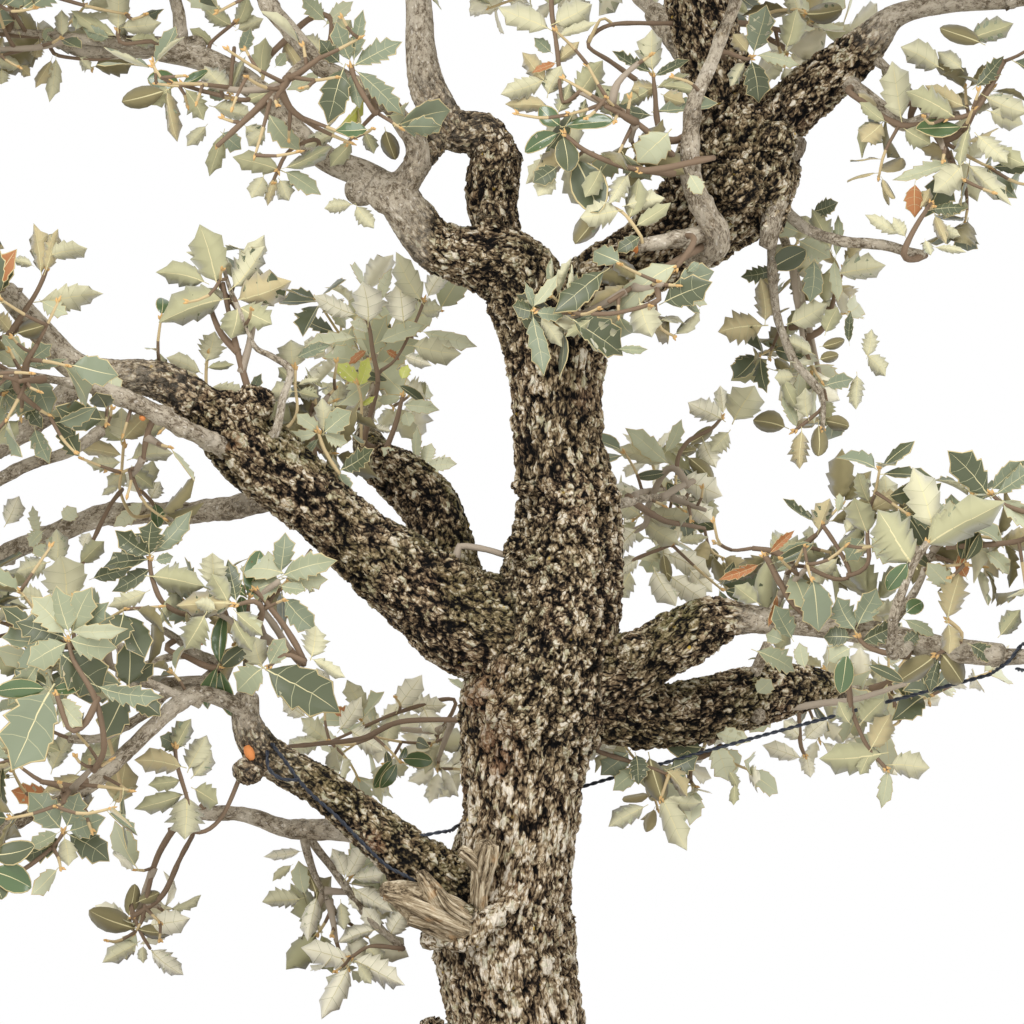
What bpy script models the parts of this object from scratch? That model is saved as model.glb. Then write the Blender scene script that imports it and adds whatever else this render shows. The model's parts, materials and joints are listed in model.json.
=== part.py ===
"""Holm oak bonsai in a plain pot: a trunk, its boughs, masses of foliage, soil and the pot.

Units are metres unless a name ends in _MM, and +Z is up. The front of the tree looks along -Y.
The origin is the centre of the pot's flat underside.
"""

import itertools
import math
import random
from dataclasses import dataclass

import bmesh
import bpy
from mathutils import Matrix, Vector
from mathutils.bvhtree import BVHTree

MM = 0.001
GAP = 0.3 * MM                  # clearance between pieces that touch

# Pot: a rounded rectangle with a rolled lip, on a flat inset plinth
POT_LENGTH = 0.500
POT_WIDTH = 0.370
POT_HEIGHT = 0.106
POT_TAPER = 0.90                # width of the wall's foot over its top
POT_WALL = 0.014
POT_CORNER = 0.045
LIP_OUT = 0.009
LIP_HEIGHT = 0.016
PLINTH_INSET = 0.022
PLINTH_HEIGHT = 0.009
POT_FLOOR = 0.024               # height of the inner floor

# Soil: fills the pot and rises in a low flat-topped mound
SOIL_EDGE = 0.094
SOIL_TOP = 0.104
SOIL_SLOPE = 0.050              # how far the mound's shoulder lies from the wall

# Trunk foot
CUT_LEVEL = SOIL_TOP + GAP
ROOT_COUNT = 7
ROOT_REACH_MM = 92.0
ROOT_TOP_MM = 168.0             # height at which the roots leave the trunk
ROOT_RADIUS_MM = 17.0

# Foliage
LEAF_LENGTH_MM = 74.0
LEAF_REACH = 1.15               # longest leaf over the least half size of its mass
LEAF_WIDTH = 0.62               # part of the leaf's length
LEAF_THICKNESS = 0.045          # part of the leaf's length
LEAF_WIDEST = 0.42              # where along its length a leaf is widest
LEAF_SINK_MM = 0.6              # how far past its twig's middle a leaf's root lies
LEAF_STEP = 0.15                # distance between leaves along a twig over a leaf's length
LEAF_TURNS = (0.0, 2.1, 4.2)    # turns about its twig that a leaf tries in order
LEAF_SHARES = (1.0, 0.82, 0.66) # shares of its size that a leaf tries in order
TWIG_END_MM = 1.9
GOLDEN_TURN = math.pi * (3.0 - math.sqrt(5.0))
LIMB_CLEARANCE_MM = 2.0
MASS_MARGIN = 0.06              # share of its reach that a mass keeps from its neighbours


@dataclass
class Limb:
    """A tapering limb: stations are x, y, z and radius in millimetres, foot first."""

    name: str
    parents: tuple
    stations: list
    sides: int = 8
    steps: int = 1


@dataclass
class Mass:
    """Foliage on one stem: foot inside its host, middle and half sizes in millimetres."""

    name: str
    host: str
    foot: tuple
    centre: tuple
    reach: tuple
    twigs: int
    leaves: int = 3
    stem: float = 3.0


TRUNK = Limb("trunk", (), [
    (-5, 0, 88, 58), (-3, 0, 116, 47), (0, 2, 152, 39), (2, 4, 201, 34.5), (-2, 5, 230, 35),
    (-4, 4, 257, 35.5), (0, 1, 284, 32), (4, -2, 309, 29.5), (6, -3, 334, 31), (10, -2, 360, 36),
    (18, 0, 388, 35), (24, 3, 420, 31), (28, 4, 462, 25), (23, 3, 494, 22), (22, 0, 522, 22),
    (21, -1, 546, 25), (18, 0, 570, 24)], sides=12)

LIMBS = [
    Limb("bough_left_leader", ("trunk",), [
        (18, 0, 548, 23), (2, -2, 578, 21), (-18, -6, 586, 16), (-37, -12, 591, 13),
        (-49, -16, 604, 11.5), (-60, -18, 621, 10)], 8, 2),
    Limb("bough_curl_low", ("bough_left_leader",), [
        (-2, 0, 578, 12), (-8, 4, 604, 12.5), (-10, 8, 622, 13.5), (-7, 9, 640, 13)], 10, 2),
    Limb("bough_curl_high", ("bough_curl_low",), [
        (-6, 9, 634, 12.5), (-14, 8, 650, 11.5), (-30, 5, 652, 11), (-42, 4, 672, 9.5),
        (-46, 4, 694, 7.5), (-47, 6, 717, 6.5), (-53, 10, 750, 5.5), (-59, 16, 785, 4.5)], 8),
    Limb("bough_left_high", ("bough_left_leader",), [
        (-55, -17, 616, 8), (-73, -14, 627, 7.4), (-93, -8, 636, 6.6), (-112, -2, 654, 6.4),
        (-131, 2, 674, 6.6), (-154, 4, 687, 6.4), (-177, 4, 692, 6)], 6),
    Limb("bough_left_front", ("bough_left_leader", "bough_left_high"), [
        (-54, -18, 616, 6.5), (-47, -27, 638, 5.6), (-58, -36, 656, 4.8), (-72, -42, 665, 4.5),
        (-96, -50, 678, 4.4), (-113, -52, 699, 4.3), (-127, -54, 722, 3.8),
        (-137, -54, 742, 3.2)], 6),
    Limb("bough_right_leader", ("trunk", "bough_left_leader"), [
        (19, 0, 552, 19), (44, 0, 574, 19), (66, 0, 587, 19.5), (90, 3, 605, 25),
        (113, 6, 631, 32), (123, 6, 658, 24)], 10, 2),
    Limb("bough_apex", ("bough_right_leader",), [
        (115, 8, 640, 19), (106, 6, 672, 18), (100, 6, 692, 16.6), (94, 8, 717, 17),
        (90, 12, 748, 15), (80, 16, 785, 12), (65, 20, 821, 9), (48, 24, 852, 6)], 8),
    Limb("bough_right_high", ("bough_right_leader", "bough_apex"), [
        (122, 2, 642, 15), (146, -4, 667, 14), (163, -10, 681, 12.8), (177, -16, 693, 10),
        (190, -20, 705, 6), (215, -26, 709, 4.4), (246, -34, 709, 3.8)], 8),
    Limb("bough_rear_top", ("bough_right_leader", "bough_apex"), [
        (113, 14, 640, 12), (110, 60, 668, 10.5), (98, 105, 702, 8.6), (78, 140, 735, 6.5)], 8, 2),
    Limb("bough_front_s", ("bough_right_leader",), [
        (84, -4, 586, 7), (99, -33, 592, 6.8), (93, -42, 606, 5.8), (86, -47, 622, 5.3),
        (85, -49, 638, 4.6), (89, -50, 657, 3.6), (98, -53, 680, 3), (107, -56, 706, 2.8),
        (114, -62, 734, 2.6)], 6),
    Limb("bough_left", ("trunk",), [
        (8, 0, 396, 27), (-23, -2, 406, 27), (-43, -5, 420, 24.4), (-63, -9, 435, 21),
        (-85, -13, 453, 18.2), (-105, -17, 471, 18.8), (-123, -19, 486, 20.5),
        (-138, -20, 500, 18), (-150, -20, 511, 13)], 12),
    Limb("bough_left_arm", ("bough_left",), [
        (-140, -20, 503, 11.5), (-172, -22, 524, 10), (-195, -23, 527, 8.4), (-214, -25, 531, 7.4),
        (-228, -28, 545, 6.9), (-248, -34, 569, 5.8)], 8),
    Limb("bough_left_low_arm", ("bough_left_arm",), [
        (-206, -24, 529, 6), (-222, -14, 517, 6.2), (-239, -4, 504, 5.7), (-260, 6, 491, 5)], 6),
    Limb("bough_left_front_arm", ("bough_left",), [
        (-132, -22, 488, 5.5), (-156, -52, 499, 4.4), (-179, -62, 511, 4.3),
        (-197, -70, 518, 4.2)], 6),
    Limb("bough_rear_left", ("trunk", "bough_left"), [
        (10, 6, 420, 15), (-26, 34, 440, 15.5), (-40, 50, 463, 15.5), (-58, 60, 478, 14),
        (-72, 78, 488, 11.5), (-78, 100, 500, 8)], 8, 2),
    Limb("bough_left_back", ("bough_left",), [
        (-108, -8, 472, 7), (-142, 24, 461, 6), (-174, 38, 459, 5.7), (-214, 54, 458, 5.6),
        (-242, 63, 448, 5.5), (-269, 72, 436, 5.2)], 6),
    Limb("bough_low_left", ("trunk",), [
        (-4, -2, 256, 19.5), (-36, -15, 276, 19), (-53, -23, 291, 14.5), (-70, -29, 306, 12.7),
        (-84, -33, 318, 11.2), (-98, -36, 329, 10.2), (-112, -38, 337, 9.6), (-123, -40, 346, 9.4),
        (-129, -42, 359, 7.5), (-128, -44, 372, 6)], 8),
    Limb("bough_low_left_arm", ("bough_low_left",), [
        (-128, -43, 364, 4.4), (-143, -52, 371, 4), (-154, -60, 371, 3.8), (-166, -68, 363, 3.7),
        (-178, -78, 350, 3.6), (-195, -92, 335, 3.4), (-214, -106, 324, 3.2),
        (-240, -124, 311, 3)], 6),
    Limb("bough_under_arm", ("bough_low_left",), [
        (-56, -22, 294, 6), (-80, 4, 299, 5.8), (-102, 14, 299, 5.4), (-117, 18, 300, 4.6),
        (-139, 26, 306, 3.7), (-160, 32, 307, 3.2)], 6),
    Limb("bough_right", ("trunk",), [
        (22, 0, 374, 19), (56, -8, 382, 17.9), (71, -14, 391, 15.4), (85, -20, 399, 15.6),
        (98, -24, 406, 13.4), (111, -28, 408, 8.4), (124, -32, 407, 6.6), (152, -42, 405, 6.2),
        (177, -52, 401, 6.3), (205, -62, 395, 6.4), (233, -72, 392, 6)], 8),
    Limb("bough_right_rear", ("trunk", "bough_right"), [
        (22, 4, 372, 20), (57, 12, 361, 19.5), (76, 20, 357, 17), (97, 30, 359, 17),
        (120, 42, 364, 16), (145, 58, 368, 13.5), (166, 78, 367, 9.5), (176, 96, 365, 7)], 10),
]

MASSES = [
    Mass("foliage_high_left", "bough_left_high", (-177, 4, 692), (-262, -12, 700),
         (108, 62, 56), 3, 3, 5.2),
    Mass("foliage_top_left", "bough_left_front", (-137, -54, 742), (-172, -52, 800),
         (96, 82, 66), 3, 3, 2.8),
    Mass("foliage_left_hanging", "bough_left_front", (-96, -50, 678), (-116, -66, 655),
         (84, 44, 52), 5, 3, 3.2),
    Mass("foliage_crown_left", "bough_curl_high", (-59, 16, 785), (-62, 40, 858),
         (100, 92, 66), 3, 3, 4.0),
    Mass("foliage_crown_top", "bough_apex", (48, 24, 852), (42, 30, 905), (92, 90, 62), 3, 3, 5.0),
    Mass("foliage_crown_right", "bough_apex", (90, 12, 748), (196, 4, 822), (88, 88, 66), 3, 3, 4.5),
    Mass("foliage_far_right_high", "bough_right_high", (246, -34, 709), (316, -42, 722),
         (78, 74, 62), 3, 3, 3.4),
    Mass("foliage_right_high", "bough_right_high", (172, -14, 690), (212, -30, 640),
         (54, 44, 60), 4, 3, 3.2),
    Mass("foliage_crown_back", "bough_rear_top", (78, 140, 735), (34, 196, 790),
         (128, 76, 74), 3, 3, 5.6),
    Mass("foliage_crown_front", "bough_front_s", (114, -62, 734), (92, -116, 792),
         (104, 76, 64), 3, 3, 2.3),
    Mass("foliage_apex_inner", "bough_apex", (97, 8, 704), (146, 42, 706), (34, 34, 36), 2, 3, 2.6),
    Mass("foliage_centre", "bough_front_s", (86, -47, 624), (46, -54, 658), (50, 38, 54), 4, 3, 2.4),
    Mass("foliage_fork_spray", "bough_front_s", (97, -30, 592), (46, -64, 560),
         (52, 28, 30), 2, 3, 2.4),
    Mass("foliage_far_left", "bough_left_arm", (-248, -34, 569), (-306, -46, 598),
         (84, 68, 64), 3, 3, 5.0),
    Mass("foliage_left_front", "bough_left_front_arm", (-197, -70, 518), (-234, -98, 524),
         (56, 44, 50), 4, 3, 3.6),
    Mass("foliage_left_sprig", "bough_left_front_arm", (-170, -59, 507), (-178, -52, 484),
         (34, 28, 34), 2, 3, 2.0),
    Mass("foliage_left_low", "bough_left_low_arm", (-260, 6, 491), (-330, 24, 492),
         (78, 66, 46), 3, 3, 4.2),
    Mass("foliage_left_back", "bough_left_back", (-269, 72, 436), (-342, 92, 424),
         (78, 74, 50), 3, 3, 4.4),
    Mass("foliage_left_shoot", "bough_left", (-118, -26, 488), (-141, -34, 572),
         (38, 30, 34), 2, 3, 2.8),
    Mass("foliage_mid_left_low", "bough_left", (-92, -10, 460), (-102, 22, 512),
         (27, 26, 38), 2, 3, 2.4),
    Mass("foliage_mid_left", "bough_rear_left", (-78, 100, 500), (-70, 142, 545),
         (60, 76, 50), 3, 3, 6.0),
    Mass("foliage_low_left_upper", "bough_low_left", (-128, -44, 372), (-128, -52, 410),
         (56, 44, 40), 4, 3, 4.6),
    Mass("foliage_low_left_outer", "bough_low_left_arm", (-154, -60, 371), (-212, -94, 402),
         (64, 50, 46), 4, 3, 3.0),
    Mass("foliage_low_left_front", "bough_low_left_arm", (-197, -93, 334), (-204, -128, 332),
         (58, 40, 42), 4, 3, 2.6),
    Mass("foliage_low_left_far", "bough_low_left_arm", (-240, -124, 311), (-308, -138, 318),
         (76, 66, 54), 3, 3, 2.6),
    Mass("foliage_low_sprig", "bough_under_arm", (-160, 32, 307), (-190, 42, 250),
         (30, 28, 36), 2, 3, 2.6),
    Mass("foliage_under", "bough_under_arm", (-106, 15, 299), (-88, 32, 252),
         (44, 36, 46), 3, 3, 3.0),
    Mass("foliage_rear_low", "trunk", (0, 6, 352), (-42, 172, 336), (90, 72, 36), 3, 3, 5.0),
    Mass("foliage_mid_right", "trunk", (26, 6, 448), (100, 142, 467), (56, 80, 56), 4, 3, 5.0),
    Mass("foliage_right_rear", "bough_right_rear", (176, 96, 365), (206, 142, 362),
         (74, 74, 44), 3, 3, 5.0),
    Mass("foliage_right_rear_inner", "bough_right_rear", (84, 24, 354), (92, 44, 330),
         (52, 42, 36), 3, 3, 3.0),
    Mass("foliage_far_right", "bough_right", (233, -72, 392), (312, -98, 408),
         (86, 76, 60), 3, 3, 5.0),
    Mass("foliage_right_inner", "bough_right", (124, -32, 407), (136, -34, 438),
         (52, 46, 40), 4, 3, 3.0),
    Mass("foliage_right_outer", "bough_right", (177, -52, 401), (204, -62, 448),
         (54, 50, 46), 4, 3, 3.4),
    Mass("foliage_right_hanging", "bough_right_leader", (124, 14, 622), (152, 38, 548),
         (42, 38, 68), 4, 3, 4.0),
]

BARK = (0.30, 0.25, 0.20)
YOUNG_BARK = (0.46, 0.43, 0.39)
LEAF_GREEN = (0.34, 0.42, 0.32)
POT_CLAY = (0.22, 0.15, 0.12)
SOIL_BROWN = (0.16, 0.12, 0.09)


def clear_scene():
    """Remove every object that a new file brings."""
    for item in list(bpy.data.objects):
        bpy.data.objects.remove(item, do_unlink=True)


def new_collection(name):
    """A collection linked under the scene."""
    collection = bpy.data.collections.new(name)
    bpy.context.scene.collection.children.link(collection)
    return collection


def make_material(name, colour, roughness):
    """A Principled material in one plain colour."""
    material = bpy.data.materials.new(name)
    material.use_nodes = True
    shader = material.node_tree.nodes["Principled BSDF"]
    shader.inputs["Base Color"].default_value = (*colour, 1.0)
    shader.inputs["Roughness"].default_value = roughness
    shader.inputs["Metallic"].default_value = 0.0
    return material


def add_object(name, mesh, collection, material=None):
    """Link a mesh to a collection as a named object."""
    item = bpy.data.objects.new(name, mesh)
    collection.objects.link(item)
    if material is not None:
        mesh.materials.clear()
        mesh.materials.append(material)
    return item


def mesh_from(bm, name):
    """Turn a bmesh into mesh data and free it."""
    mesh = bpy.data.meshes.new(name)
    bm.to_mesh(mesh)
    bm.free()
    return mesh


def apply_modifiers(item):
    """Replace an object's mesh with its evaluated one."""
    graph = bpy.context.evaluated_depsgraph_get()
    graph.update()
    mesh = bpy.data.meshes.new_from_object(item.evaluated_get(graph))
    item.modifiers.clear()
    item.data = mesh


def combine(item, other, operation):
    """Join or cut an object with another, which is then removed."""
    modifier = item.modifiers.new(operation.lower(), "BOOLEAN")
    modifier.operation = operation
    modifier.object = other
    modifier.solver = "EXACT"
    apply_modifiers(item)
    bpy.data.objects.remove(other, do_unlink=True)


def keep_largest(item):
    """Drop the loose scraps that a cut or a union leaves beside the main body."""
    bm = bmesh.new()
    bm.from_mesh(item.data)
    left = set(bm.faces)
    shells = []
    while left:
        shell = [left.pop()]
        for face in shell:
            near = {other for edge in face.edges for other in edge.link_faces}
            new = near & left
            left -= new
            shell.extend(new)
        shells.append(shell)
    shells.sort(key=lambda faces: sum(face.calc_area() for face in faces))
    scraps = [face for shell in shells[:-1] for face in shell]
    bmesh.ops.delete(bm, geom=scraps, context="FACES")
    bmesh.ops.triangulate(bm, faces=bm.faces)
    bm.to_mesh(item.data)
    bm.free()


def catmull_rom(before, start, end, after, part):
    """One value between start and end on a smooth curve through all four."""
    return 0.5 * ((2.0 * start) + (end - before) * part
                  + (2.0 * before - 5.0 * start + 4.0 * end - after) * part ** 2
                  + (3.0 * start - before - 3.0 * end + after) * part ** 3)


def smooth_stations(stations, steps):
    """Stations read from the smooth curve through the given ones, steps to a span."""
    count = len(stations)
    result = []
    for index in range(count - 1):
        around = [stations[min(max(index + shift, 0), count - 1)] for shift in (-1, 0, 1, 2)]
        for step in range(steps):
            part = step / steps
            result.append(tuple(catmull_rom(*values, part) for values in zip(*around)))
    result.append(stations[-1])
    return result


def make_tube(name, stations, sides, collection, grow_mm=0.0, steps=1, outline=None):
    """A closed tube through smooth stations, grown on every side where it serves as a cutter."""
    points = smooth_stations(stations, steps)
    places = [Vector(point[:3]) for point in points]
    if grow_mm:
        places[0] += (places[0] - places[1]).normalized() * grow_mm
        places[-1] += (places[-1] - places[-2]).normalized() * grow_mm
    data = bpy.data.curves.new(name, "CURVE")
    data.dimensions = "3D"
    if outline is None:
        data.bevel_depth = MM
        data.bevel_resolution = sides // 2 - 2
    else:
        data.bevel_mode = "OBJECT"
        data.bevel_object = outline
    data.use_fill_caps = True
    spline = data.splines.new("POLY")
    spline.points.add(len(places) - 1)
    for target, place, point in zip(spline.points, places, points):
        target.co = (*(place * MM), 1.0)
        target.radius = point[3] + grow_mm
    curve = bpy.data.objects.new(name + "_curve", data)
    collection.objects.link(curve)
    graph = bpy.context.evaluated_depsgraph_get()
    mesh = bpy.data.meshes.new_from_object(curve.evaluated_get(graph))
    item = add_object(name, mesh, collection)
    item.matrix_world = curve.matrix_world
    bpy.data.objects.remove(curve, do_unlink=True)
    bm = bmesh.new()
    bm.from_mesh(mesh)
    bmesh.ops.remove_doubles(bm, verts=bm.verts, dist=0.01 * MM)
    bmesh.ops.recalc_face_normals(bm, faces=bm.faces)
    bm.to_mesh(mesh)
    bm.free()
    return item


def rounded_block(name, length, width, low, high, taper, corner, collection):
    """A block with upright round corners whose foot is narrower than its top."""
    bm = bmesh.new()
    bmesh.ops.create_cube(bm, size=1.0)
    for vertex in bm.verts:
        vertex.co.x *= length
        vertex.co.y *= width
        vertex.co.z = low if vertex.co.z < 0 else high
    upright = [edge for edge in bm.edges if abs(edge.verts[0].co.z - edge.verts[1].co.z) > MM]
    bmesh.ops.bevel(bm, geom=upright, offset=corner, segments=4, profile=0.5, affect="EDGES")
    for vertex in bm.verts:
        if vertex.co.z < (low + high) / 2.0:
            vertex.co.x *= taper
            vertex.co.y *= taper
    bmesh.ops.recalc_face_normals(bm, faces=bm.faces)
    return add_object(name, mesh_from(bm, name), collection)


def make_pot(collection, cutters, material):
    """The pot: tapered wall, lip and plinth in one solid, with its hollow cut out."""
    pot = rounded_block("pot", POT_LENGTH - 2.0 * LIP_OUT, POT_WIDTH - 2.0 * LIP_OUT,
                        PLINTH_HEIGHT, POT_HEIGHT - MM, POT_TAPER, POT_CORNER, collection)
    lip = rounded_block("lip", POT_LENGTH, POT_WIDTH, POT_HEIGHT - LIP_HEIGHT, POT_HEIGHT,
                        1.0, POT_CORNER + LIP_OUT, cutters)
    combine(pot, lip, "UNION")
    plinth = rounded_block("plinth", POT_LENGTH * POT_TAPER - 2.0 * PLINTH_INSET,
                           POT_WIDTH * POT_TAPER - 2.0 * PLINTH_INSET,
                           0.0, PLINTH_HEIGHT + 2.0 * MM, 1.0, POT_CORNER, cutters)
    combine(pot, plinth, "UNION")
    combine(pot, make_hollow("hollow", 0.0, POT_HEIGHT + 0.02, cutters), "DIFFERENCE")
    keep_largest(pot)
    pot.data.materials.clear()
    pot.data.materials.append(material)


def make_hollow(name, gap, top, collection):
    """The space inside the pot up to a level, shrunk by a gap."""
    depth = POT_HEIGHT - POT_FLOOR
    slope = (1.0 - POT_TAPER) / depth
    taper = (1.0 - slope * depth) / (1.0 + slope * (top - POT_HEIGHT))
    spread = 1.0 + slope * (top - POT_HEIGHT)
    inset = 2.0 * (LIP_OUT + POT_WALL + gap)
    return rounded_block(name, (POT_LENGTH - inset) * spread, (POT_WIDTH - inset) * spread,
                         POT_FLOOR + gap, top, taper, POT_CORNER - POT_WALL, collection)


def make_soil(collection, material):
    """The soil: a block that fits the hollow, with a low mound on top."""
    soil = make_hollow("soil", GAP, SOIL_EDGE, collection)
    bm = bmesh.new()
    bm.from_mesh(soil.data)
    top = [face for face in bm.faces if face.normal.z > 0.9]
    reach = [max(vertex.co[axis] for vertex in bm.verts) for axis in range(2)]
    bmesh.ops.inset_region(bm, faces=top, thickness=MM, use_even_offset=False)
    for vertex in {vertex for face in top for vertex in face.verts}:
        vertex.co.x *= 1.0 - SOIL_SLOPE / reach[0]
        vertex.co.y *= 1.0 - SOIL_SLOPE / reach[1]
        vertex.co.z = SOIL_TOP
    bm.to_mesh(soil.data)
    bm.free()
    keep_largest(soil)
    soil.data.materials.append(material)


def root_stations(index, rng):
    """One surface root, from inside the trunk's foot down under the soil line."""
    turn = 2.0 * math.pi * (index + rng.uniform(-0.22, 0.22)) / ROOT_COUNT
    reach = ROOT_REACH_MM * rng.uniform(0.78, 1.0)
    side = rng.uniform(-0.16, 0.16)
    radius = ROOT_RADIUS_MM * rng.uniform(0.8, 1.1)
    rows = []
    for out, height, thick in ((0.18, 1.0, 0.80), (0.42, 0.46, 1.0), (0.68, 0.14, 0.8),
                               (1.0, -0.16, 0.45)):
        angle = turn + side * out * out * 2.0
        level = CUT_LEVEL / MM + (ROOT_TOP_MM - CUT_LEVEL / MM) * height
        rows.append((reach * out * math.cos(angle), reach * out * math.sin(angle), level,
                     radius * thick))
    return rows


def make_trunk(collection, cutters, material):
    """The trunk with its roots joined on, cut flat at the soil."""
    rng = random.Random(11)
    trunk = make_tube("trunk", TRUNK.stations, TRUNK.sides, collection, steps=TRUNK.steps)
    for index in range(ROOT_COUNT):
        root = make_tube("root", root_stations(index, rng), 6, cutters)
        combine(trunk, root, "UNION")
    below = rounded_block("below", 0.6, 0.6, -0.2, CUT_LEVEL, 1.0, 0.02, cutters)
    combine(trunk, below, "DIFFERENCE")
    keep_largest(trunk)
    trunk.data.materials.clear()
    trunk.data.materials.append(material)
    return trunk


def make_limb(limb, plans, collection, cutters, material):
    """A limb whose foot is cut to stand clear of the limbs that carry it."""
    item = make_tube(limb.name, limb.stations, limb.sides, collection, steps=limb.steps)
    for parent in limb.parents:
        plan = plans[parent]
        grown = make_tube("grown", plan.stations, plan.sides, cutters, GAP / MM, steps=plan.steps)
        combine(item, grown, "DIFFERENCE")
    keep_largest(item)
    item.data.materials.clear()
    item.data.materials.append(material)
    return item


def tree_of(items):
    """A search tree over the faces of several objects."""
    vertices = []
    faces = []
    for item in items:
        start = len(vertices)
        vertices.extend(item.matrix_world @ vertex.co for vertex in item.data.vertices)
        faces.extend([start + index for index in face.vertices] for face in item.data.polygons)
    return BVHTree.FromPolygons(vertices, faces)


def ellipsoid_depth(point, mass):
    """How far out a point lies in a mass: 0 at its middle and 1 at its edge."""
    offset = point - Vector(mass.centre)
    return math.sqrt(sum((offset[axis] / mass.reach[axis]) ** 2 for axis in range(3)))


def in_own_space(points, mass):
    """Whether points lie within a mass and nearer to it than to its neighbours."""
    for point in points:
        depth = ellipsoid_depth(point, mass)
        if depth > 1.0:
            return False
        for other in MASSES:
            if other is not mass and ellipsoid_depth(point, other) < depth + 2.0 * MASS_MARGIN:
                return False
    return True


def clear_of(points, limbs):
    """Whether points and the lines between them keep clear of the limbs."""
    for point in points:
        if limbs.find_nearest(point * MM)[3] < LIMB_CLEARANCE_MM * MM:
            return False
    for start, end in zip(points, points[1:]):
        step = (end - start) * MM
        if limbs.ray_cast(start * MM, step.normalized(), step.length)[0] is not None:
            return False
    return True


def bent(start, away, end, spans):
    """Points from start to end on a curve that sets off along a direction."""
    knee = start + away.normalized() * (end - start).length * 0.42
    rows = []
    for index in range(spans + 1):
        part = index / spans
        rows.append(start.lerp(knee, part).lerp(knee.lerp(end, part), part))
    return rows


def grow_twigs(mass, away, length, limbs, rng):
    """The stem of a mass and its twigs, as lists of points."""
    centre = Vector(mass.centre)
    stem = bent(Vector(mass.foot), away, centre, 3)
    twigs = [stem]
    for index in range(mass.twigs):
        height = 1.0 - 2.0 * (index + 0.5) / mass.twigs
        turn = index * GOLDEN_TURN + rng.uniform(-0.3, 0.3)
        level = math.sqrt(1.0 - height * height)
        ray = Vector((mass.reach[0] * level * math.cos(turn),
                      mass.reach[1] * level * math.sin(turn), mass.reach[2] * height))
        share = max(0.3, 1.0 - 0.62 * length / ray.length) * rng.uniform(0.92, 1.06)
        start = stem[2].lerp(stem[3], rng.uniform(-0.5, 0.95))
        tip = centre + ray * share
        path = bent(start, ray.normalized() + (stem[3] - stem[2]).normalized(), tip, 2)
        if clear_of(path, limbs):
            twigs.append(path)
    return twigs


def leaf_frame(root, direction, up):
    """Axes of a leaf: along its length, across it and out of its face."""
    along = direction.normalized()
    across = up.cross(along).normalized()
    frame = Matrix((along, across, along.cross(across))).transposed().to_4x4()
    frame.translation = root - along * LEAF_SINK_MM
    return frame


def leaf_corners(frame, size):
    """A leaf's root, sides, tip and the middles of its two faces."""
    wide = size * LEAF_WIDTH / 2.0
    thick = size * LEAF_THICKNESS / 2.0
    widest = size * LEAF_WIDEST
    local = ((0.0, 0.0, 0.0), (widest, wide, 0.0), (size, 0.0, 0.0), (widest, -wide, 0.0),
             (widest, 0.0, thick), (widest, 0.0, -thick))
    return [frame @ Vector(corner) for corner in local]


def leaf_search(leaves):
    """A search tree over the eight faces of each leaf, given by its corners."""
    corners = [corner for leaf in leaves for corner in leaf]
    faces = []
    for first in range(0, len(corners), 6):
        for side in range(4):
            near = first + side
            far = first + (side + 1) % 4
            faces.append((near, far, first + 4))
            faces.append((far, near, first + 5))
    return BVHTree.FromPolygons(corners, faces)


def twig_search(twigs):
    """A search tree over flat strips along twigs."""
    corners = []
    faces = []
    for path in twigs:
        for start, end in zip(path, path[1:]):
            side = (end - start).orthogonal().normalized() * TWIG_END_MM
            first = len(corners)
            corners.extend((start + side, end + side, end - side, start - side))
            faces.append((first, first + 1, first + 2, first + 3))
    return BVHTree.FromPolygons(corners, faces)


def leaf_fits(corners, mass, limbs, blocked, placed):
    """Whether a leaf stays in its mass and touches no limb, no other twig and no other leaf."""
    if not in_own_space(corners[1:4], mass) or not clear_of(corners[:4] + corners[:1], limbs):
        return False
    shape = leaf_search([corners])
    if blocked and blocked.overlap(shape):
        return False
    return not (placed and leaf_search(placed).overlap(shape))


def grow_leaves(mass, twigs, length, limbs, rng):
    """Leaves (frame and size) set round the twigs, each clear of everything but its own twig."""
    leaves = []
    placed = []
    for index, path in enumerate(twigs):
        others = twigs[:index] + twigs[index + 1:]
        blocked = twig_search(others) if others else None
        turn = rng.uniform(0.0, 2.0 * math.pi)
        heading = (path[-1] - path[-2]).normalized()
        side = heading.orthogonal().normalized()
        for order in range(mass.leaves):
            turn += GOLDEN_TURN + rng.uniform(-0.3, 0.3)
            lean = 0.35 if order == 0 else rng.uniform(0.7, 1.2)
            size = length * rng.uniform(0.86, 1.08)
            up = Vector((rng.uniform(-0.6, 0.6), rng.uniform(-0.9, 0.1), 1.0))
            root = path[-1] - heading * (1.5 + order * LEAF_STEP * length)
            for extra, share in itertools.product(LEAF_TURNS, LEAF_SHARES):
                out = Matrix.Rotation(turn + extra, 3, heading) @ side
                frame = leaf_frame(root, heading * math.cos(lean) + out * math.sin(lean), up)
                corners = leaf_corners(frame, size * share)
                if leaf_fits(corners, mass, limbs, blocked, placed):
                    placed.append(corners)
                    leaves.append((frame, size * share))
                    break
    return leaves


def make_leaf_mesh():
    """A leaf of unit length with eight faces, widest nearer its root."""
    bm = bmesh.new()
    bmesh.ops.create_uvsphere(bm, u_segments=4, v_segments=2, radius=1.0)
    for vertex in bm.verts:
        middle = abs(vertex.co.x) < 0.5
        vertex.co.x = LEAF_WIDEST if middle else 0.5 + 0.5 * vertex.co.x
        vertex.co.y *= LEAF_WIDTH / 2.0
        vertex.co.z *= LEAF_THICKNESS / 2.0
    return mesh_from(bm, "leaf")


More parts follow.
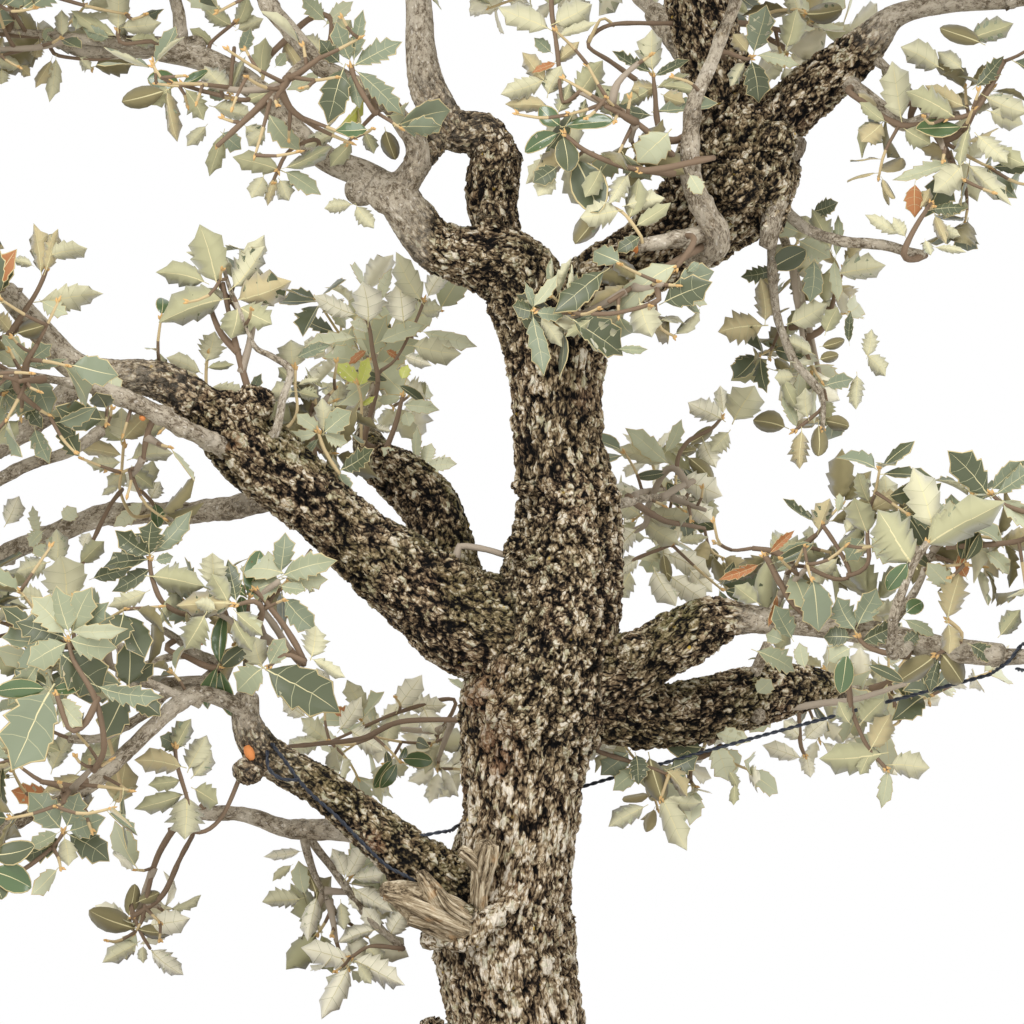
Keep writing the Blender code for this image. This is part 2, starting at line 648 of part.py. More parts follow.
def make_twig_outline(collection):
    """The three-sided outline that twigs are drawn along."""
    data = bpy.data.curves.new("twig_outline", "CURVE")
    data.dimensions = "2D"
    spline = data.splines.new("POLY")
    spline.points.add(2)
    for index, point in enumerate(spline.points):
        turn = 2.0 * math.pi * index / 3.0
        point.co = (MM * math.cos(turn), MM * math.sin(turn), 0.0, 1.0)
    spline.use_cyclic_u = True
    outline = bpy.data.objects.new("twig_outline", data)
    outline.hide_render = True
    outline.display_type = "WIRE"
    collection.objects.link(outline)
    return outline


def closed(mesh):
    """Whether every edge of a mesh has two faces."""
    bm = bmesh.new()
    bm.from_mesh(mesh)
    whole = len(bm.faces) > 0 and all(len(edge.link_faces) == 2 for edge in bm.edges)
    bm.free()
    return whole


def join_pieces(item, pieces):
    """Join an object with a whole collection, by the plain solver where the exact one fails."""
    loose = item.data
    for solver in ("EXACT", "MANIFOLD"):
        item.data = loose
        modifier = item.modifiers.new("join", "BOOLEAN")
        modifier.operand_type = "COLLECTION"
        modifier.operation = "UNION"
        modifier.collection = pieces
        modifier.solver = solver
        apply_modifiers(item)
        keep_largest(item)
        if closed(item.data):
            break


def host_direction(mass, plans):
    """The way a mass's stem sets off from the limb that carries it."""
    points = smooth_stations(plans[mass.host].stations, 4)
    foot = Vector(mass.foot)
    nearest = min(range(1, len(points)), key=lambda index: (Vector(points[index][:3]) - foot).length)
    along = (Vector(points[nearest][:3]) - Vector(points[nearest - 1][:3])).normalized()
    outward = (Vector(mass.centre) - foot).normalized()
    at_tip = nearest == len(points) - 1
    return along + 0.6 * outward if at_tip else outward + 0.3 * along


def make_mass(mass, plans, limbs, shapes, seed, collection, cutters, material):
    """One mass: its twigs and leaves joined into one solid, clear of the limb that carries it."""
    outline, leaf_mesh = shapes
    rng = random.Random(seed)
    length = min(LEAF_LENGTH_MM, LEAF_REACH * min(mass.reach))
    twigs = grow_twigs(mass, host_direction(mass, plans), length, limbs, rng)
    leaves = grow_leaves(mass, twigs, length, limbs, rng)
    pieces = new_collection(mass.name + "_pieces")
    for index, path in enumerate(twigs):
        foot = mass.stem if index == 0 else TWIG_END_MM + 0.5
        spans = len(path) - 1
        stations = [(*point, foot + (TWIG_END_MM - foot) * place / spans)
                    for place, point in enumerate(path)]
        make_tube(mass.name if index == 0 else "twig", stations, 3, pieces, outline=outline, steps=1)
    for frame, size in leaves:
        leaf = add_object("leaf", leaf_mesh, pieces)
        leaf.matrix_world = Matrix.Scale(MM, 4) @ frame @ Matrix.Scale(size, 4)
    item = pieces.objects[mass.name]
    pieces.objects.unlink(item)
    collection.objects.link(item)
    join_pieces(item, pieces)
    for piece in list(pieces.objects):
        bpy.data.objects.remove(piece, do_unlink=True)
    bpy.data.collections.remove(pieces)
    host = plans[mass.host]
    combine(item, make_tube("grown", host.stations, host.sides, cutters, GAP / MM, steps=host.steps),
            "DIFFERENCE")
    keep_largest(item)
    item.data.materials.clear()
    item.data.materials.append(material)
    return item


def main():
    """Build the pot, the soil, the trunk, the boughs and the foliage."""
    clear_scene()
    parts = new_collection("holm_oak_bonsai")
    cutters = new_collection("cutters")
    bark = make_material("bark", BARK, 0.9)
    young = make_material("young_bark", YOUNG_BARK, 0.8)
    green = make_material("leaf", LEAF_GREEN, 0.6)
    make_pot(parts, cutters, make_material("pot_clay", POT_CLAY, 0.75))
    make_soil(parts, make_material("soil", SOIL_BROWN, 0.95))
    limbs = [make_trunk(parts, cutters, bark)]
    plans = {"trunk": TRUNK}
    for limb in LIMBS:
        plans[limb.name] = limb
        limbs.append(make_limb(limb, plans, parts, cutters, bark if limb.sides > 6 else young))
    search = tree_of(limbs)
    shapes = (make_twig_outline(cutters), make_leaf_mesh())
    for index, mass in enumerate(MASSES):
        make_mass(mass, plans, search, shapes, 100 + index, parts, cutters, green)


main()
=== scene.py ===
"""Dresses a holm oak bonsai: rough bark, young boughs, sprays of spiny leaves, wire, soil and pot.

The limbs and the masses of foliage are the construction's own, in millimetres. Fine shoots and
leaves grow on from them by its rule, and every piece is set where the construction has it.
"""

import itertools
import json
import logging
import math
import random
from collections.abc import Iterator, Sequence
from dataclasses import dataclass, field, replace
from enum import Enum

import bpy
import numpy as np
from mathutils import Matrix, Vector
from mathutils.bvhtree import BVHTree

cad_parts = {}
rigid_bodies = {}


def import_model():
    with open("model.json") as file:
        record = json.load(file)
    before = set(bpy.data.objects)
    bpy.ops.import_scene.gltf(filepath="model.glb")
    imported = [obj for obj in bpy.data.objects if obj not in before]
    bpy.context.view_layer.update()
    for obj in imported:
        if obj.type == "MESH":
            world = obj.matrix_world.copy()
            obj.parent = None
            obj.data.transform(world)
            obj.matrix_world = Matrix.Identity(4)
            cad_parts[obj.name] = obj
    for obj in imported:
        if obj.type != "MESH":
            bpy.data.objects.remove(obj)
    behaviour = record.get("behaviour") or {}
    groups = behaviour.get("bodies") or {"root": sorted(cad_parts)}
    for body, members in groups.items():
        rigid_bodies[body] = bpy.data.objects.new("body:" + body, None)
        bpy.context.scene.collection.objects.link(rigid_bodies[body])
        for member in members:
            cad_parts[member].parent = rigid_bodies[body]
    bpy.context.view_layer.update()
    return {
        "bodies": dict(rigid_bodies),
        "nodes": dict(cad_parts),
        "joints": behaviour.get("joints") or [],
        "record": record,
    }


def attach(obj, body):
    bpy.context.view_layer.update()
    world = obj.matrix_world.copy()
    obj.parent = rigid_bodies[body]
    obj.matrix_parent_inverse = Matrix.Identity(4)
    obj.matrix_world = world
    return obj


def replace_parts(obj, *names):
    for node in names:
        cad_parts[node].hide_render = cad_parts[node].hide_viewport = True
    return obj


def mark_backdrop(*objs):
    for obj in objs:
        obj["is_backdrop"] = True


LOG = logging.getLogger("bonsai")
MM = 0.001
ROOT = "root"
Colour = tuple[float, float, float]
Place = tuple[float, float, float]
Station = tuple[float, float, float, float]

# The construction's growth rule, used again here so that its twigs and leaves keep their places.
GOLDEN_TURN = math.radians(137.5)
LEAF_LENGTH_MM = 74.0            # the length of its large leaves, before they vary
LEAF_REACH = 1.15                # that length at most, as a share of their mass's least half size
LEAF_WIDTH = 0.62                # width, thickness and widest place, as shares of the length
LEAF_THICKNESS = 0.045
LEAF_WIDEST = 0.42
LEAF_SINK_MM = 0.6               # how far a leaf's root is set into its twig
LEAF_STEP = 0.15                 # the step from leaf to leaf down a twig, as a share of the length
LEAF_TURNS = (0.0, 2.1, 4.2)     # the turns and sizes tried until a leaf finds room
LEAF_SHARES = (1.0, 0.82, 0.66)
TWIG_END_MM = 1.9                # the radius of its twigs at their ends
LIMB_CLEARANCE_MM = 2.0          # the gap kept between its leaves and the limbs
MASS_MARGIN = 0.06               # the gap kept at the border between masses, as a share of their size
FIRST_SEED = 100                 # the first mass's random draws, the others counting up from it


class Region(Enum):
    """The parts of the crown, each with its own joined leaves and twigs."""

    CROWN_LEFT = "crown_left"
    CROWN_RIGHT = "crown_right"
    LEFT = "left"
    LOW = "low"
    RIGHT = "right"


class Look(Enum):
    """What a listed leaf shows to the front, and whether it is oval, rusty or young."""

    TOP = 0
    UNDER = 1
    OVAL = 2
    OVAL_UNDER = 3
    RUST = 4
    YOUNG = 5


T, U, O, V, R, Y = Look
HandLeaf = tuple[float, float, float, float, float, Look]


class Skin(Enum):
    """How old a limb's bark is."""

    RUGGED = "rugged"
    YOUNG = "young"


@dataclass(frozen=True)
class Limb:
    """A tapering limb: stations of x, y, z and radius, in millimetres."""

    name: str
    stations: tuple[Station, ...]
    skin: Skin = Skin.RUGGED


@dataclass(frozen=True)
class Mass:
    """A mass of foliage: its foot on the host limb, its middle, its half sizes and its growth."""

    name: str
    host: str
    foot: Place
    centre: Place
    reach: Place
    twigs: int
    leaves: int = 3
    stem: float = 3.0
    region: Region = Region.CROWN_LEFT


@dataclass(frozen=True)
class Spray:
    """A spray with its own place: its twig, and each leaf's root, tip, width and look."""

    region: Region
    twig: tuple[Station, ...]
    leaves: tuple[HandLeaf, ...] = ()


def level_spray(region: Region, depth: float, twig: tuple[Place, ...],
                leaves: tuple[HandLeaf, ...] = ()) -> Spray:
    """A spray whose twig, of rows of x, z and radius, keeps to one depth."""
    return Spray(region, tuple((x, depth, z, radius) for x, z, radius in twig), leaves)


LIMBS = (
    Limb("trunk", (
        (-5, 0, 88, 58), (-3, 0, 116, 47), (0, 2, 152, 39), (2, 4, 201, 34.5), (-2, 5, 230, 35),
        (-4, 4, 257, 35.5), (0, 1, 284, 32), (4, -2, 309, 29.5), (6, -3, 334, 31),
        (10, -2, 360, 36), (18, 0, 388, 35), (24, 3, 420, 31), (28, 4, 462, 25), (23, 3, 494, 22),
        (22, 0, 522, 22), (21, -1, 546, 25), (18, 0, 570, 24))),
    Limb("bough_left_leader", (
        (18, 0, 548, 23), (2, -2, 578, 21), (-18, -6, 586, 16), (-37, -12, 591, 13),
        (-49, -16, 604, 11.5), (-60, -18, 621, 10))),
    Limb("bough_curl_low", (
        (-2, 0, 578, 12), (-8, 4, 604, 12.5), (-10, 8, 622, 13.5), (-7, 9, 640, 13))),
    Limb("bough_curl_high", (
        (-6, 9, 634, 12.5), (-14, 8, 650, 11.5), (-30, 5, 652, 11), (-42, 4, 672, 9.5),
        (-46, 4, 694, 7.5), (-47, 6, 717, 6.5), (-53, 10, 750, 5.5), (-59, 16, 785, 4.5))),
    Limb("bough_left_high", (
        (-55, -17, 616, 8), (-73, -14, 627, 7.4), (-93, -8, 636, 6.6), (-112, -2, 654, 6.4),
        (-131, 2, 674, 6.6), (-154, 4, 687, 6.4), (-177, 4, 692, 6))),
    Limb("bough_left_front", (
        (-54, -18, 616, 6.5), (-47, -27, 638, 5.6), (-58, -36, 656, 4.8), (-72, -42, 665, 4.5),
        (-96, -50, 678, 4.4), (-113, -52, 699, 4.3), (-127, -54, 722, 3.8),
        (-137, -54, 742, 3.2)), Skin.YOUNG),
    Limb("bough_right_leader", (
        (19, 0, 552, 19), (44, 0, 574, 19), (66, 0, 587, 19.5), (90, 3, 605, 25),
        (113, 6, 631, 32), (123, 6, 658, 24))),
    Limb("bough_apex", (
        (115, 8, 640, 19), (106, 6, 672, 18), (100, 6, 692, 16.6), (94, 8, 717, 17),
        (90, 12, 748, 15), (80, 16, 785, 12), (65, 20, 821, 9), (48, 24, 852, 6))),
    Limb("bough_right_high", (
        (122, 2, 642, 15), (146, -4, 667, 14), (163, -10, 681, 12.8), (177, -16, 693, 10),
        (190, -20, 705, 6), (215, -26, 709, 4.4), (246, -34, 709, 3.8))),
    Limb("bough_rear_top", (
        (113, 14, 640, 12), (110, 60, 668, 10.5), (98, 105, 702, 8.6), (78, 140, 735, 6.5))),
    Limb("bough_front_s", (
        (84, -4, 586, 7), (99, -33, 592, 6.8), (93, -42, 606, 5.8), (86, -47, 622, 5.3),
        (85, -49, 638, 4.6), (89, -50, 657, 3.6), (98, -53, 680, 3), (107, -56, 706, 2.8),
        (114, -62, 734, 2.6)), Skin.YOUNG),
    Limb("bough_left", (
        (8, 0, 396, 27), (-23, -2, 406, 27), (-43, -5, 420, 24.4), (-63, -9, 435, 21),
        (-85, -13, 453, 18.2), (-105, -17, 471, 18.8), (-123, -19, 486, 20.5),
        (-138, -20, 500, 18), (-150, -20, 511, 13))),
    Limb("bough_left_arm", (
        (-140, -20, 503, 11.5), (-172, -22, 524, 10), (-195, -23, 527, 8.4), (-214, -25, 531, 7.4),
        (-228, -28, 545, 6.9), (-248, -34, 569, 5.8))),
    Limb("bough_left_low_arm", (
        (-206, -24, 529, 6), (-222, -14, 517, 6.2), (-239, -4, 504, 5.7), (-260, 6, 491, 5)),
        Skin.YOUNG),
    Limb("bough_left_front_arm", (
        (-132, -22, 488, 5.5), (-156, -52, 499, 4.4), (-179, -62, 511, 4.3), (-197, -70, 518, 4.2)),
        Skin.YOUNG),
    Limb("bough_rear_left", (
        (8, 10, 398, 14), (-20, 36, 410, 14.5), (-31, 46, 434, 15.5), (-40, 53, 460, 16),
        (-56, 60, 477, 14.5), (-72, 78, 488, 11.5), (-78, 100, 500, 8))),
    Limb("bough_left_back", (
        (-108, -8, 472, 7), (-142, 24, 461, 6), (-174, 38, 459, 5.7), (-214, 54, 458, 5.6),
        (-242, 63, 448, 5.5), (-269, 72, 436, 5.2)), Skin.YOUNG),
    Limb("bough_low_left", (
        (-4, -2, 256, 19.5), (-36, -15, 276, 19), (-53, -23, 291, 14.5), (-70, -29, 306, 12.7),
        (-84, -33, 318, 11.2), (-98, -36, 329, 10.2), (-112, -38, 337, 9.6), (-123, -40, 346, 9.4),
        (-129, -42, 359, 7.5), (-128, -44, 372, 6))),
    Limb("bough_low_left_arm", (
        (-128, -43, 364, 4.4), (-143, -52, 371, 4), (-154, -60, 371, 3.8), (-166, -68, 363, 3.7),
        (-178, -78, 350, 3.6), (-195, -92, 335, 3.4), (-214, -106, 324, 3.2), (-240, -124, 311, 3)),
        Skin.YOUNG),
    Limb("bough_under_arm", (
        (-56, -22, 294, 6), (-80, 4, 299, 5.8), (-102, 14, 299, 5.4), (-117, 18, 300, 4.6),
        (-139, 26, 306, 3.7), (-160, 32, 307, 3.2)), Skin.YOUNG),
    Limb("bough_right", (
        (22, 0, 374, 19), (56, -8, 382, 17.9), (71, -14, 391, 15.4), (85, -20, 399, 15.6),
        (98, -24, 406, 13.4), (111, -28, 408, 8.4), (124, -32, 407, 6.6), (152, -42, 405, 6.2),
        (177, -52, 401, 6.3), (205, -62, 395, 6.4), (233, -72, 392, 6))),
    Limb("bough_right_rear", (
        (22, 4, 372, 20), (57, 12, 361, 19.5), (76, 20, 357, 17), (97, 30, 359, 17),
        (120, 42, 364, 16), (145, 58, 368, 13.5), (166, 78, 367, 9.5), (176, 96, 365, 7))),
)

MASSES = (
    Mass("foliage_high_left", "bough_left_high", (-177, 4, 692), (-262, -12, 700),
         (108, 62, 56), 3, 3, 5.2, Region.CROWN_LEFT),
    Mass("foliage_top_left", "bough_left_front", (-137, -54, 742), (-172, -52, 800),
         (96, 82, 66), 3, 3, 2.8, Region.CROWN_LEFT),
    Mass("foliage_left_hanging", "bough_left_front", (-96, -50, 678), (-116, -66, 655),
         (84, 44, 52), 5, 3, 3.2, Region.CROWN_LEFT),
    Mass("foliage_crown_left", "bough_curl_high", (-59, 16, 785), (-62, 40, 858),
         (100, 92, 66), 3, 3, 4.0, Region.CROWN_LEFT),
    Mass("foliage_crown_top", "bough_apex", (48, 24, 852), (42, 30, 905),
         (92, 90, 62), 3, 3, 5.0, Region.CROWN_LEFT),
    Mass("foliage_crown_right", "bough_apex", (90, 12, 748), (196, 4, 822),
         (88, 88, 66), 3, 3, 4.5, Region.CROWN_RIGHT),
    Mass("foliage_far_right_high", "bough_right_high", (246, -34, 709), (316, -42, 722),
         (78, 74, 62), 3, 3, 3.4, Region.CROWN_RIGHT),
    Mass("foliage_right_high", "bough_right_high", (172, -14, 690), (212, -30, 640),
         (54, 44, 60), 4, 3, 3.2, Region.CROWN_RIGHT),
    Mass("foliage_crown_back", "bough_rear_top", (78, 140, 735), (34, 196, 790),
         (128, 76, 74), 3, 3, 5.6, Region.CROWN_RIGHT),
    Mass("foliage_crown_front", "bough_front_s", (114, -62, 734), (92, -116, 792),
         (104, 76, 64), 3, 3, 2.3, Region.CROWN_RIGHT),
    Mass("foliage_apex_inner", "bough_apex", (97, 8, 704), (146, 42, 706),
         (34, 34, 36), 2, 3, 2.6, Region.CROWN_RIGHT),
    Mass("foliage_centre", "bough_front_s", (86, -47, 624), (46, -54, 658),
         (50, 38, 54), 4, 3, 2.4, Region.CROWN_RIGHT),
    Mass("foliage_fork_spray", "bough_front_s", (97, -30, 592), (46, -64, 560),
         (52, 28, 30), 2, 3, 2.4, Region.CROWN_RIGHT),
    Mass("foliage_far_left", "bough_left_arm", (-248, -34, 569), (-306, -46, 598),
         (84, 68, 64), 3, 3, 5.0, Region.LEFT),
    Mass("foliage_left_front", "bough_left_front_arm", (-197, -70, 518), (-234, -98, 524),
         (56, 44, 50), 4, 3, 3.6, Region.LEFT),
    Mass("foliage_left_sprig", "bough_left_front_arm", (-170, -59, 507), (-178, -52, 484),
         (34, 28, 34), 2, 3, 2.0, Region.LEFT),
    Mass("foliage_left_low", "bough_left_low_arm", (-260, 6, 491), (-330, 24, 492),
         (78, 66, 46), 3, 3, 4.2, Region.LEFT),
    Mass("foliage_left_back", "bough_left_back", (-269, 72, 436), (-342, 92, 424),
         (78, 74, 50), 3, 3, 4.4, Region.LEFT),
    Mass("foliage_left_shoot", "bough_left", (-118, -26, 488), (-141, -34, 572),
         (38, 30, 34), 2, 3, 2.8, Region.LEFT),
    Mass("foliage_mid_left_low", "bough_left", (-92, -10, 460), (-102, 22, 512),
         (27, 26, 38), 2, 3, 2.4, Region.LEFT),
    Mass("foliage_mid_left", "bough_rear_left", (-78, 100, 500), (-70, 142, 545),
         (60, 76, 50), 3, 3, 6.0, Region.LEFT),
    Mass("foliage_low_left_upper", "bough_low_left", (-128, -44, 372), (-128, -52, 410),
         (56, 44, 40), 4, 3, 4.6, Region.LOW),
    Mass("foliage_low_left_outer", "bough_low_left_arm", (-154, -60, 371), (-212, -94, 402),
         (64, 50, 46), 4, 3, 3.0, Region.LOW),
    Mass("foliage_low_left_front", "bough_low_left_arm", (-197, -93, 334), (-204, -128, 332),
         (58, 40, 42), 4, 3, 2.6, Region.LOW),
    Mass("foliage_low_left_far", "bough_low_left_arm", (-240, -124, 311), (-308, -138, 318),
         (76, 66, 54), 3, 3, 2.6, Region.LOW),
    Mass("foliage_low_sprig", "bough_under_arm", (-160, 32, 307), (-190, 42, 250),
         (30, 28, 36), 2, 3, 2.6, Region.LOW),
    Mass("foliage_under", "bough_under_arm", (-106, 15, 299), (-88, 32, 252),
         (44, 36, 46), 3, 3, 3.0, Region.LOW),
    Mass("foliage_rear_low", "trunk", (0, 6, 352), (-42, 172, 336),
         (90, 72, 36), 3, 3, 5.0, Region.LOW),
    Mass("foliage_mid_right", "trunk", (26, 6, 448), (100, 142, 467),
         (56, 80, 56), 4, 3, 5.0, Region.RIGHT),
    Mass("foliage_right_rear", "bough_right_rear", (176, 96, 365), (206, 142, 362),
         (74, 74, 44), 3, 3, 5.0, Region.RIGHT),
    Mass("foliage_right_rear_inner", "bough_right_rear", (84, 24, 354), (92, 44, 330),
         (52, 42, 36), 3, 3, 3.0, Region.RIGHT),
    Mass("foliage_far_right", "bough_right", (233, -72, 392), (312, -98, 408),
         (86, 76, 60), 3, 3, 5.0, Region.RIGHT),
    Mass("foliage_right_inner", "bough_right", (124, -32, 407), (136, -34, 438),
         (52, 46, 40), 4, 3, 3.0, Region.RIGHT),
    Mass("foliage_right_outer", "bough_right", (177, -52, 401), (204, -62, 448),
         (54, 50, 46), 4, 3, 3.4, Region.RIGHT),
    Mass("foliage_right_hanging", "bough_right_leader", (124, 14, 622), (152, 38, 548),
         (42, 38, 68), 4, 3, 4.0, Region.RIGHT),
)

# Openings in the crown, seen from the front: x and z of the middle, half width and half height.
OPENINGS = (
    (-226, 634, 41, 22), (-154, 614, 21, 15), (-192, 571, 12, 29), (-106, 591, 18, 21),
    (8, 600, 13, 15), (-21, 531, 16, 44), (78, 530, 29, 17), (209, 541, 41, 39),
    (123, 470, 17, 21), (175, 616, 13, 13), (-64, 404, 28, 26), (-200, 366, 15, 5),
    (-140, 276, 16, 31), (-226, 246, 17, 22), (-125, 323, 13, 9), (54, 705, 14, 10),
    (-24, 685, 15, 26), (-226, 477, 13, 6), (89, 701, 13, 13), (-96, 596, 13, 15),
    (-166, 541, 9, 7), (-131, 236, 18, 20), (-221, 481, 10, 7), (112, 551, 7, 15),
    (-220, 662, 39, 20), (-174, 632, 21, 12), (-249, 605, 15, 10), (246, 602, 15, 15),
    (112, 570, 13, 18), (-207, 551, 17, 13), (-38, 541, 10, 20), (-38, 504, 10, 11),
    (100, 541, 15, 15), (178, 506, 17, 15), (-208, 473, 16, 7), (-176, 481, 8, 10),
    (112, 481, 15, 17), (140, 485, 17, 13), (209, 488, 10, 8), (116, 450, 13, 18),
    (-176, 371, 11, 6), (-81, 380, 17, 13), (236, 366, 22, 11), (212, 347, 25, 17),
    (240, 346, 22, 17), (113, 313, 15, 14), (-206, 280, 17, 10), (-177, 291, 13, 11),
    (-114, 250, 10, 13), (-111, 215, 17, 15), (-88, 591, 10, 10), (-128, 604, 10, 7),
    (-246, 571, 8, 5), (44, 506, 6, 7), (166, 656, 9, 7), (52, 686, 11, 9),
    (-4, 651, 7, 11), (-41, 571, 7, 7), (-244, 481, 9, 5), (-221, 518, 6, 5),
    (24, 596, 7, 7), (-181, 416, 5, 5), (144, 456, 10, 7), (-156, 251, 10, 13),
    (-51, 371, 4, 5),
)

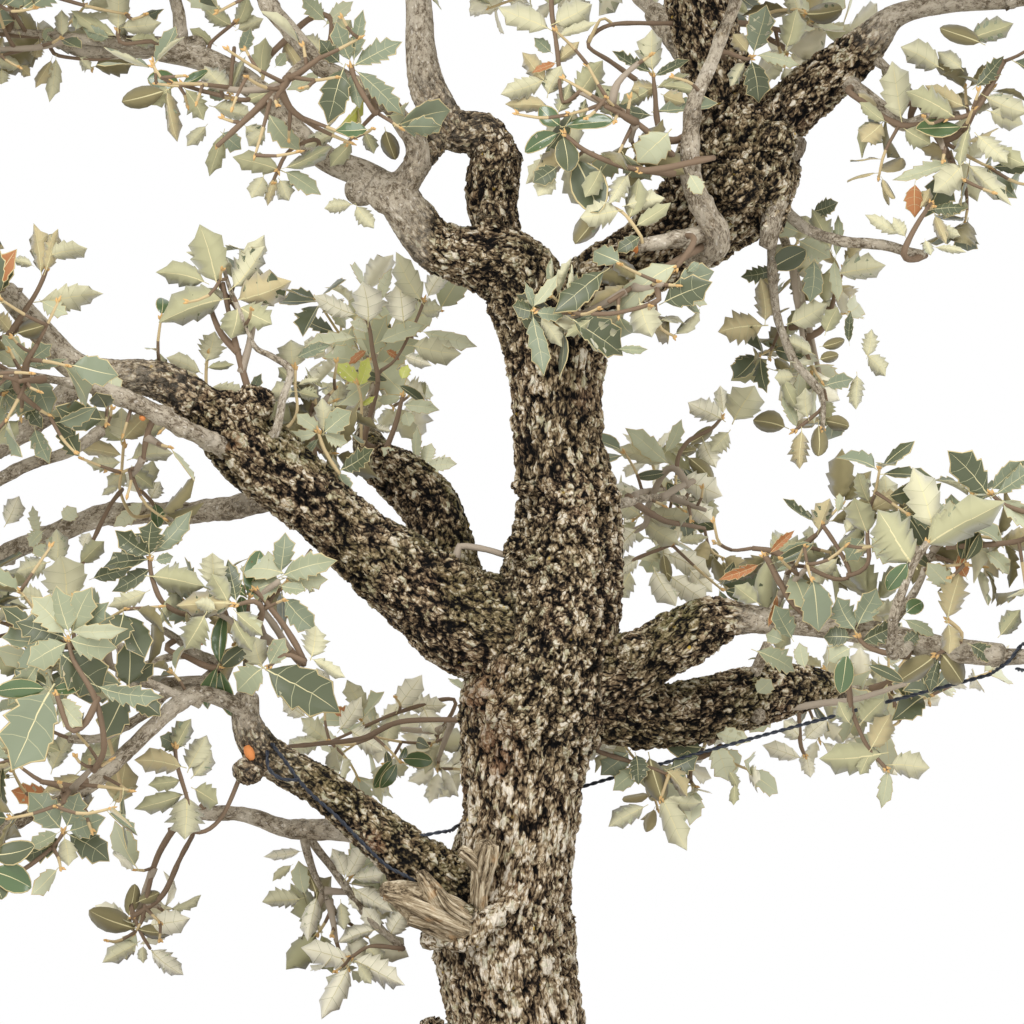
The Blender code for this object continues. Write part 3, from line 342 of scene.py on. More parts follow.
# Sprays with their own places. A leaf's row is x and z of its root and tip, its width and its look.
SPRAYS = (
    Spray(Region.LOW, ((-149, -45, 374, 2.4), (-165, -48, 373, 2.3), (-175, -52, 364, 2.2),
        (-194, -58, 353, 2.1), (-212, -62, 352, 1.9))),
    Spray(Region.LOW, ((-149, -44, 378, 3.2), (-181, -40, 379, 3.0), (-191, -40, 396, 2.4))),
    Spray(Region.LOW, ((-181, -40, 379, 2.6), (-186, -42, 371, 2.0))),
    Spray(Region.LOW, ((-143, -42, 387, 2.4), (-162, -36, 390, 2.2), (-193, -34, 380, 1.8))),
    level_spray(Region.LOW, -40, ((-152, 391, 2.4), (-162, 398, 2.0), (-170, 403, 1.7))),
    Spray(Region.LOW, ((-108, -44, 393, 1.9), (-116, -52, 407, 1.7), (-121, -58, 418, 1.5),
        (-111, -62, 427, 1.2))),
    level_spray(Region.LEFT, -2, ((-24, 443, 1.8), (-13, 441, 1.6), (-3, 438, 1.6))),
    Spray(Region.CROWN_RIGHT, ((96, -30, 596, 4.6), (82, -46, 592, 4.2), (70, -50, 590, 3.8),
        (60, -52, 588, 3.5))),
    Spray(Region.CROWN_LEFT, ((38, 0, 694, 1.0), (49, -4, 685, 1.2), (62, -8, 675, 1.4))),
    level_spray(Region.CROWN_LEFT, 0, ((44, 706, 0.7), (38, 694, 1.0))),
    Spray(Region.RIGHT, ((135, -2, 640, 5.6), (134, -12, 620, 5.8), (129, -16, 604, 5.4),
        (127, -12, 592, 4.6))),
    Spray(Region.CROWN_RIGHT, ((150, 0, 600, 2.8), (164, -20, 593, 2.8), (183, -24, 591, 2.7),
        (202, -26, 586, 2.4))),
    Spray(Region.CROWN_RIGHT, ((166, -14, 674, 3.8), (169, -20, 669, 3.6), (181, -24, 659, 3.4),
        (192, -28, 650, 3.3), (203, -30, 653, 2.8), (218, -32, 654, 2.2))),
    Spray(Region.LOW, ((-20, 14, 355, 1.4), (-56, 30, 353, 1.4), (-77, 36, 344, 1.3), (-99, 40, 341, 1.2),
        (-119, 44, 339, 1.0))),
    Spray(Region.RIGHT, ((122, 36, 360, 3.2), (125, 36, 376, 3.0), (131, 40, 392, 2.6))),
    Spray(Region.RIGHT, ((100, 30, 354, 2.0), (131, 40, 358, 2.0), (155, 50, 360, 1.8),
        (181, 58, 363, 1.6), (206, 66, 370, 1.2))),
    Spray(Region.CROWN_LEFT, ((-166, 4, 690, 3.6), (-166, 2, 705, 3.4), (-170, 2, 722, 3.0))),
    Spray(Region.CROWN_LEFT, ((-160, 6, 692, 5.4), (-178, 6, 693, 5.2), (-215, 8, 692, 4.6),
        (-232, 8, 700, 3.6))),
    Spray(Region.LEFT, ((-262, -40, 470, 3.2), (-250, -42, 475, 3.2), (-232, -44, 484, 3.0),
        (-214, -40, 490, 2.8), (-200, -34, 500, 2.8))),
    level_spray(Region.LEFT, -36, ((-115, 500, 2.2), (-112, 515, 1.9), (-108, 529, 1.7), (-117, 536, 1.5),
        (-125, 540, 1.2), (-130, 551, 1.2), (-135, 563, 1.2), (-139, 574, 1.0), (-141, 581, 1.2)),
        ((-143, 572, -151, 598, 17, U), (-150, 572, -171, 579, 12, U), (-141, 563, -171, 558, 17, U),
        (-136, 570, -120, 588, 13, U), (-133, 563, -109, 573, 17, U), (-134, 559, -136, 545, 14, U),
        (-132, 560, -118, 551, 14, U))),
    level_spray(Region.LEFT, -30, ((-134, 558, 1.0), (-144, 572, 1.0))),
    level_spray(Region.LEFT, -8, ((-152, 518, 0.8), (-152, 530, 0.8), (-151, 540, 0.8)),
        ((-152, 535, -148, 549, 12, U), (-155, 530, -170, 537, 9, U), (-151, 531, -139, 534, 4, U),
        (-155, 526, -168, 526, 7, U), (-150, 522, -134, 519, 7, U), (-174, 527, -174, 538, 6, U),
        (-131, 518, -124, 528, 5, T), (-154, 519, -163, 514, 6, U))),
    level_spray(Region.LEFT, -46, ((-244, 546, 1.5), (-231, 564, 1.0), (-226, 575, 1.0),
        (-225, 578, 0.8)), ((-227, 576, -232, 598, 11, U), (-226, 577, -219, 596, 7, U),
        (-223, 583, -202, 591, 10, U), (-232, 579, -241, 582, 5, U), (-228, 563, -200, 567, 13, U),
        (-227, 562, -216, 555, 8, T), (-239, 546, -226, 551, 10, V), (-242, 548, -250, 555, 10, U),
        (-240, 544, -244, 530, 10, T))),
    level_spray(Region.LEFT, -74, ((-248, 523, 1.2), (-231, 528, 0.9)), ((-231, 529, -218, 539, 9, T),
        (-231, 529, -241, 544, 10, T), (-229, 527, -220, 506, 12, T), (-232, 525, -246, 517, 10, T),
        (-233, 529, -245, 537, 8, T), (-229, 529, -212, 533, 4, T))),
    level_spray(Region.LEFT, -78, ((-247, 514, 1.2), (-240, 516, 0.9)), ((-239, 517, -224, 506, 13, T),
        (-240, 515, -243, 498, 11, T), (-238, 518, -227, 519, 9, T), (-240, 517, -250, 522, 9, T),
        (-225, 499, -219, 484, 8, T), (-228, 511, -223, 500, 7, T))),
    level_spray(Region.LEFT, 8, ((-197, 470, 0.8), (-196, 481, 0.8), (-195, 494, 0.8)),
        ((-196, 496, -208, 511, 12, U), (-196, 496, -196, 512, 12, U), (-195, 497, -182, 509, 11, U),
        (-197, 489, -219, 492, 9, U), (-191, 487, -170, 493, 12, U), (-187, 500, -174, 504, 8, U),
        (-195, 480, -203, 473, 9, U), (-192, 481, -181, 472, 9, U), (-197, 485, -212, 485, 7, U))),
    level_spray(Region.LEFT, 62, ((-77, 498, 1.6), (-73, 513, 1.3), (-70, 529, 1.3), (-72, 542, 1.3),
        (-74, 555, 1.0), (-76, 561, 1.0)), ((-82, 564, -103, 572, 9, U), (-75, 559, -77, 579, 16, U),
        (-56, 559, -60, 580, 15, U), (-69, 570, -63, 586, 6, T), (-82, 550, -109, 551, 7, T),
        (-69, 549, -47, 557, 9, T), (-92, 517, -89, 529, 11, U), (-76, 544, -85, 538, 4, R),
        (-87, 531, -65, 531, 6, O), (-73, 555, -84, 559, 8, T))),
    level_spray(Region.LEFT, 66, ((-69, 534, 1.0), (-61, 540, 0.8), (-52, 556, 0.8), (-46, 571, 1.0)),
        ((-48, 571, -59, 595, 13, U), (-44, 573, -35, 586, 10, U), (-48, 565, -37, 566, 12, U),
        (-46, 555, -19, 546, 8, T), (-52, 546, -28, 544, 13, U), (-56, 542, -43, 537, 7, U),
        (-66, 544, -58, 541, 4, R), (-59, 526, -43, 518, 6, O))),
    level_spray(Region.LEFT, 60, ((-66, 492, 1.6), (-60, 508, 1.3), (-57, 521, 1.0)),
        ((-56, 516, -39, 513, 7, T), (-56, 512, -53, 505, 8, T), (-58, 520, -71, 518, 5, T),
        (-73, 504, -63, 502, 4, U), (-51, 486, -49, 503, 5, T), (-45, 485, -42, 495, 8, T),
        (-45, 484, -29, 484, 8, T), (-57, 486, -67, 493, 7, T))),
    level_spray(Region.LEFT, 50, ((-78, 497, 0.8), (-78, 518, 0.8), (-80, 527, 0.8)),
        ((-80, 526, -91, 538, 8, Y), (-79, 526, -72, 539, 8, Y), (-57, 529, -54, 536, 6, Y),
        (-78, 515, -71, 520, 3, Y))),
    level_spray(Region.LEFT, -6, ((-107, 511, 0.8), (-108, 523, 0.8), (-108, 532, 0.8)),
        ((-109, 532, -110, 546, 14, U), (-107, 537, -91, 543, 6, T), (-108, 525, -116, 531, 7, U),
        (-106, 523, -97, 527, 3, U), (-109, 520, -120, 520, 11, U), (-106, 520, -97, 516, 9, U))),
    level_spray(Region.LEFT, -12, ((-85, 478, 1.0), (-93, 491, 1.0), (-96, 500, 0.8)),
        ((-96, 500, -105, 510, 8, T), (-97, 499, -113, 497, 6, T), (-94, 500, -94, 516, 9, U),
        (-93, 500, -80, 510, 11, T), (-93, 498, -82, 495, 7, T), (-96, 496, -105, 485, 4, T),
        (-85, 481, -67, 490, 9, T), (-88, 483, -100, 475, 7, T), (-86, 479, -80, 470, 8, T))),
    level_spray(Region.LEFT, -62, ((-167, 417, 1.2), (-172, 428, 1.2), (-173, 438, 1.0)),
        ((-173, 440, -172, 455, 13, T), (-173, 440, -188, 451, 10, T), (-171, 441, -154, 459, 9, T),
        (-174, 438, -199, 437, 10, T), (-172, 429, -147, 425, 13, U), (-173, 432, -191, 423, 8, T),
        (-170, 437, -162, 439, 5, T), (-175, 422, -191, 415, 7, U))),
    level_spray(Region.LEFT, -76, ((-122, 418, 1.2), (-131, 416, 0.9)), ((-142, 425, -140, 442, 12, U),
        (-132, 416, -157, 416, 12, U), (-135, 417, -141, 431, 10, U), (-131, 418, -135, 437, 8, T),
        (-145, 411, -155, 396, 12, U), (-140, 414, -149, 418, 7, U), (-130, 413, -118, 402, 9, U),
        (-131, 409, -124, 394, 9, U))),
    level_spray(Region.LOW, -48, ((-166, 393, 1.4), (-158, 391, 1.4), (-148, 386, 1.7), (-141, 385, 1.4)),
        ((-141, 387, -140, 412, 8, O), (-140, 385, -127, 396, 9, O), (-143, 385, -149, 365, 9, O),
        (-140, 383, -137, 361, 9, O), (-128, 408, -131, 419, 7, O), (-155, 396, -148, 398, 4, R))),
    level_spray(Region.LEFT, -60, ((-100, 389, 1.7), (-106, 401, 1.4), (-116, 415, 1.4),
        (-123, 423, 1.2)), ((-110, 430, -130, 436, 15, T), (-111, 428, -127, 422, 11, T),
        (-110, 432, -110, 449, 10, T), (-109, 430, -86, 437, 11, T), (-108, 428, -89, 428, 9, T),
        (-110, 425, -99, 422, 7, T), (-109, 418, -94, 404, 11, T))),
    level_spray(Region.LOW, -64, ((-100, 389, 1.4), (-108, 392, 1.2), (-116, 386, 1.0)),
        ((-116, 386, -84, 364, 20, T), (-119, 385, -131, 375, 14, T), (-119, 387, -125, 399, 13, U),
        (-96, 391, -92, 405, 12, U), (-95, 389, -78, 383, 6, U), (-116, 388, -108, 399, 9, T))),
    level_spray(Region.LEFT, -150, ((-186, 376, 1.3), (-196, 394, 1.1), (-198, 403, 0.9)),
        ((-200, 406, -214, 421, 12, T), (-198, 407, -202, 426, 11, T), (-197, 407, -187, 425, 12, T),
        (-196, 406, -173, 408, 4, T), (-197, 403, -177, 399, 11, T), (-200, 403, -221, 411, 12, T),
        (-199, 401, -215, 392, 12, T), (-196, 407, -179, 418, 9, T))),
    level_spray(Region.LOW, -152, ((-197, 363, 1.3), (-203, 379, 1.1)), ((-201, 398, -182, 378, 19, T),
        (-184, 383, -156, 376, 8, T), (-205, 379, -222, 348, 23, T), (-208, 381, -230, 380, 9, O),
        (-208, 382, -222, 390, 9, O), (-205, 381, -193, 381, 6, O), (-212, 392, -225, 374, 9, T),
        (-203, 376, -191, 366, 11, T))),
    level_spray(Region.LEFT, -20, ((-211, 436, 1.0), (-218, 417, 0.8)), ((-218, 416, -221, 438, 21, U),
        (-223, 435, -225, 451, 11, U), (-229, 435, -243, 430, 10, U), (-213, 435, -200, 446, 9, U),
        (-228, 438, -236, 444, 8, T), (-206, 427, -188, 433, 8, T), (-231, 417, -243, 422, 9, U))),
    level_spray(Region.LEFT, 30, ((-185, 466, 1.0), (-190, 471, 0.8)), ((-191, 470, -195, 483, 11, U),
        (-185, 467, -180, 475, 8, U), (-201, 473, -210, 468, 4, U), (-189, 465, -203, 453, 8, T),
        (-183, 464, -180, 452, 8, O), (-188, 472, -184, 486, 9, U), (-259, 454, -252, 467, 10, U),
        (-243, 448, -245, 463, 5, T), (-239, 450, -248, 443, 7, T), (-229, 456, -223, 462, 8, T),
        (-219, 442, -216, 449, 8, U))),
    level_spray(Region.LOW, -120, ((-225, 296, 1.1), (-210, 307, 0.9), (-205, 314, 0.9)),
        ((-206, 316, -221, 331, 13, T), (-204, 317, -197, 331, 11, T), (-202, 315, -186, 320, 11, T),
        (-202, 313, -184, 301, 12, T), (-204, 311, -202, 299, 9, U), (-207, 311, -224, 300, 9, T),
        (-208, 313, -220, 307, 7, T))),
    level_spray(Region.LOW, -156, ((-238, 304, 1.3), (-231, 305, 1.1)), ((-231, 307, -211, 311, 12, O),
        (-231, 300, -214, 293, 13, O), (-231, 304, -227, 288, 12, O))),
    level_spray(Region.LOW, -60, ((-153, 307, 1.0), (-155, 322, 1.0), (-160, 339, 1.0), (-161, 348, 0.8)),
        ((-158, 339, -179, 343, 13, U), (-154, 337, -148, 353, 11, U), (-158, 348, -168, 352, 11, T),
        (-159, 332, -173, 329, 7, U), (-158, 325, -179, 318, 10, U), (-156, 324, -156, 305, 16, U),
        (-152, 327, -138, 322, 11, U), (-153, 334, -144, 345, 10, U), (-162, 347, -154, 360, 10, U))),
    level_spray(Region.LOW, -30, ((-194, 319, 0.8), (-202, 334, 0.8)), ((-211, 333, -194, 350, 12, U),
        (-224, 334, -217, 352, 10, U), (-211, 331, -228, 324, 8, U), (-194, 318, -189, 337, 14, U),
        (-195, 318, -186, 328, 4, U), (-226, 321, -244, 324, 10, R), (-206, 341, -192, 343, 10, U),
        (-221, 343, -234, 347, 9, U), (-217, 319, -229, 315, 9, U))),
    level_spray(Region.LOW, 42, ((-164, 295, 1.3), (-171, 281, 1.3), (-181, 262, 1.5), (-195, 252, 1.5)),
        ((-195, 245, -217, 257, 13, V), (-197, 252, -195, 268, 8, V), (-192, 259, -182, 265, 7, V),
        (-192, 246, -176, 242, 9, V), (-186, 247, -167, 251, 12, U), (-194, 238, -210, 228, 10, U),
        (-186, 234, -171, 221, 10, U), (-190, 236, -190, 228, 5, U))),
    level_spray(Region.LOW, 42, ((-196, 258, 1.0), (-192, 246, 1.0), (-186, 235, 0.8))),
    level_spray(Region.LOW, 26, ((-105, 296, 2.3), (-88, 273, 2.0), (-72, 252, 2.0), (-57, 238, 1.8)),
        ((-108, 264, -126, 262, 12, U), (-105, 266, -109, 281, 9, T), (-100, 266, -103, 278, 11, V),
        (-100, 264, -102, 244, 9, U), (-87, 261, -85, 248, 8, U), (-113, 280, -122, 273, 5, U),
        (-108, 287, -126, 285, 5, U), (-85, 275, -91, 288, 8, U), (-84, 274, -76, 291, 9, U),
        (-81, 273, -64, 278, 9, U), (-80, 267, -60, 259, 9, U), (-81, 269, -77, 258, 7, U),
        (-67, 247, -75, 259, 9, U), (-70, 247, -88, 243, 9, U), (-62, 244, -54, 257, 11, U))),
    level_spray(Region.LOW, 20, ((-57, 239, 1.3), (-72, 240, 1.0), (-82, 234, 1.0)),
        ((-82, 233, -106, 237, 13, U), (-84, 229, -95, 205, 11, U), (-80, 232, -54, 224, 14, U),
        (-78, 230, -71, 222, 6, U), (-74, 240, -65, 232, 9, U))),
    level_spray(Region.LOW, 170, ((-34, 355, 1.1), (-63, 348, 1.1), (-102, 331, 0.8)),
        ((-102, 331, -120, 342, 12, U), (-96, 338, -85, 356, 10, U), (-91, 337, -71, 328, 12, U),
        (-84, 348, -91, 366, 11, U), (-63, 349, -52, 368, 12, U), (-59, 350, -38, 355, 11, U),
        (-65, 348, -71, 330, 12, U), (-109, 333, -127, 323, 11, U), (-78, 343, -78, 323, 11, U),
        (-49, 350, -43, 336, 12, U), (-116, 346, -129, 355, 10, U))),
    level_spray(Region.CROWN_RIGHT, -54, ((71, 623, 1.4), (54, 626, 1.4), (35, 634, 1.2), (25, 642, 1.2)),
        ((23, 646, 13, 655, 12, O), (26, 645, 48, 648, 9, O), (22, 642, 6, 634, 9, O),
        (25, 640, 26, 622, 12, O), (31, 629, 42, 603, 18, O), (21, 626, 11, 618, 9, T),
        (19, 623, 13, 612, 10, U))),
    level_spray(Region.CROWN_RIGHT, -40, ((24, 660, 1.0), (22, 680, 1.0), (20, 699, 1.2), (19, 711, 1.2)),
        ((17, 694, -5, 705, 12, U), (19, 706, 21, 723, 13, U), (21, 697, 38, 706, 14, U),
        (23, 691, 40, 697, 5, U), (19, 684, 11, 690, 7, T), (21, 679, 32, 688, 7, U),
        (15, 670, -6, 664, 10, U), (16, 670, 6, 683, 9, U), (18, 663, 23, 676, 10, U),
        (31, 663, 43, 679, 12, U), (17, 657, -2, 659, 8, U), (23, 654, 28, 668, 8, U),
        (33, 651, 36, 660, 4, U), (49, 653, 43, 668, 13, U), (21, 678, 10, 674, 4, R))),
    level_spray(Region.CROWN_RIGHT, -30, ((72, 647, 1.5), (70, 662, 1.2), (69, 674, 0.8)),
        ((69, 676, 68, 694, 13, U), (70, 674, 86, 680, 4, T), (68, 675, 48, 683, 5, T),
        (70, 669, 59, 666, 11, U), (71, 668, 87, 674, 4, U), (73, 668, 93, 666, 4, U),
        (68, 655, 43, 656, 6, T), (72, 655, 99, 660, 5, T), (67, 666, 53, 660, 8, U),
        (74, 664, 84, 660, 9, U))),
    level_spray(Region.CROWN_RIGHT, -60, ((95, 629, 1.4), (71, 624, 1.7), (61, 623, 1.4)),
        ((74, 642, 61, 627, 15, T), (85, 621, 91, 613, 8, T), (56, 621, 47, 608, 8, U),
        (42, 624, 35, 611, 9, U))),
    level_spray(Region.CROWN_RIGHT, -56, ((62, 592, 0.8), (54, 603, 0.8), (47, 607, 0.8)),
        ((42, 606, 31, 589, 11, V), (51, 604, 33, 602, 12, U), (55, 607, 72, 611, 9, U),
        (60, 597, 75, 608, 7, U), (61, 592, 50, 586, 7, T), (57, 601, 61, 619, 10, U))),
    level_spray(Region.CROWN_RIGHT, -62, ((86, 587, 1.4), (78, 576, 1.0)), ((79, 577, 48, 560, 14, T),
        (73, 560, 94, 569, 13, T), (84, 575, 90, 579, 4, T))),
    level_spray(Region.CROWN_RIGHT, -66, ((68, 560, 1.2), (49, 555, 1.0), (29, 555, 1.2)),
        ((44, 574, 20, 558, 13, T), (29, 552, 56, 537, 16, T), (61, 560, 66, 544, 14, U),
        (51, 537, 64, 538, 4, T), (37, 552, 26, 544, 5, U))),
    level_spray(Region.CROWN_RIGHT, -64, ((29, 555, 1.0), (11, 556, 1.0)), ((10, 556, 0, 557, 10, T),
        (10, 557, 8, 569, 4, T), (11, 558, 21, 573, 6, T), (12, 555, 24, 555, 8, T),
        (11, 553, 14, 526, 9, T), (14, 553, 23, 539, 7, U))),
    level_spray(Region.CROWN_RIGHT, -22, ((106, 686, 1.2), (115, 683, 1.0), (118, 684, 1.0)),
        ((120, 687, 125, 708, 13, T), (121, 684, 141, 682, 6, T), (118, 682, 122, 663, 12, T),
        (116, 687, 109, 695, 8, U), (135, 689, 140, 706, 12, U), (115, 681, 107, 671, 7, U))),
    level_spray(Region.CROWN_RIGHT, 14, ((143, 714, 0.8), (148, 712, 0.8)), ((148, 712, 167, 712, 11, V),
        (145, 711, 138, 726, 10, U))),
    level_spray(Region.CROWN_RIGHT, -34, ((167, 663, 1.5), (189, 649, 1.5), (211, 652, 1.2)),
        ((190, 652, 182, 679, 14, U), (182, 651, 169, 659, 6, U), (180, 650, 170, 639, 11, U),
        (192, 647, 204, 638, 10, U))),
    level_spray(Region.CROWN_RIGHT, -40, ((239, 679, 1.2), (225, 655, 1.2), (210, 651, 1.2)),
        ((208, 677, 191, 687, 13, U), (218, 675, 208, 685, 8, U), (227, 687, 208, 695, 9, V),
        (218, 647, 195, 643, 12, O), (215, 652, 190, 662, 11, U), (219, 657, 203, 668, 9, U),
        (225, 667, 238, 681, 7, T), (230, 662, 250, 652, 11, U), (232, 654, 248, 647, 11, U),
        (227, 643, 238, 628, 10, U), (232, 636, 248, 628, 9, U), (221, 646, 218, 628, 6, U),
        (218, 628, 205, 616, 13, U), (222, 628, 243, 612, 9, U), (213, 628, 187, 623, 6, T),
        (196, 619, 196, 604, 9, R), (223, 689, 241, 696, 11, U))),
    level_spray(Region.CROWN_RIGHT, -38, ((191, 587, 1.5), (198, 601, 1.2), (204, 610, 1.0)),
        ((203, 607, 220, 608, 6, T), (189, 596, 172, 603, 6, U), (191, 594, 186, 603, 6, U),
        (206, 604, 211, 591, 6, U), (208, 599, 217, 594, 6, U), (201, 592, 203, 585, 5, U),
        (206, 589, 220, 586, 4, U), (199, 608, 203, 617, 6, U))),
    level_spray(Region.RIGHT, 18, ((132, 598, 2.3), (132, 572, 2.3), (136, 555, 2.0), (143, 537, 2.0),
        (153, 524, 2.3), (157, 517, 1.3), (157, 502, 1.3)), ((145, 602, 130, 606, 11, T),
        (146, 598, 160, 588, 13, T), (132, 583, 148, 593, 13, O), (133, 583, 116, 580, 7, T),
        (153, 612, 164, 616, 9, T), (164, 590, 165, 610, 5, T), (161, 593, 152, 612, 9, U),
        (166, 580, 187, 586, 14, U), (164, 587, 164, 567, 6, T), (153, 587, 151, 567, 10, T),
        (128, 557, 128, 577, 11, U), (127, 555, 106, 552, 14, U), (141, 556, 159, 565, 12, U),
        (159, 551, 164, 564, 9, U), (152, 541, 138, 548, 9, U), (156, 537, 165, 540, 7, V),
        (157, 544, 169, 547, 6, V), (171, 546, 171, 561, 4, T), (180, 539, 182, 552, 7, U),
        (180, 539, 189, 529, 9, U), (174, 529, 175, 513, 8, U), (159, 524, 172, 527, 8, T),
        (143, 529, 132, 528, 8, U), (137, 527, 144, 513, 7, U))),
    level_spray(Region.RIGHT, 20, ((156, 511, 1.0), (146, 503, 1.0), (143, 501, 0.8)),
        ((146, 501, 146, 483, 9, U), (156, 504, 155, 486, 9, V), (159, 506, 171, 504, 9, V),
        (144, 503, 138, 518, 6, T), (150, 508, 147, 523, 9, U))),
    level_spray(Region.RIGHT, 130, ((85, 483, 1.9), (78, 472, 1.9), (74, 461, 1.9), (73, 453, 1.9),
        (59, 446, 1.9)), ((85, 488, 63, 504, 11, T), (84, 487, 56, 493, 8, U), (84, 493, 93, 510, 7, T),
        (97, 498, 110, 505, 8, V), (90, 493, 101, 493, 7, V), (97, 490, 110, 476, 9, V),
        (84, 482, 68, 479, 6, O), (92, 477, 114, 471, 15, U), (97, 465, 109, 455, 12, U),
        (73, 458, 97, 461, 12, U), (73, 456, 91, 441, 12, U), (70, 458, 54, 468, 14, U),
        (68, 450, 54, 438, 13, U), (75, 467, 54, 474, 8, U), (94, 483, 99, 476, 7, O))),
    level_spray(Region.RIGHT, 140, ((59, 429, 1.4), (70, 435, 1.1), (88, 442, 0.8)),
        ((92, 444, 107, 447, 6, U), (86, 436, 110, 427, 13, U), (84, 437, 85, 421, 7, V),
        (88, 425, 107, 410, 13, U), (79, 428, 88, 408, 14, U), (65, 427, 56, 413, 13, U),
        (70, 434, 57, 427, 9, U), (98, 428, 110, 416, 11, U))),
    level_spray(Region.RIGHT, 130, ((97, 499, 1.1), (109, 505, 1.1), (115, 512, 0.8)),
        ((122, 510, 131, 528, 19, U), (114, 510, 98, 522, 12, U), (115, 514, 113, 530, 7, U),
        (149, 506, 132, 511, 13, V), (118, 504, 109, 493, 10, U), (105, 499, 111, 485, 10, U))),
    level_spray(Region.RIGHT, -44, ((158, 400, 1.7), (139, 413, 1.7), (130, 425, 1.5), (125, 434, 1.5),
        (122, 439, 1.5)), ((125, 440, 136, 450, 4, R), (127, 436, 145, 444, 6, O),
        (119, 435, 101, 427, 4, R), (128, 420, 125, 405, 4, R), (128, 432, 135, 434, 2, T),
        (135, 399, 127, 414, 11, T), (131, 398, 123, 401, 9, T), (119, 416, 108, 425, 10, U),
        (119, 393, 140, 384, 10, T), (142, 385, 139, 396, 7, T))),
    level_spray(Region.RIGHT, -50, ((163, 430, 1.0), (158, 442, 1.0), (149, 455, 1.0)),
        ((148, 451, 153, 465, 10, U), (146, 456, 129, 464, 4, T), (157, 460, 159, 470, 4, T),
        (161, 450, 169, 463, 8, U), (145, 444, 130, 442, 4, T), (161, 437, 172, 444, 6, U),
        (157, 437, 145, 426, 8, U))),
    level_spray(Region.RIGHT, -52, ((172, 437, 1.0), (171, 449, 1.0), (172, 461, 0.8)),
        ((171, 450, 165, 468, 13, U), (172, 465, 164, 480, 7, U), (180, 463, 180, 477, 12, U),
        (173, 461, 186, 469, 9, U), (177, 460, 191, 455, 6, T), (173, 447, 185, 437, 10, T),
        (169, 447, 161, 437, 10, T))),
    level_spray(Region.RIGHT, -112, ((175, 409, 2.3), (180, 424, 2.1), (184, 436, 1.8), (191, 446, 1.6)),
        ((185, 437, 168, 459, 17, U), (194, 453, 185, 479, 15, U), (191, 444, 223, 464, 19, U),
        (181, 437, 172, 423, 9, O), (192, 449, 201, 462, 7, U))),
    level_spray(Region.RIGHT, -100, ((245, 456, 1.2), (229, 463, 1.2), (222, 469, 0.9)),
        ((221, 469, 202, 487, 14, T), (223, 471, 237, 484, 10, T), (225, 469, 246, 480, 9, T),
        (228, 466, 244, 451, 11, T), (220, 467, 211, 460, 6, T))),
    level_spray(Region.RIGHT, -64, ((188, 391, 1.4), (171, 395, 1.2), (165, 401, 1.0)),
        ((163, 404, 155, 418, 12, T), (166, 406, 174, 423, 11, T), (161, 400, 149, 401, 10, T),
        (167, 398, 188, 406, 9, T), (161, 395, 151, 389, 10, T), (160, 392, 156, 374, 10, O),
        (187, 397, 194, 402, 7, T), (188, 412, 196, 418, 9, O), (188, 409, 202, 401, 6, T))),
    level_spray(Region.RIGHT, -70, ((213, 399, 1.2), (201, 392, 0.9)), ((200, 392, 185, 379, 13, V),
        (204, 392, 216, 379, 13, V), (169, 387, 185, 380, 6, O), (202, 390, 199, 375, 6, T))),
    level_spray(Region.RIGHT, -74, ((212, 404, 0.9), (206, 409, 0.9)), ((206, 410, 213, 431, 12, U),
        (206, 407, 207, 392, 9, U), (207, 424, 197, 435, 10, T), (231, 402, 240, 413, 9, U),
        (224, 441, 237, 431, 8, T), (215, 429, 210, 439, 8, R), (217, 397, 228, 390, 8, T))),
    level_spray(Region.RIGHT, -40, ((164, 374, 1.5), (165, 363, 1.2), (172, 347, 1.0), (182, 335, 1.0)),
        ((179, 342, 150, 342, 15, U), (174, 346, 183, 361, 11, U), (183, 334, 179, 317, 7, T),
        (184, 337, 201, 336, 13, U), (164, 358, 158, 367, 12, U), (170, 358, 179, 370, 13, U),
        (173, 341, 169, 333, 7, U))),
    level_spray(Region.RIGHT, 136, ((158, 335, 1.1), (161, 326, 0.8)), ((158, 326, 139, 332, 10, U),
        (162, 326, 164, 315, 7, U), (159, 336, 149, 345, 10, U), (161, 336, 172, 346, 10, U))),
    level_spray(Region.RIGHT, 24, ((102, 342, 1.0), (101, 352, 1.0)), ((100, 351, 85, 362, 9, T),
        (102, 353, 110, 364, 10, T), (103, 349, 120, 343, 9, T), (103, 341, 110, 323, 12, T),
        (96, 341, 77, 342, 14, O), (125, 368, 131, 375, 10, T))),
    level_spray(Region.RIGHT, 14, ((44, 339, 1.3), (70, 331, 1.0), (79, 327, 0.8)),
        ((58, 339, 46, 327, 12, T), (65, 330, 50, 320, 9, T), (70, 336, 75, 314, 12, V),
        (78, 329, 91, 319, 11, U), (80, 331, 94, 335, 11, T), (62, 337, 65, 324, 10, T),
        (112, 322, 113, 312, 5, U), (110, 329, 114, 320, 5, U))),
    level_spray(Region.RIGHT, 12, ((79, 327, 0.8), (75, 315, 0.8)), ((75, 316, 89, 292, 13, U),
        (66, 312, 49, 302, 10, U), (77, 315, 95, 312, 8, U))),
    level_spray(Region.CROWN_LEFT, -14, ((-135, 664, 1.2), (-152, 668, 1.0), (-164, 672, 1.0)),
        ((-165, 673, -181, 675, 13, O), (-163, 672, -149, 676, 7, O), (-172, 668, -192, 663, 11, V),
        (-171, 668, -164, 645, 7, U), (-161, 669, -152, 655, 10, U), (-152, 651, -160, 641, 7, U),
        (-169, 670, -179, 661, 9, U))),
    level_spray(Region.CROWN_LEFT, -10, ((-138, 689, 1.0), (-140, 668, 1.0)),
        ((-141, 668, -152, 682, 11, U), (-141, 668, -132, 685, 5, U), (-142, 666, -151, 669, 6, T),
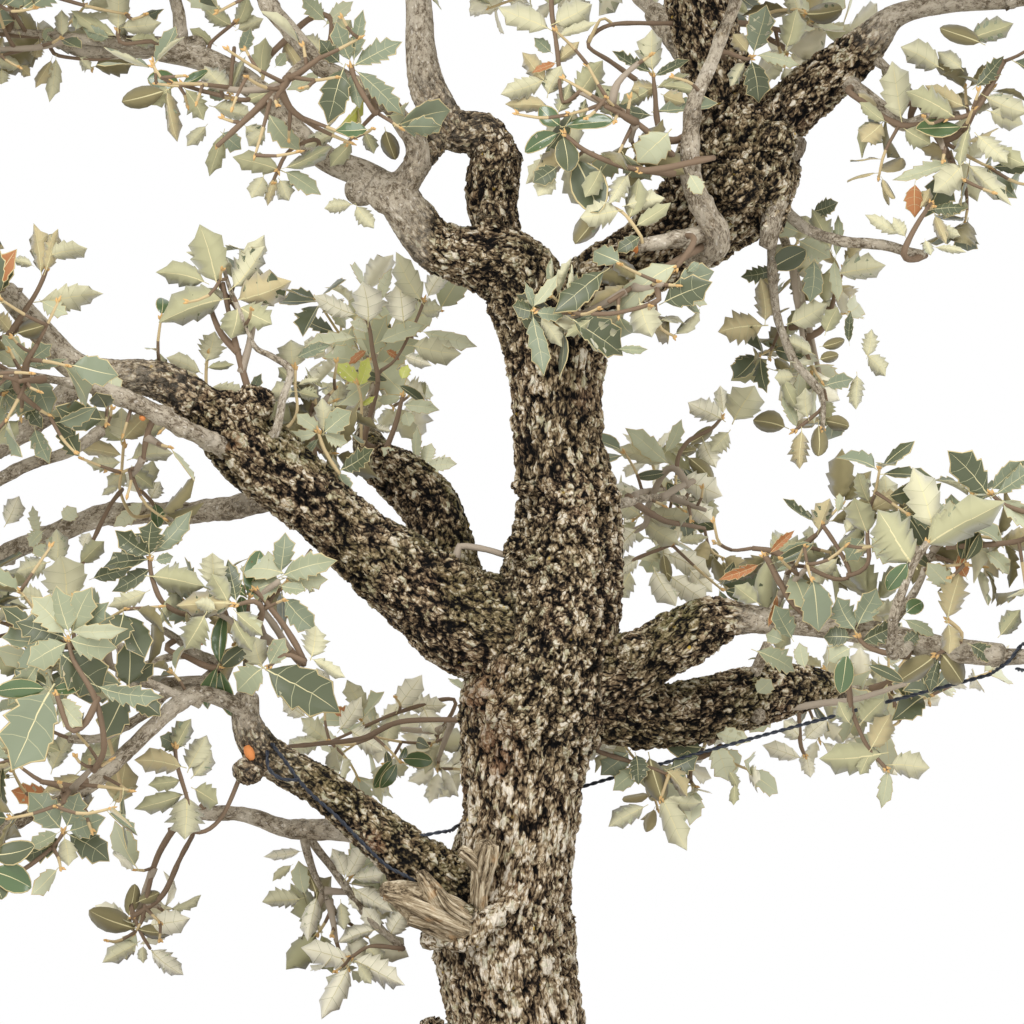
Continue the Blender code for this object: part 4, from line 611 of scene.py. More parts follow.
        (-133, 664, -112, 672, 7, U), (-148, 661, -130, 654, 10, U), (-144, 648, -135, 641, 9, T),
        (-144, 648, -150, 628, 8, U), (-132, 652, -124, 645, 9, U))),
    level_spray(Region.CROWN_LEFT, 0, ((-125, 676, 1.0), (-122, 686, 0.8)), ((-125, 678, -124, 697, 9, U),
        (-136, 690, -130, 701, 7, T), (-118, 683, -113, 689, 6, T), (-96, 680, -112, 670, 7, T),
        (-106, 681, -113, 696, 8, U))),
    level_spray(Region.CROWN_LEFT, -62, ((-67, 652, 1.2), (-75, 666, 1.2), (-77, 673, 1.2)),
        ((-80, 671, -88, 647, 13, T), (-75, 674, -54, 685, 11, T), (-78, 676, -83, 693, 9, T),
        (-76, 676, -70, 698, 7, T), (-74, 670, -53, 652, 9, T), (-76, 670, -73, 654, 7, T),
        (-82, 675, -92, 684, 8, T))),
    level_spray(Region.CROWN_LEFT, -30, ((-99, 642, 1.0), (-110, 636, 1.0), (-115, 626, 1.0)),
        ((-119, 654, -104, 633, 11, T), (-122, 646, -129, 639, 8, U), (-114, 627, -136, 634, 10, U),
        (-116, 624, -119, 610, 5, U), (-111, 626, -94, 617, 9, T), (-114, 622, -109, 613, 10, U),
        (-122, 624, -127, 614, 9, U), (-111, 629, -88, 637, 5, U))),
    level_spray(Region.CROWN_LEFT, -20, ((-71, 653, 1.0), (-82, 641, 0.8)), ((-87, 648, -101, 640, 8, U),
        (-80, 643, -88, 630, 8, U), (-72, 647, -69, 637, 7, U), (-62, 648, -58, 634, 9, V),
        (-79, 612, -93, 610, 7, U), (-76, 611, -69, 600, 8, U))),
    level_spray(Region.CROWN_LEFT, 6, ((-227, 689, 1.0), (-207, 687, 0.8), (-197, 690, 0.8)),
        ((-229, 687, -232, 667, 7, U), (-232, 687, -237, 672, 6, U), (-247, 684, -243, 679, 6, U),
        (-256, 682, -255, 673, 10, U), (-217, 688, -211, 683, 5, U), (-238, 697, -239, 685, 6, U),
        (-247, 685, -259, 687, 7, U))),
    level_spray(Region.CROWN_LEFT, -8, ((-180, 694, 1.0), (-194, 693, 1.0), (-196, 700, 1.0)),
        ((-195, 700, -196, 719, 11, U), (-197, 697, -218, 708, 7, U), (-194, 701, -175, 704, 9, U),
        (-192, 702, -175, 711, 5, T), (-200, 696, -213, 700, 7, T), (-224, 697, -224, 709, 7, U),
        (-245, 697, -248, 709, 7, U), (-217, 700, -214, 709, 6, T), (-232, 694, -229, 701, 7, T),
        (-190, 696, -176, 694, 7, U))),
    level_spray(Region.CROWN_LEFT, 10, ((-150, 698, 1.0), (-139, 707, 1.0)),
        ((-141, 705, -155, 713, 9, U), (-139, 706, -132, 718, 9, U), (-150, 696, -162, 703, 6, U),
        (-138, 703, -126, 708, 7, U), (-154, 688, -164, 694, 7, U))),
    level_spray(Region.CROWN_LEFT, -10, ((-90, 704, 1.5), (-93, 679, 1.5)), ((-93, 704, -105, 713, 9, T),
        (-92, 702, -79, 712, 8, T), (-94, 690, -103, 697, 7, U), (-88, 694, -80, 704, 9, U))),
)


def paint(red: int, green: int, blue: int) -> Colour:
    """A colour given as it looks on screen, from 0 to 255, turned into light."""
    levels = (red / 255.0, green / 255.0, blue / 255.0)
    return tuple(v / 12.92 if v <= 0.04045 else ((v + 0.055) / 1.055) ** 2.4 for v in levels)


# ---------------------------------------------------------------- curves and small meshes


SPAN_STEPS = 12                  # how many rows are read between two stations of a limb


def catmull_rom(before: float, start: float, end: float, after: float, part: float) -> float:
    """One value between start and end on a smooth curve through all four."""
    return 0.5 * ((2.0 * start) + (end - before) * part
                  + (2.0 * before - 5.0 * start + 4.0 * end - after) * part ** 2
                  + (3.0 * start - before - 3.0 * end + after) * part ** 3)


def smooth_stations(stations: Sequence[Station], steps: int) -> list[Station]:
    """Stations read from the smooth curve through the given ones.

    Args:
        stations: Rows of numbers, such as x, y, z and radius.
        steps: How many rows to read in each span.

    Returns:
        The finer rows, the last given one included.
    """
    count = len(stations)
    result = []
    for index in range(count - 1):
        around = [stations[min(max(index + shift, 0), count - 1)] for shift in (-1, 0, 1, 2)]
        for step in range(steps):
            result.append(tuple(catmull_rom(*values, step / steps) for values in zip(*around)))
    result.append(tuple(stations[-1]))
    return result


def unit(rows: np.ndarray) -> np.ndarray:
    """Rows of vectors made one long."""
    return rows / np.maximum(np.linalg.norm(rows, axis=-1, keepdims=True), 1e-9)


def carried_axes(places: np.ndarray) -> tuple[np.ndarray, np.ndarray, np.ndarray]:
    """Axes that follow a line without twisting round it.

    Args:
        places: Points along the line.

    Returns:
        The direction along it and two sideways directions, at each point.
    """
    along = unit(np.gradient(places, axis=0))
    side = np.empty_like(along)
    carried = np.array(Vector(along[0]).orthogonal().normalized())
    for index, direction in enumerate(along):
        carried = carried - direction * carried.dot(direction)
        carried /= np.linalg.norm(carried)
        side[index] = carried
    return along, side, np.cross(along, side)


@dataclass
class Shape:
    """A small mesh kept as arrays: points, faces of 3 or 4 corners (-1 for none) and finishes."""

    points: np.ndarray
    faces: np.ndarray
    slots: np.ndarray


class Batch:
    """Shapes gathered for one joined piece."""

    def __init__(self) -> None:
        """Starts with nothing in it."""
        self.points: list[np.ndarray] = []
        self.faces: list[np.ndarray] = []
        self.slots: list[np.ndarray] = []
        self.count = 0

    def add(self, shape: Shape) -> None:
        """Adds one shape, its corner numbers moved up past those already here.

        Args:
            shape: The shape.
        """
        self.points.append(shape.points)
        self.faces.append(np.where(shape.faces >= 0, shape.faces + self.count, -1))
        self.slots.append(shape.slots)
        self.count += len(shape.points)

    def piece(self, name: str, finishes: list[bpy.types.Material],
              scale: float = MM) -> bpy.types.Object:
        """Makes the joined piece.

        Args:
            name: The piece's name.
            finishes: Its materials, in the order of the finish numbers.
            scale: What its lengths are multiplied by to give metres.

        Returns:
            The object, linked to the scene.
        """
        points = np.concatenate(self.points) * scale
        faces = np.concatenate(self.faces)
        kept = faces >= 0
        sizes = kept.sum(axis=1)
        mesh = bpy.data.meshes.new(name)
        mesh.vertices.add(len(points))
        mesh.vertices.foreach_set("co", points.astype(np.float32).ravel())
        mesh.loops.add(int(sizes.sum()))
        mesh.loops.foreach_set("vertex_index", faces[kept].astype(np.int32))
        mesh.polygons.add(len(faces))
        starts = np.concatenate(([0], np.cumsum(sizes)[:-1])).astype(np.int32)
        mesh.polygons.foreach_set("loop_start", starts)
        for finish in finishes:
            mesh.materials.append(finish)
        mesh.polygons.foreach_set("material_index", np.concatenate(self.slots).astype(np.int32))
        mesh.polygons.foreach_set("use_smooth", np.ones(len(faces), bool))
        mesh.update(calc_edges=True)
        item = bpy.data.objects.new(name, mesh)
        bpy.context.scene.collection.objects.link(item)
        return item


def keep_marks(item: bpy.types.Object, marks: dict[str, np.ndarray]) -> None:
    """Keeps numbers or vectors on the points of a mesh, for its finish to read.

    Args:
        item: The object.
        marks: The numbers or vectors, by the name of each set.
    """
    for mark, values in marks.items():
        is_vector = values.ndim == 2
        kept = item.data.attributes.new(mark, "FLOAT_VECTOR" if is_vector else "FLOAT", "POINT")
        kept.data.foreach_set("vector" if is_vector else "value", values.astype(np.float32).ravel())


def ring_faces(rings: int, sides: int) -> np.ndarray:
    """Four-cornered faces between rings of points, each ring closed on itself.

    Args:
        rings: How many rings there are.
        sides: How many points each has.

    Returns:
        The corner numbers of each face.
    """
    row, column = np.meshgrid(np.arange(rings - 1), np.arange(sides), indexing="ij")
    here = row * sides + column
    beside = row * sides + (column + 1) % sides
    return np.stack((here, beside, beside + sides, here + sides), axis=-1).reshape(-1, 4)


def round_turns(sides: int) -> np.ndarray:
    """Even angles for so many sides, once round."""
    return 2.0 * np.pi * np.arange(sides) / sides


def tube_spots(count: int, sides: int, reach: float, step: float) -> np.ndarray:
    """Where to read noise for each corner of a tube: rings of one reach, a step apart.

    Args:
        count: How many rings.
        sides: How many corners each has.
        reach: The rings' radius.
        step: The distance from ring to ring.

    Returns:
        The places, ring by ring.
    """
    turns = round_turns(sides)
    spots = np.broadcast_arrays(np.cos(turns)[None] * reach, np.sin(turns)[None] * reach,
                                np.arange(count)[:, None] * step)
    return np.stack(spots, axis=-1).reshape(-1, 3)


def tube_shape(places: np.ndarray, radii: np.ndarray, sides: int, slots: np.ndarray | int = 0,
               rough: np.ndarray | float = 0.0) -> Shape:
    """A closed round tube with a pointed cap at each end.

    Args:
        places: Points of its middle line.
        radii: Its radius at each point.
        sides: How many sides it has.
        slots: Its finish number, or one for each span.
        rough: What is added to the radius, one number or a grid of rings by sides.

    Returns:
        The tube as a shape.
    """
    along, side, other = carried_axes(places)
    turns = round_turns(sides)
    spokes = (side[:, None] * np.cos(turns)[None, :, None]
              + other[:, None] * np.sin(turns)[None, :, None])
    grown = radii[:, None] + np.broadcast_to(rough, (len(places), sides))
    points = places[:, None] + spokes * grown[..., None]
    count = len(places) * sides
    ends = np.array([places[0] - along[0] * radii[0] * 0.3, places[-1] + along[-1] * radii[-1] * 0.5])
    faces = ring_faces(len(places), sides)
    around = np.arange(sides)
    after = (around + 1) % sides
    last = count - sides
    first_cap = np.stack((after, around, np.full(sides, count), np.full(sides, -1)), axis=-1)
    last_cap = np.stack((last + around, last + after, np.full(sides, count + 1),
                         np.full(sides, -1)), axis=-1)
    spans = np.repeat(np.broadcast_to(slots, len(places) - 1), sides)
    caps = np.concatenate((np.full(sides, spans[0]), np.full(sides, spans[-1])))
    return Shape(np.concatenate((points.reshape(-1, 3), ends)),
                 np.concatenate((faces, first_cap, last_cap)), np.concatenate((spans, caps)))


def even_line(stations: Sequence[Station], gap: float) -> tuple[np.ndarray, np.ndarray]:
    """Points and radii at even distances along a limb.

    Args:
        stations: Rows of x, y, z and radius.
        gap: About how far apart the points are to be.

    Returns:
        The points and the radii.
    """
    rows = np.array(smooth_stations(stations, SPAN_STEPS))
    run = np.concatenate(([0.0], np.cumsum(np.linalg.norm(np.diff(rows[:, :3], axis=0), axis=1))))
    wanted = np.linspace(0.0, run[-1], max(3, int(run[-1] / gap) + 1))
    read = np.stack([np.interp(wanted, run, rows[:, axis]) for axis in range(4)], axis=-1)
    return read[:, :3], read[:, 3]


# ---------------------------------------------------------------- repeatable roughness


def cell_value(cells: np.ndarray, salt: int) -> np.ndarray:
    """A repeatable number from 0 to 1 for each whole-numbered cell.

    Args:
        cells: Rows of three whole numbers.
        salt: Picks one pattern among many.

    Returns:
        The numbers.
    """
    whole = cells.astype(np.int64)
    mixed = (whole[..., 0] * 73856093) ^ (whole[..., 1] * 19349663) ^ (whole[..., 2] * 83492791)
    mixed = (mixed ^ (salt * 2654435761)) & 0xFFFFFFFF
    mixed = ((mixed ^ (mixed >> 15)) * 0x2C1B3C6D) & 0xFFFFFFFF
    mixed = ((mixed ^ (mixed >> 12)) * 0x297A2D39) & 0xFFFFFFFF
    return ((mixed ^ (mixed >> 15)) & 0xFFFFFF) / float(0xFFFFFF)


def soft_noise(points: np.ndarray, salt: int, layers: int = 2) -> np.ndarray:
    """Smooth noise about 0, from -1 to 1, with finer layers added at half the strength.

    Args:
        points: Where to read it.
        salt: Picks one pattern among many.
        layers: How many layers to add.

    Returns:
        A number for each point.
    """
    total = np.zeros(len(points))
    strength = 1.0
    for layer in range(layers):
        spots = points * 2.0 ** layer + 17.3 * layer
        base = np.floor(spots)
        part = spots - base
        part = part * part * (3.0 - 2.0 * part)
        value = np.zeros(len(points))
        for corner in itertools.product((0, 1), repeat=3):
            weight = np.prod(np.where(corner, part, 1.0 - part), axis=1)
            value += weight * cell_value(base + corner, salt + layer)
        total += strength * (2.0 * value - 1.0)
        strength *= 0.5
    return total


def cracked(points: np.ndarray, salt: int) -> tuple[np.ndarray, np.ndarray]:
    """Cells like plates with cracks between them.

    Args:
        points: Where to read, with cells one unit across.
        salt: Picks one pattern among many.

    Returns:
        How far each point is from a crack, from 0 up, and a number for its own plate.
    """
    base = np.floor(points)
    first = np.full(len(points), 9.0)
    second = np.full(len(points), 9.0)
    tone = np.zeros(len(points))
    for shift in itertools.product((-1, 0, 1), repeat=3):
        cell = base + shift
        jitter = np.stack([cell_value(cell, salt + axis) for axis in range(3)], axis=-1)
        away = np.linalg.norm(points - cell - 0.5 - 0.44 * (2.0 * jitter - 1.0), axis=1)
        nearer = away < first
        second = np.where(nearer, first, np.minimum(second, away))
        tone = np.where(nearer, cell_value(cell, salt + 5), tone)
        first = np.minimum(first, away)
    return second - first, tone


def eased(values: np.ndarray, low: float, high: float) -> np.ndarray:
    """0 below low, 1 above high and a smooth step between."""
    part = np.clip((values - low) / (high - low), 0.0, 1.0)
    return part * part * (3.0 - 2.0 * part)


# ---------------------------------------------------------------- finishes


class Value:
    """An output of a finish's nodes, used in ordinary sums."""

    def __init__(self, recipe: "Recipe", socket: bpy.types.NodeSocket) -> None:
        """Keeps the recipe and its socket."""
        self.recipe = recipe
        self.socket = socket

    def __add__(self, other: "Value | float") -> "Value":
        """The sum."""
        return self.recipe.maths("ADD", self, other)

    __radd__ = __add__

    def __sub__(self, other: "Value | float") -> "Value":
        """The difference."""
        return self.recipe.maths("SUBTRACT", self, other)

    def __rsub__(self, other: float) -> "Value":
        """The difference from a number."""
        return self.recipe.maths("SUBTRACT", other, self)

    def __mul__(self, other: "Value | float") -> "Value":
        """The product."""
        return self.recipe.maths("MULTIPLY", self, other)

    __rmul__ = __mul__

    def between(self, low: float, high: float) -> "Value":
        """0 below low, 1 above high and a smooth step between."""
        return self.recipe.node("ShaderNodeMapRange", {"interpolation_type": "SMOOTHSTEP"},
                                {"Value": self, "From Min": low, "From Max": high})


class Recipe:
    """The nodes of one finish."""

    def __init__(self, name: str) -> None:
        """Makes an empty finish with one principled shader.

        Args:
            name: The finish's name.
        """
        self.material = bpy.data.materials.new(name)
        self.material.use_nodes = True
        self.tree = self.material.node_tree
        self.shader = self.tree.nodes["Principled BSDF"]

    def node(self, kind: str, settings: dict | None = None, inputs: dict | None = None,
             output: int | str = 0) -> Value:
        """Adds a node.

        Args:
            kind: The node's type.
            settings: Its own settings, set first. "stops" sets a ramp's places and colours.
            inputs: Values or links for its sockets, by name or number.
            output: Which of its outputs to give back.

        Returns:
            That output.
        """
        made = self.tree.nodes.new(kind)
        for name, setting in (settings or {}).items():
            if name == "stops":
                self.set_stops(made.color_ramp, setting)
            else:
                setattr(made, name, setting)
        for name, value in (inputs or {}).items():
            self.feed(made.inputs[name], value)
        return Value(self, made.outputs[output])

    def set_stops(self, ramp: bpy.types.ColorRamp, stops: list[tuple[float, Colour]]) -> None:
        """Gives a ramp its places and colours.

        Args:
            ramp: The ramp.
            stops: Its places from 0 to 1, each with a colour.
        """
        while len(ramp.elements) < len(stops):
            ramp.elements.new(0.5)
        for element, (place, colour) in zip(ramp.elements, stops):
            element.position = place
            element.color = (*colour, 1.0)

    def feed(self, socket: bpy.types.NodeSocket, value: object) -> None:
        """Links a value to a socket, or sets a plain number, colour or vector on it.

        Args:
            socket: The socket.
            value: What it is to have.
        """
        if isinstance(value, Value):
            self.tree.links.new(value.socket, socket)
        elif isinstance(value, tuple) and socket.type == "RGBA":
            socket.default_value = (*value, 1.0)
        else:
            socket.default_value = value

    def maths(self, operation: str, first: Value | float, second: Value | float) -> Value:
        """One sum of two numbers."""
        return self.node("ShaderNodeMath", {"operation": operation}, {0: first, 1: second})

    def place(self) -> Value:
        """The point on the object, in metres."""
        return self.node("ShaderNodeTexCoord", output="Object")

    def read(self, name: str) -> Value:
        """A number kept on the mesh."""
        return self.node("ShaderNodeAttribute", {"attribute_name": name}, output="Fac")

    def grain(self) -> Value:
        """The point as it lies along its limb, in metres, bent a little by noise.

        Returns:
            The point, for textures to read.
        """
        along = self.node("ShaderNodeAttribute", {"attribute_name": "grain"}, output="Vector")
        shift = self.node("ShaderNodeTexNoise", None,
                          {"Vector": along, "Scale": 300.0, "Detail": 2.0}, "Color")
        centred = self.node("ShaderNodeVectorMath", {"operation": "SUBTRACT"},
                            {0: shift, 1: (0.5, 0.5, 0.5)})
        return self.node("ShaderNodeVectorMath", {"operation": "MULTIPLY_ADD"},
                         {0: centred, 1: (0.004, 0.004, 0.004), 2: along})

    def noise(self, per_metre: float, detail: float = 3.0, rough: float = 0.6,
              where: Value | None = None) -> Value:
        """Soft noise from 0 to 1 with so many lumps to the metre."""
        return self.node("ShaderNodeTexNoise", None,
                         {"Vector": where or self.place(), "Scale": per_metre, "Detail": detail,
                          "Roughness": rough})

    def cells(self, per_metre: float, where: Value, feature: str, output: str) -> Value:
        """Cells with so many to the metre: a distance, or a number for each cell.

        Args:
            per_metre: How many there are to the metre.
            where: The point to read at.
            feature: What is measured, such as F1 or DISTANCE_TO_EDGE.
            output: Distance, or Color for a number of each cell's own.

        Returns:
            The number.
        """
        made = self.node("ShaderNodeTexVoronoi", {"feature": feature},
                         {"Vector": where, "Scale": per_metre}, output)
        if output == "Color":
            made = self.node("ShaderNodeSeparateColor", None, {0: made})
        return made

    def ramp(self, value: Value, stops: list[tuple[float, Colour]]) -> Value:
        """A colour picked by a number."""
        return self.node("ShaderNodeValToRGB", {"stops": stops}, {"Fac": value}, "Color")

    def mix(self, share: Value | float, first: Value | Colour, second: Value | Colour) -> Value:
        """The first colour, with a share of the second."""
        return self.node("ShaderNodeMix", {"data_type": "RGBA"},
                         {0: share, 6: first, 7: second}, 2)

    def relief(self, height: Value, strength: float, depth: float) -> None:
        """Lets a height, so many metres deep, tilt the surface."""
        bump = self.node("ShaderNodeBump", None,
                         {"Height": height, "Strength": strength, "Distance": depth}, "Normal")
        self.feed(self.shader.inputs["Normal"], bump)

    def finish(self, **inputs: object) -> bpy.types.Material:
        """Feeds the shader and gives back the material. Names have _ for a space."""
        for name, value in inputs.items():
            self.feed(self.shader.inputs[name.replace("_", " ").title().replace("Ior", "IOR")], value)
        return self.material


@dataclass(frozen=True)
class PlainFinish:
    """One even colour with its own gloss, for things too small to carry a pattern."""

    name: str
    colour: Colour
    roughness: float = 0.6
    sheen: float = 0.0
    coat: float = 0.0

    def material(self) -> bpy.types.Material:
        """Builds the finish."""
        return Recipe(self.name).finish(base_color=self.colour, roughness=self.roughness,
                                        sheen_weight=self.sheen, coat_weight=self.coat)


@dataclass(frozen=True)
class BarkFinish:
    """Grey-brown bark: cracks painted near black, partly their own dark and partly painted shade, pale broken
    plates, lichen and moss, smooth and grey where young.
    """

    name: str = "bark"
    # The pit and crack colours of the lowest places are partly painted shade in the crevices.
    pit_shade: Colour = paint(7, 5, 4)
    crack: Colour = paint(42, 32, 24)
    flank: Colour = paint(92, 75, 56)
    plate: Colour = paint(134, 113, 86)
    crown: Colour = paint(188, 168, 136)
    flake: Colour = paint(230, 219, 200)
    lichen: Colour = paint(172, 172, 136)
    moss: Colour = paint(92, 94, 46)
    rust: Colour = paint(132, 90, 66)
    gold: Colour = paint(206, 170, 66)
    young: Colour = paint(184, 172, 152)
    young_dark: Colour = paint(98, 85, 68)
    young_pale: Colour = paint(238, 230, 216)

    def material(self) -> bpy.types.Material:
        """Builds the finish from relief, tone, moss, rust, age and grain, kept on the skin's mesh.

        Returns:
            The material.
        """
        recipe = Recipe(self.name)
        relief, tone, age = recipe.read("relief"), recipe.read("tone"), recipe.read("age")
        grain = recipe.grain()
        fine = recipe.noise(1500.0, 4.0, 0.75, grain)
        coarse = recipe.noise(420.0, 4.0, 0.7, grain)
        broad = recipe.noise(46.0, 3.0)
        plate_edge = recipe.cells(185.0, grain, "DISTANCE_TO_EDGE", "Distance").between(0.015, 0.10)
        plate = recipe.cells(185.0, grain, "F1", "Color")
        chip_edge = recipe.cells(420.0, grain, "DISTANCE_TO_EDGE", "Distance").between(0.02, 0.16)
        chip = recipe.cells(420.0, grain, "F1", "Color")
        crumb = recipe.cells(950.0, grain, "F1", "Color")
        height = (relief * 0.44 + plate_edge * 0.20 + chip_edge * 0.12 + (plate - 0.5) * 0.20
                  + (chip - 0.5) * 0.36 + (crumb - 0.5) * 0.26 + (fine - 0.5) * 0.35
                  + (coarse - 0.5) * 0.40 + (tone - 0.5) * 0.28 - 0.47) * 1.22 + 0.435
        # Low places between the plates are painted near black: partly the bark's own dark crevices, partly
        # painted shade.
        rough = recipe.ramp(height, [(0.10, self.pit_shade), (0.25, self.crack), (0.41, self.flank),
                                     (0.57, self.plate), (0.75, self.crown), (0.95, self.flake)])
        rusty = (broad + coarse * 0.5).between(0.82, 0.98) * relief * 0.28 + recipe.read("rust")
        rough = recipe.mix(rusty * height.between(0.1, 0.5), rough, self.rust)
        lichen = (recipe.noise(210.0, 4.0, 0.7) + (chip - 0.5) * 0.22).between(0.55, 0.68)
        rough = recipe.mix(lichen * relief * height.between(0.3, 0.7) * 0.6, rough, self.lichen)
        moss = recipe.read("moss") * (coarse + 0.22).between(0.5, 0.8) * height.between(0.1, 0.5)
        rough = recipe.mix(moss * 0.75, rough, self.moss)
        gold = 1.0 - recipe.cells(75.0, recipe.place(), "F1", "Distance").between(0.05, 0.085)
        rough = recipe.mix(gold * relief * 0.8, rough, self.gold)
        smooth = recipe.mix((coarse + (fine - 0.5) * 0.8 + (tone - 0.5) * 0.2).between(0.30, 0.62),
                            self.young_dark, self.young)
        dots = 1.0 - recipe.cells(420.0, grain, "F1", "Distance").between(0.14, 0.28)
        smooth = recipe.mix(dots * 0.5 + (tone - 0.5) * 0.35, smooth, self.young_pale)
        recipe.relief(fine * 0.4 + coarse * 0.5
                      + (plate_edge * 0.7 + chip_edge * 0.4 + chip * 0.5 + plate * 0.4) * age, 0.9, 0.0013)
        colour = recipe.mix(age, smooth, rough)
        return recipe.finish(base_color=colour, roughness=0.96 - relief * 0.14,
                             specular_ior_level=0.2)


@dataclass(frozen=True)
class Lump:
    """A knob, burl or broken stub: its two ends and its radii along it, in millimetres."""

    start: Place
    end: Place
    radii: tuple[float, float, float]

    def shape(self) -> Shape:
        """The lump as a short closed tube with a middle radius of its own.

        Returns:
            The shape, in millimetres.
        """
        rows = ((*self.start, self.radii[0]), (*np.mean((self.start, self.end), axis=0), self.radii[1]),
                (*self.end, self.radii[2]))
        places, radii = even_line(rows, 2.0)
        return tube_shape(places, radii, 16)


LUMPS = (
    Lump((-21, -28, 263), (-21, -40, 263), (6, 6.5, 5)), Lump((-44, -28, 251), (-22, -34, 250), (5, 6, 6)),
    Lump((-22, -34, 250), (-12, -33, 260), (6, 6, 5.5)), Lump((-12, -33, 260), (3, -28, 271), (5.5, 6, 5)),
    Lump((-118, -30, 512), (-132, -32, 516), (7, 8, 6)), Lump((-38, -10, 262), (-46, -22, 268), (10, 9, 7)),
    Lump((-56, -16, 618), (-36, 3, 651), (8, 7, 8)), Lump((-128, -24, 512), (-129, -28, 521), (7, 7, 5.5)),
    Lump((-134, -30, 505), (-135, -35, 513), (8, 9, 7)), Lump((-14, -2, 604), (-4, -6, 606), (9, 12, 9)),
    Lump((-62, -16, 612), (-60, -22, 618), (9, 10, 8)), Lump((-76, -14, 622), (-72, -20, 616), (8, 9, 7)),
    Lump((-134, -28, 500), (-143, -36, 498), (9, 9, 6)), Lump((100, -18, 612), (118, -26, 624), (12, 15, 12)),
    Lump((92, -14, 600), (98, -26, 598), (9, 9, 7)), Lump((128, -16, 640), (134, -22, 648), (10, 11, 8)),
    Lump((130, -8, 636), (128, -14, 598), (11, 10, 7)), Lump((10, -30, 352), (-16, -22, 372), (9, 12, 9)),
    Lump((54, -26, 388), (66, -30, 396), (7, 9, 6)), Lump((6, -18, 446), (-3, -22, 440), (6, 6, 4)),
    Lump((8, -16, 470), (1, -20, 474), (5, 5, 3)), Lump((-128, -44, 338), (-127, -49, 331), (7, 8, 6)),
    Lump((46, -12, 470), (53, -16, 466), (5, 5, 3)), Lump((-36, 18, 190), (-44, 22, 200), (8, 10, 7)),
    Lump((20, 30, 230), (26, 36, 240), (9, 10, 7)), Lump((16, 32, 420), (22, 40, 432), (8, 10, 7)),
)


POINTS_AT_ONCE = 8000            # how many points are measured at once, to spare memory


class Lines:
    """The middle lines of several limbs, read together to tell which limb a point is on."""

    def __init__(self, limbs: tuple[Limb, ...], gap_mm: float = 3.0) -> None:
        """Reads each limb's line every few millimetres.

        Args:
            limbs: The limbs.
            gap_mm: How far apart the stations read are.
        """
        rows = []
        self.lengths = []
        for index, limb in enumerate(limbs):
            places, radii = even_line(limb.stations, gap_mm)
            along, side, other = carried_axes(places)
            steps = np.linalg.norm(np.diff(places, axis=0), axis=1)
            run = np.concatenate(([0.0], np.cumsum(steps)))
            self.lengths.append(run[-1])
            rows.append((places, radii[:, None], along, side, other, run[:, None],
                         np.full((len(places), 1), index)))
        joined = [np.concatenate(parts) for parts in zip(*rows)]
        self.places, radii, self.along, self.side, self.other, run, owner = joined
        self.radii, self.run, self.owner = radii[:, 0], run[:, 0], owner[:, 0].astype(int)

    def nearest(self, points: np.ndarray) -> np.ndarray:
        """For each point, the station whose round surface it is nearest to or deepest in.

        Args:
            points: The points, in millimetres.

        Returns:
            The number of each point's station.
        """
        found = np.empty(len(points), int)
        squares = (self.places ** 2).sum(axis=1)
        for start in range(0, len(points), POINTS_AT_ONCE):
            part = points[start:start + POINTS_AT_ONCE]
            square = (part ** 2).sum(axis=1)[:, None] + squares - 2.0 * part @ self.places.T
            depth = np.sqrt(np.maximum(square, 0.0)) - self.radii
            found[start:start + POINTS_AT_ONCE] = depth.argmin(axis=1)
        return found

    def local(self, points: np.ndarray, station: np.ndarray) -> np.ndarray:
        """Two sideways distances and the distance along the limb, for points and their stations.

        Args:
            points: The points, in millimetres.
            station: The number of each one's station.

        Returns:
            Three distances for each point.
        """
        offset = points - self.places[station]
        return np.stack(((offset * self.side[station]).sum(axis=1),
                         (offset * self.other[station]).sum(axis=1),
                         self.run[station] + (offset * self.along[station]).sum(axis=1)), axis=-1)


GRAIN_SCALE = (MM, MM, MM * 0.62)       # the bark's pattern is drawn out along the limb


@dataclass
class Skin3D:
    """A bark surface before it is split into pieces, with what the finish reads from it."""

    points: np.ndarray
    faces: np.ndarray
    marks: dict[str, np.ndarray]


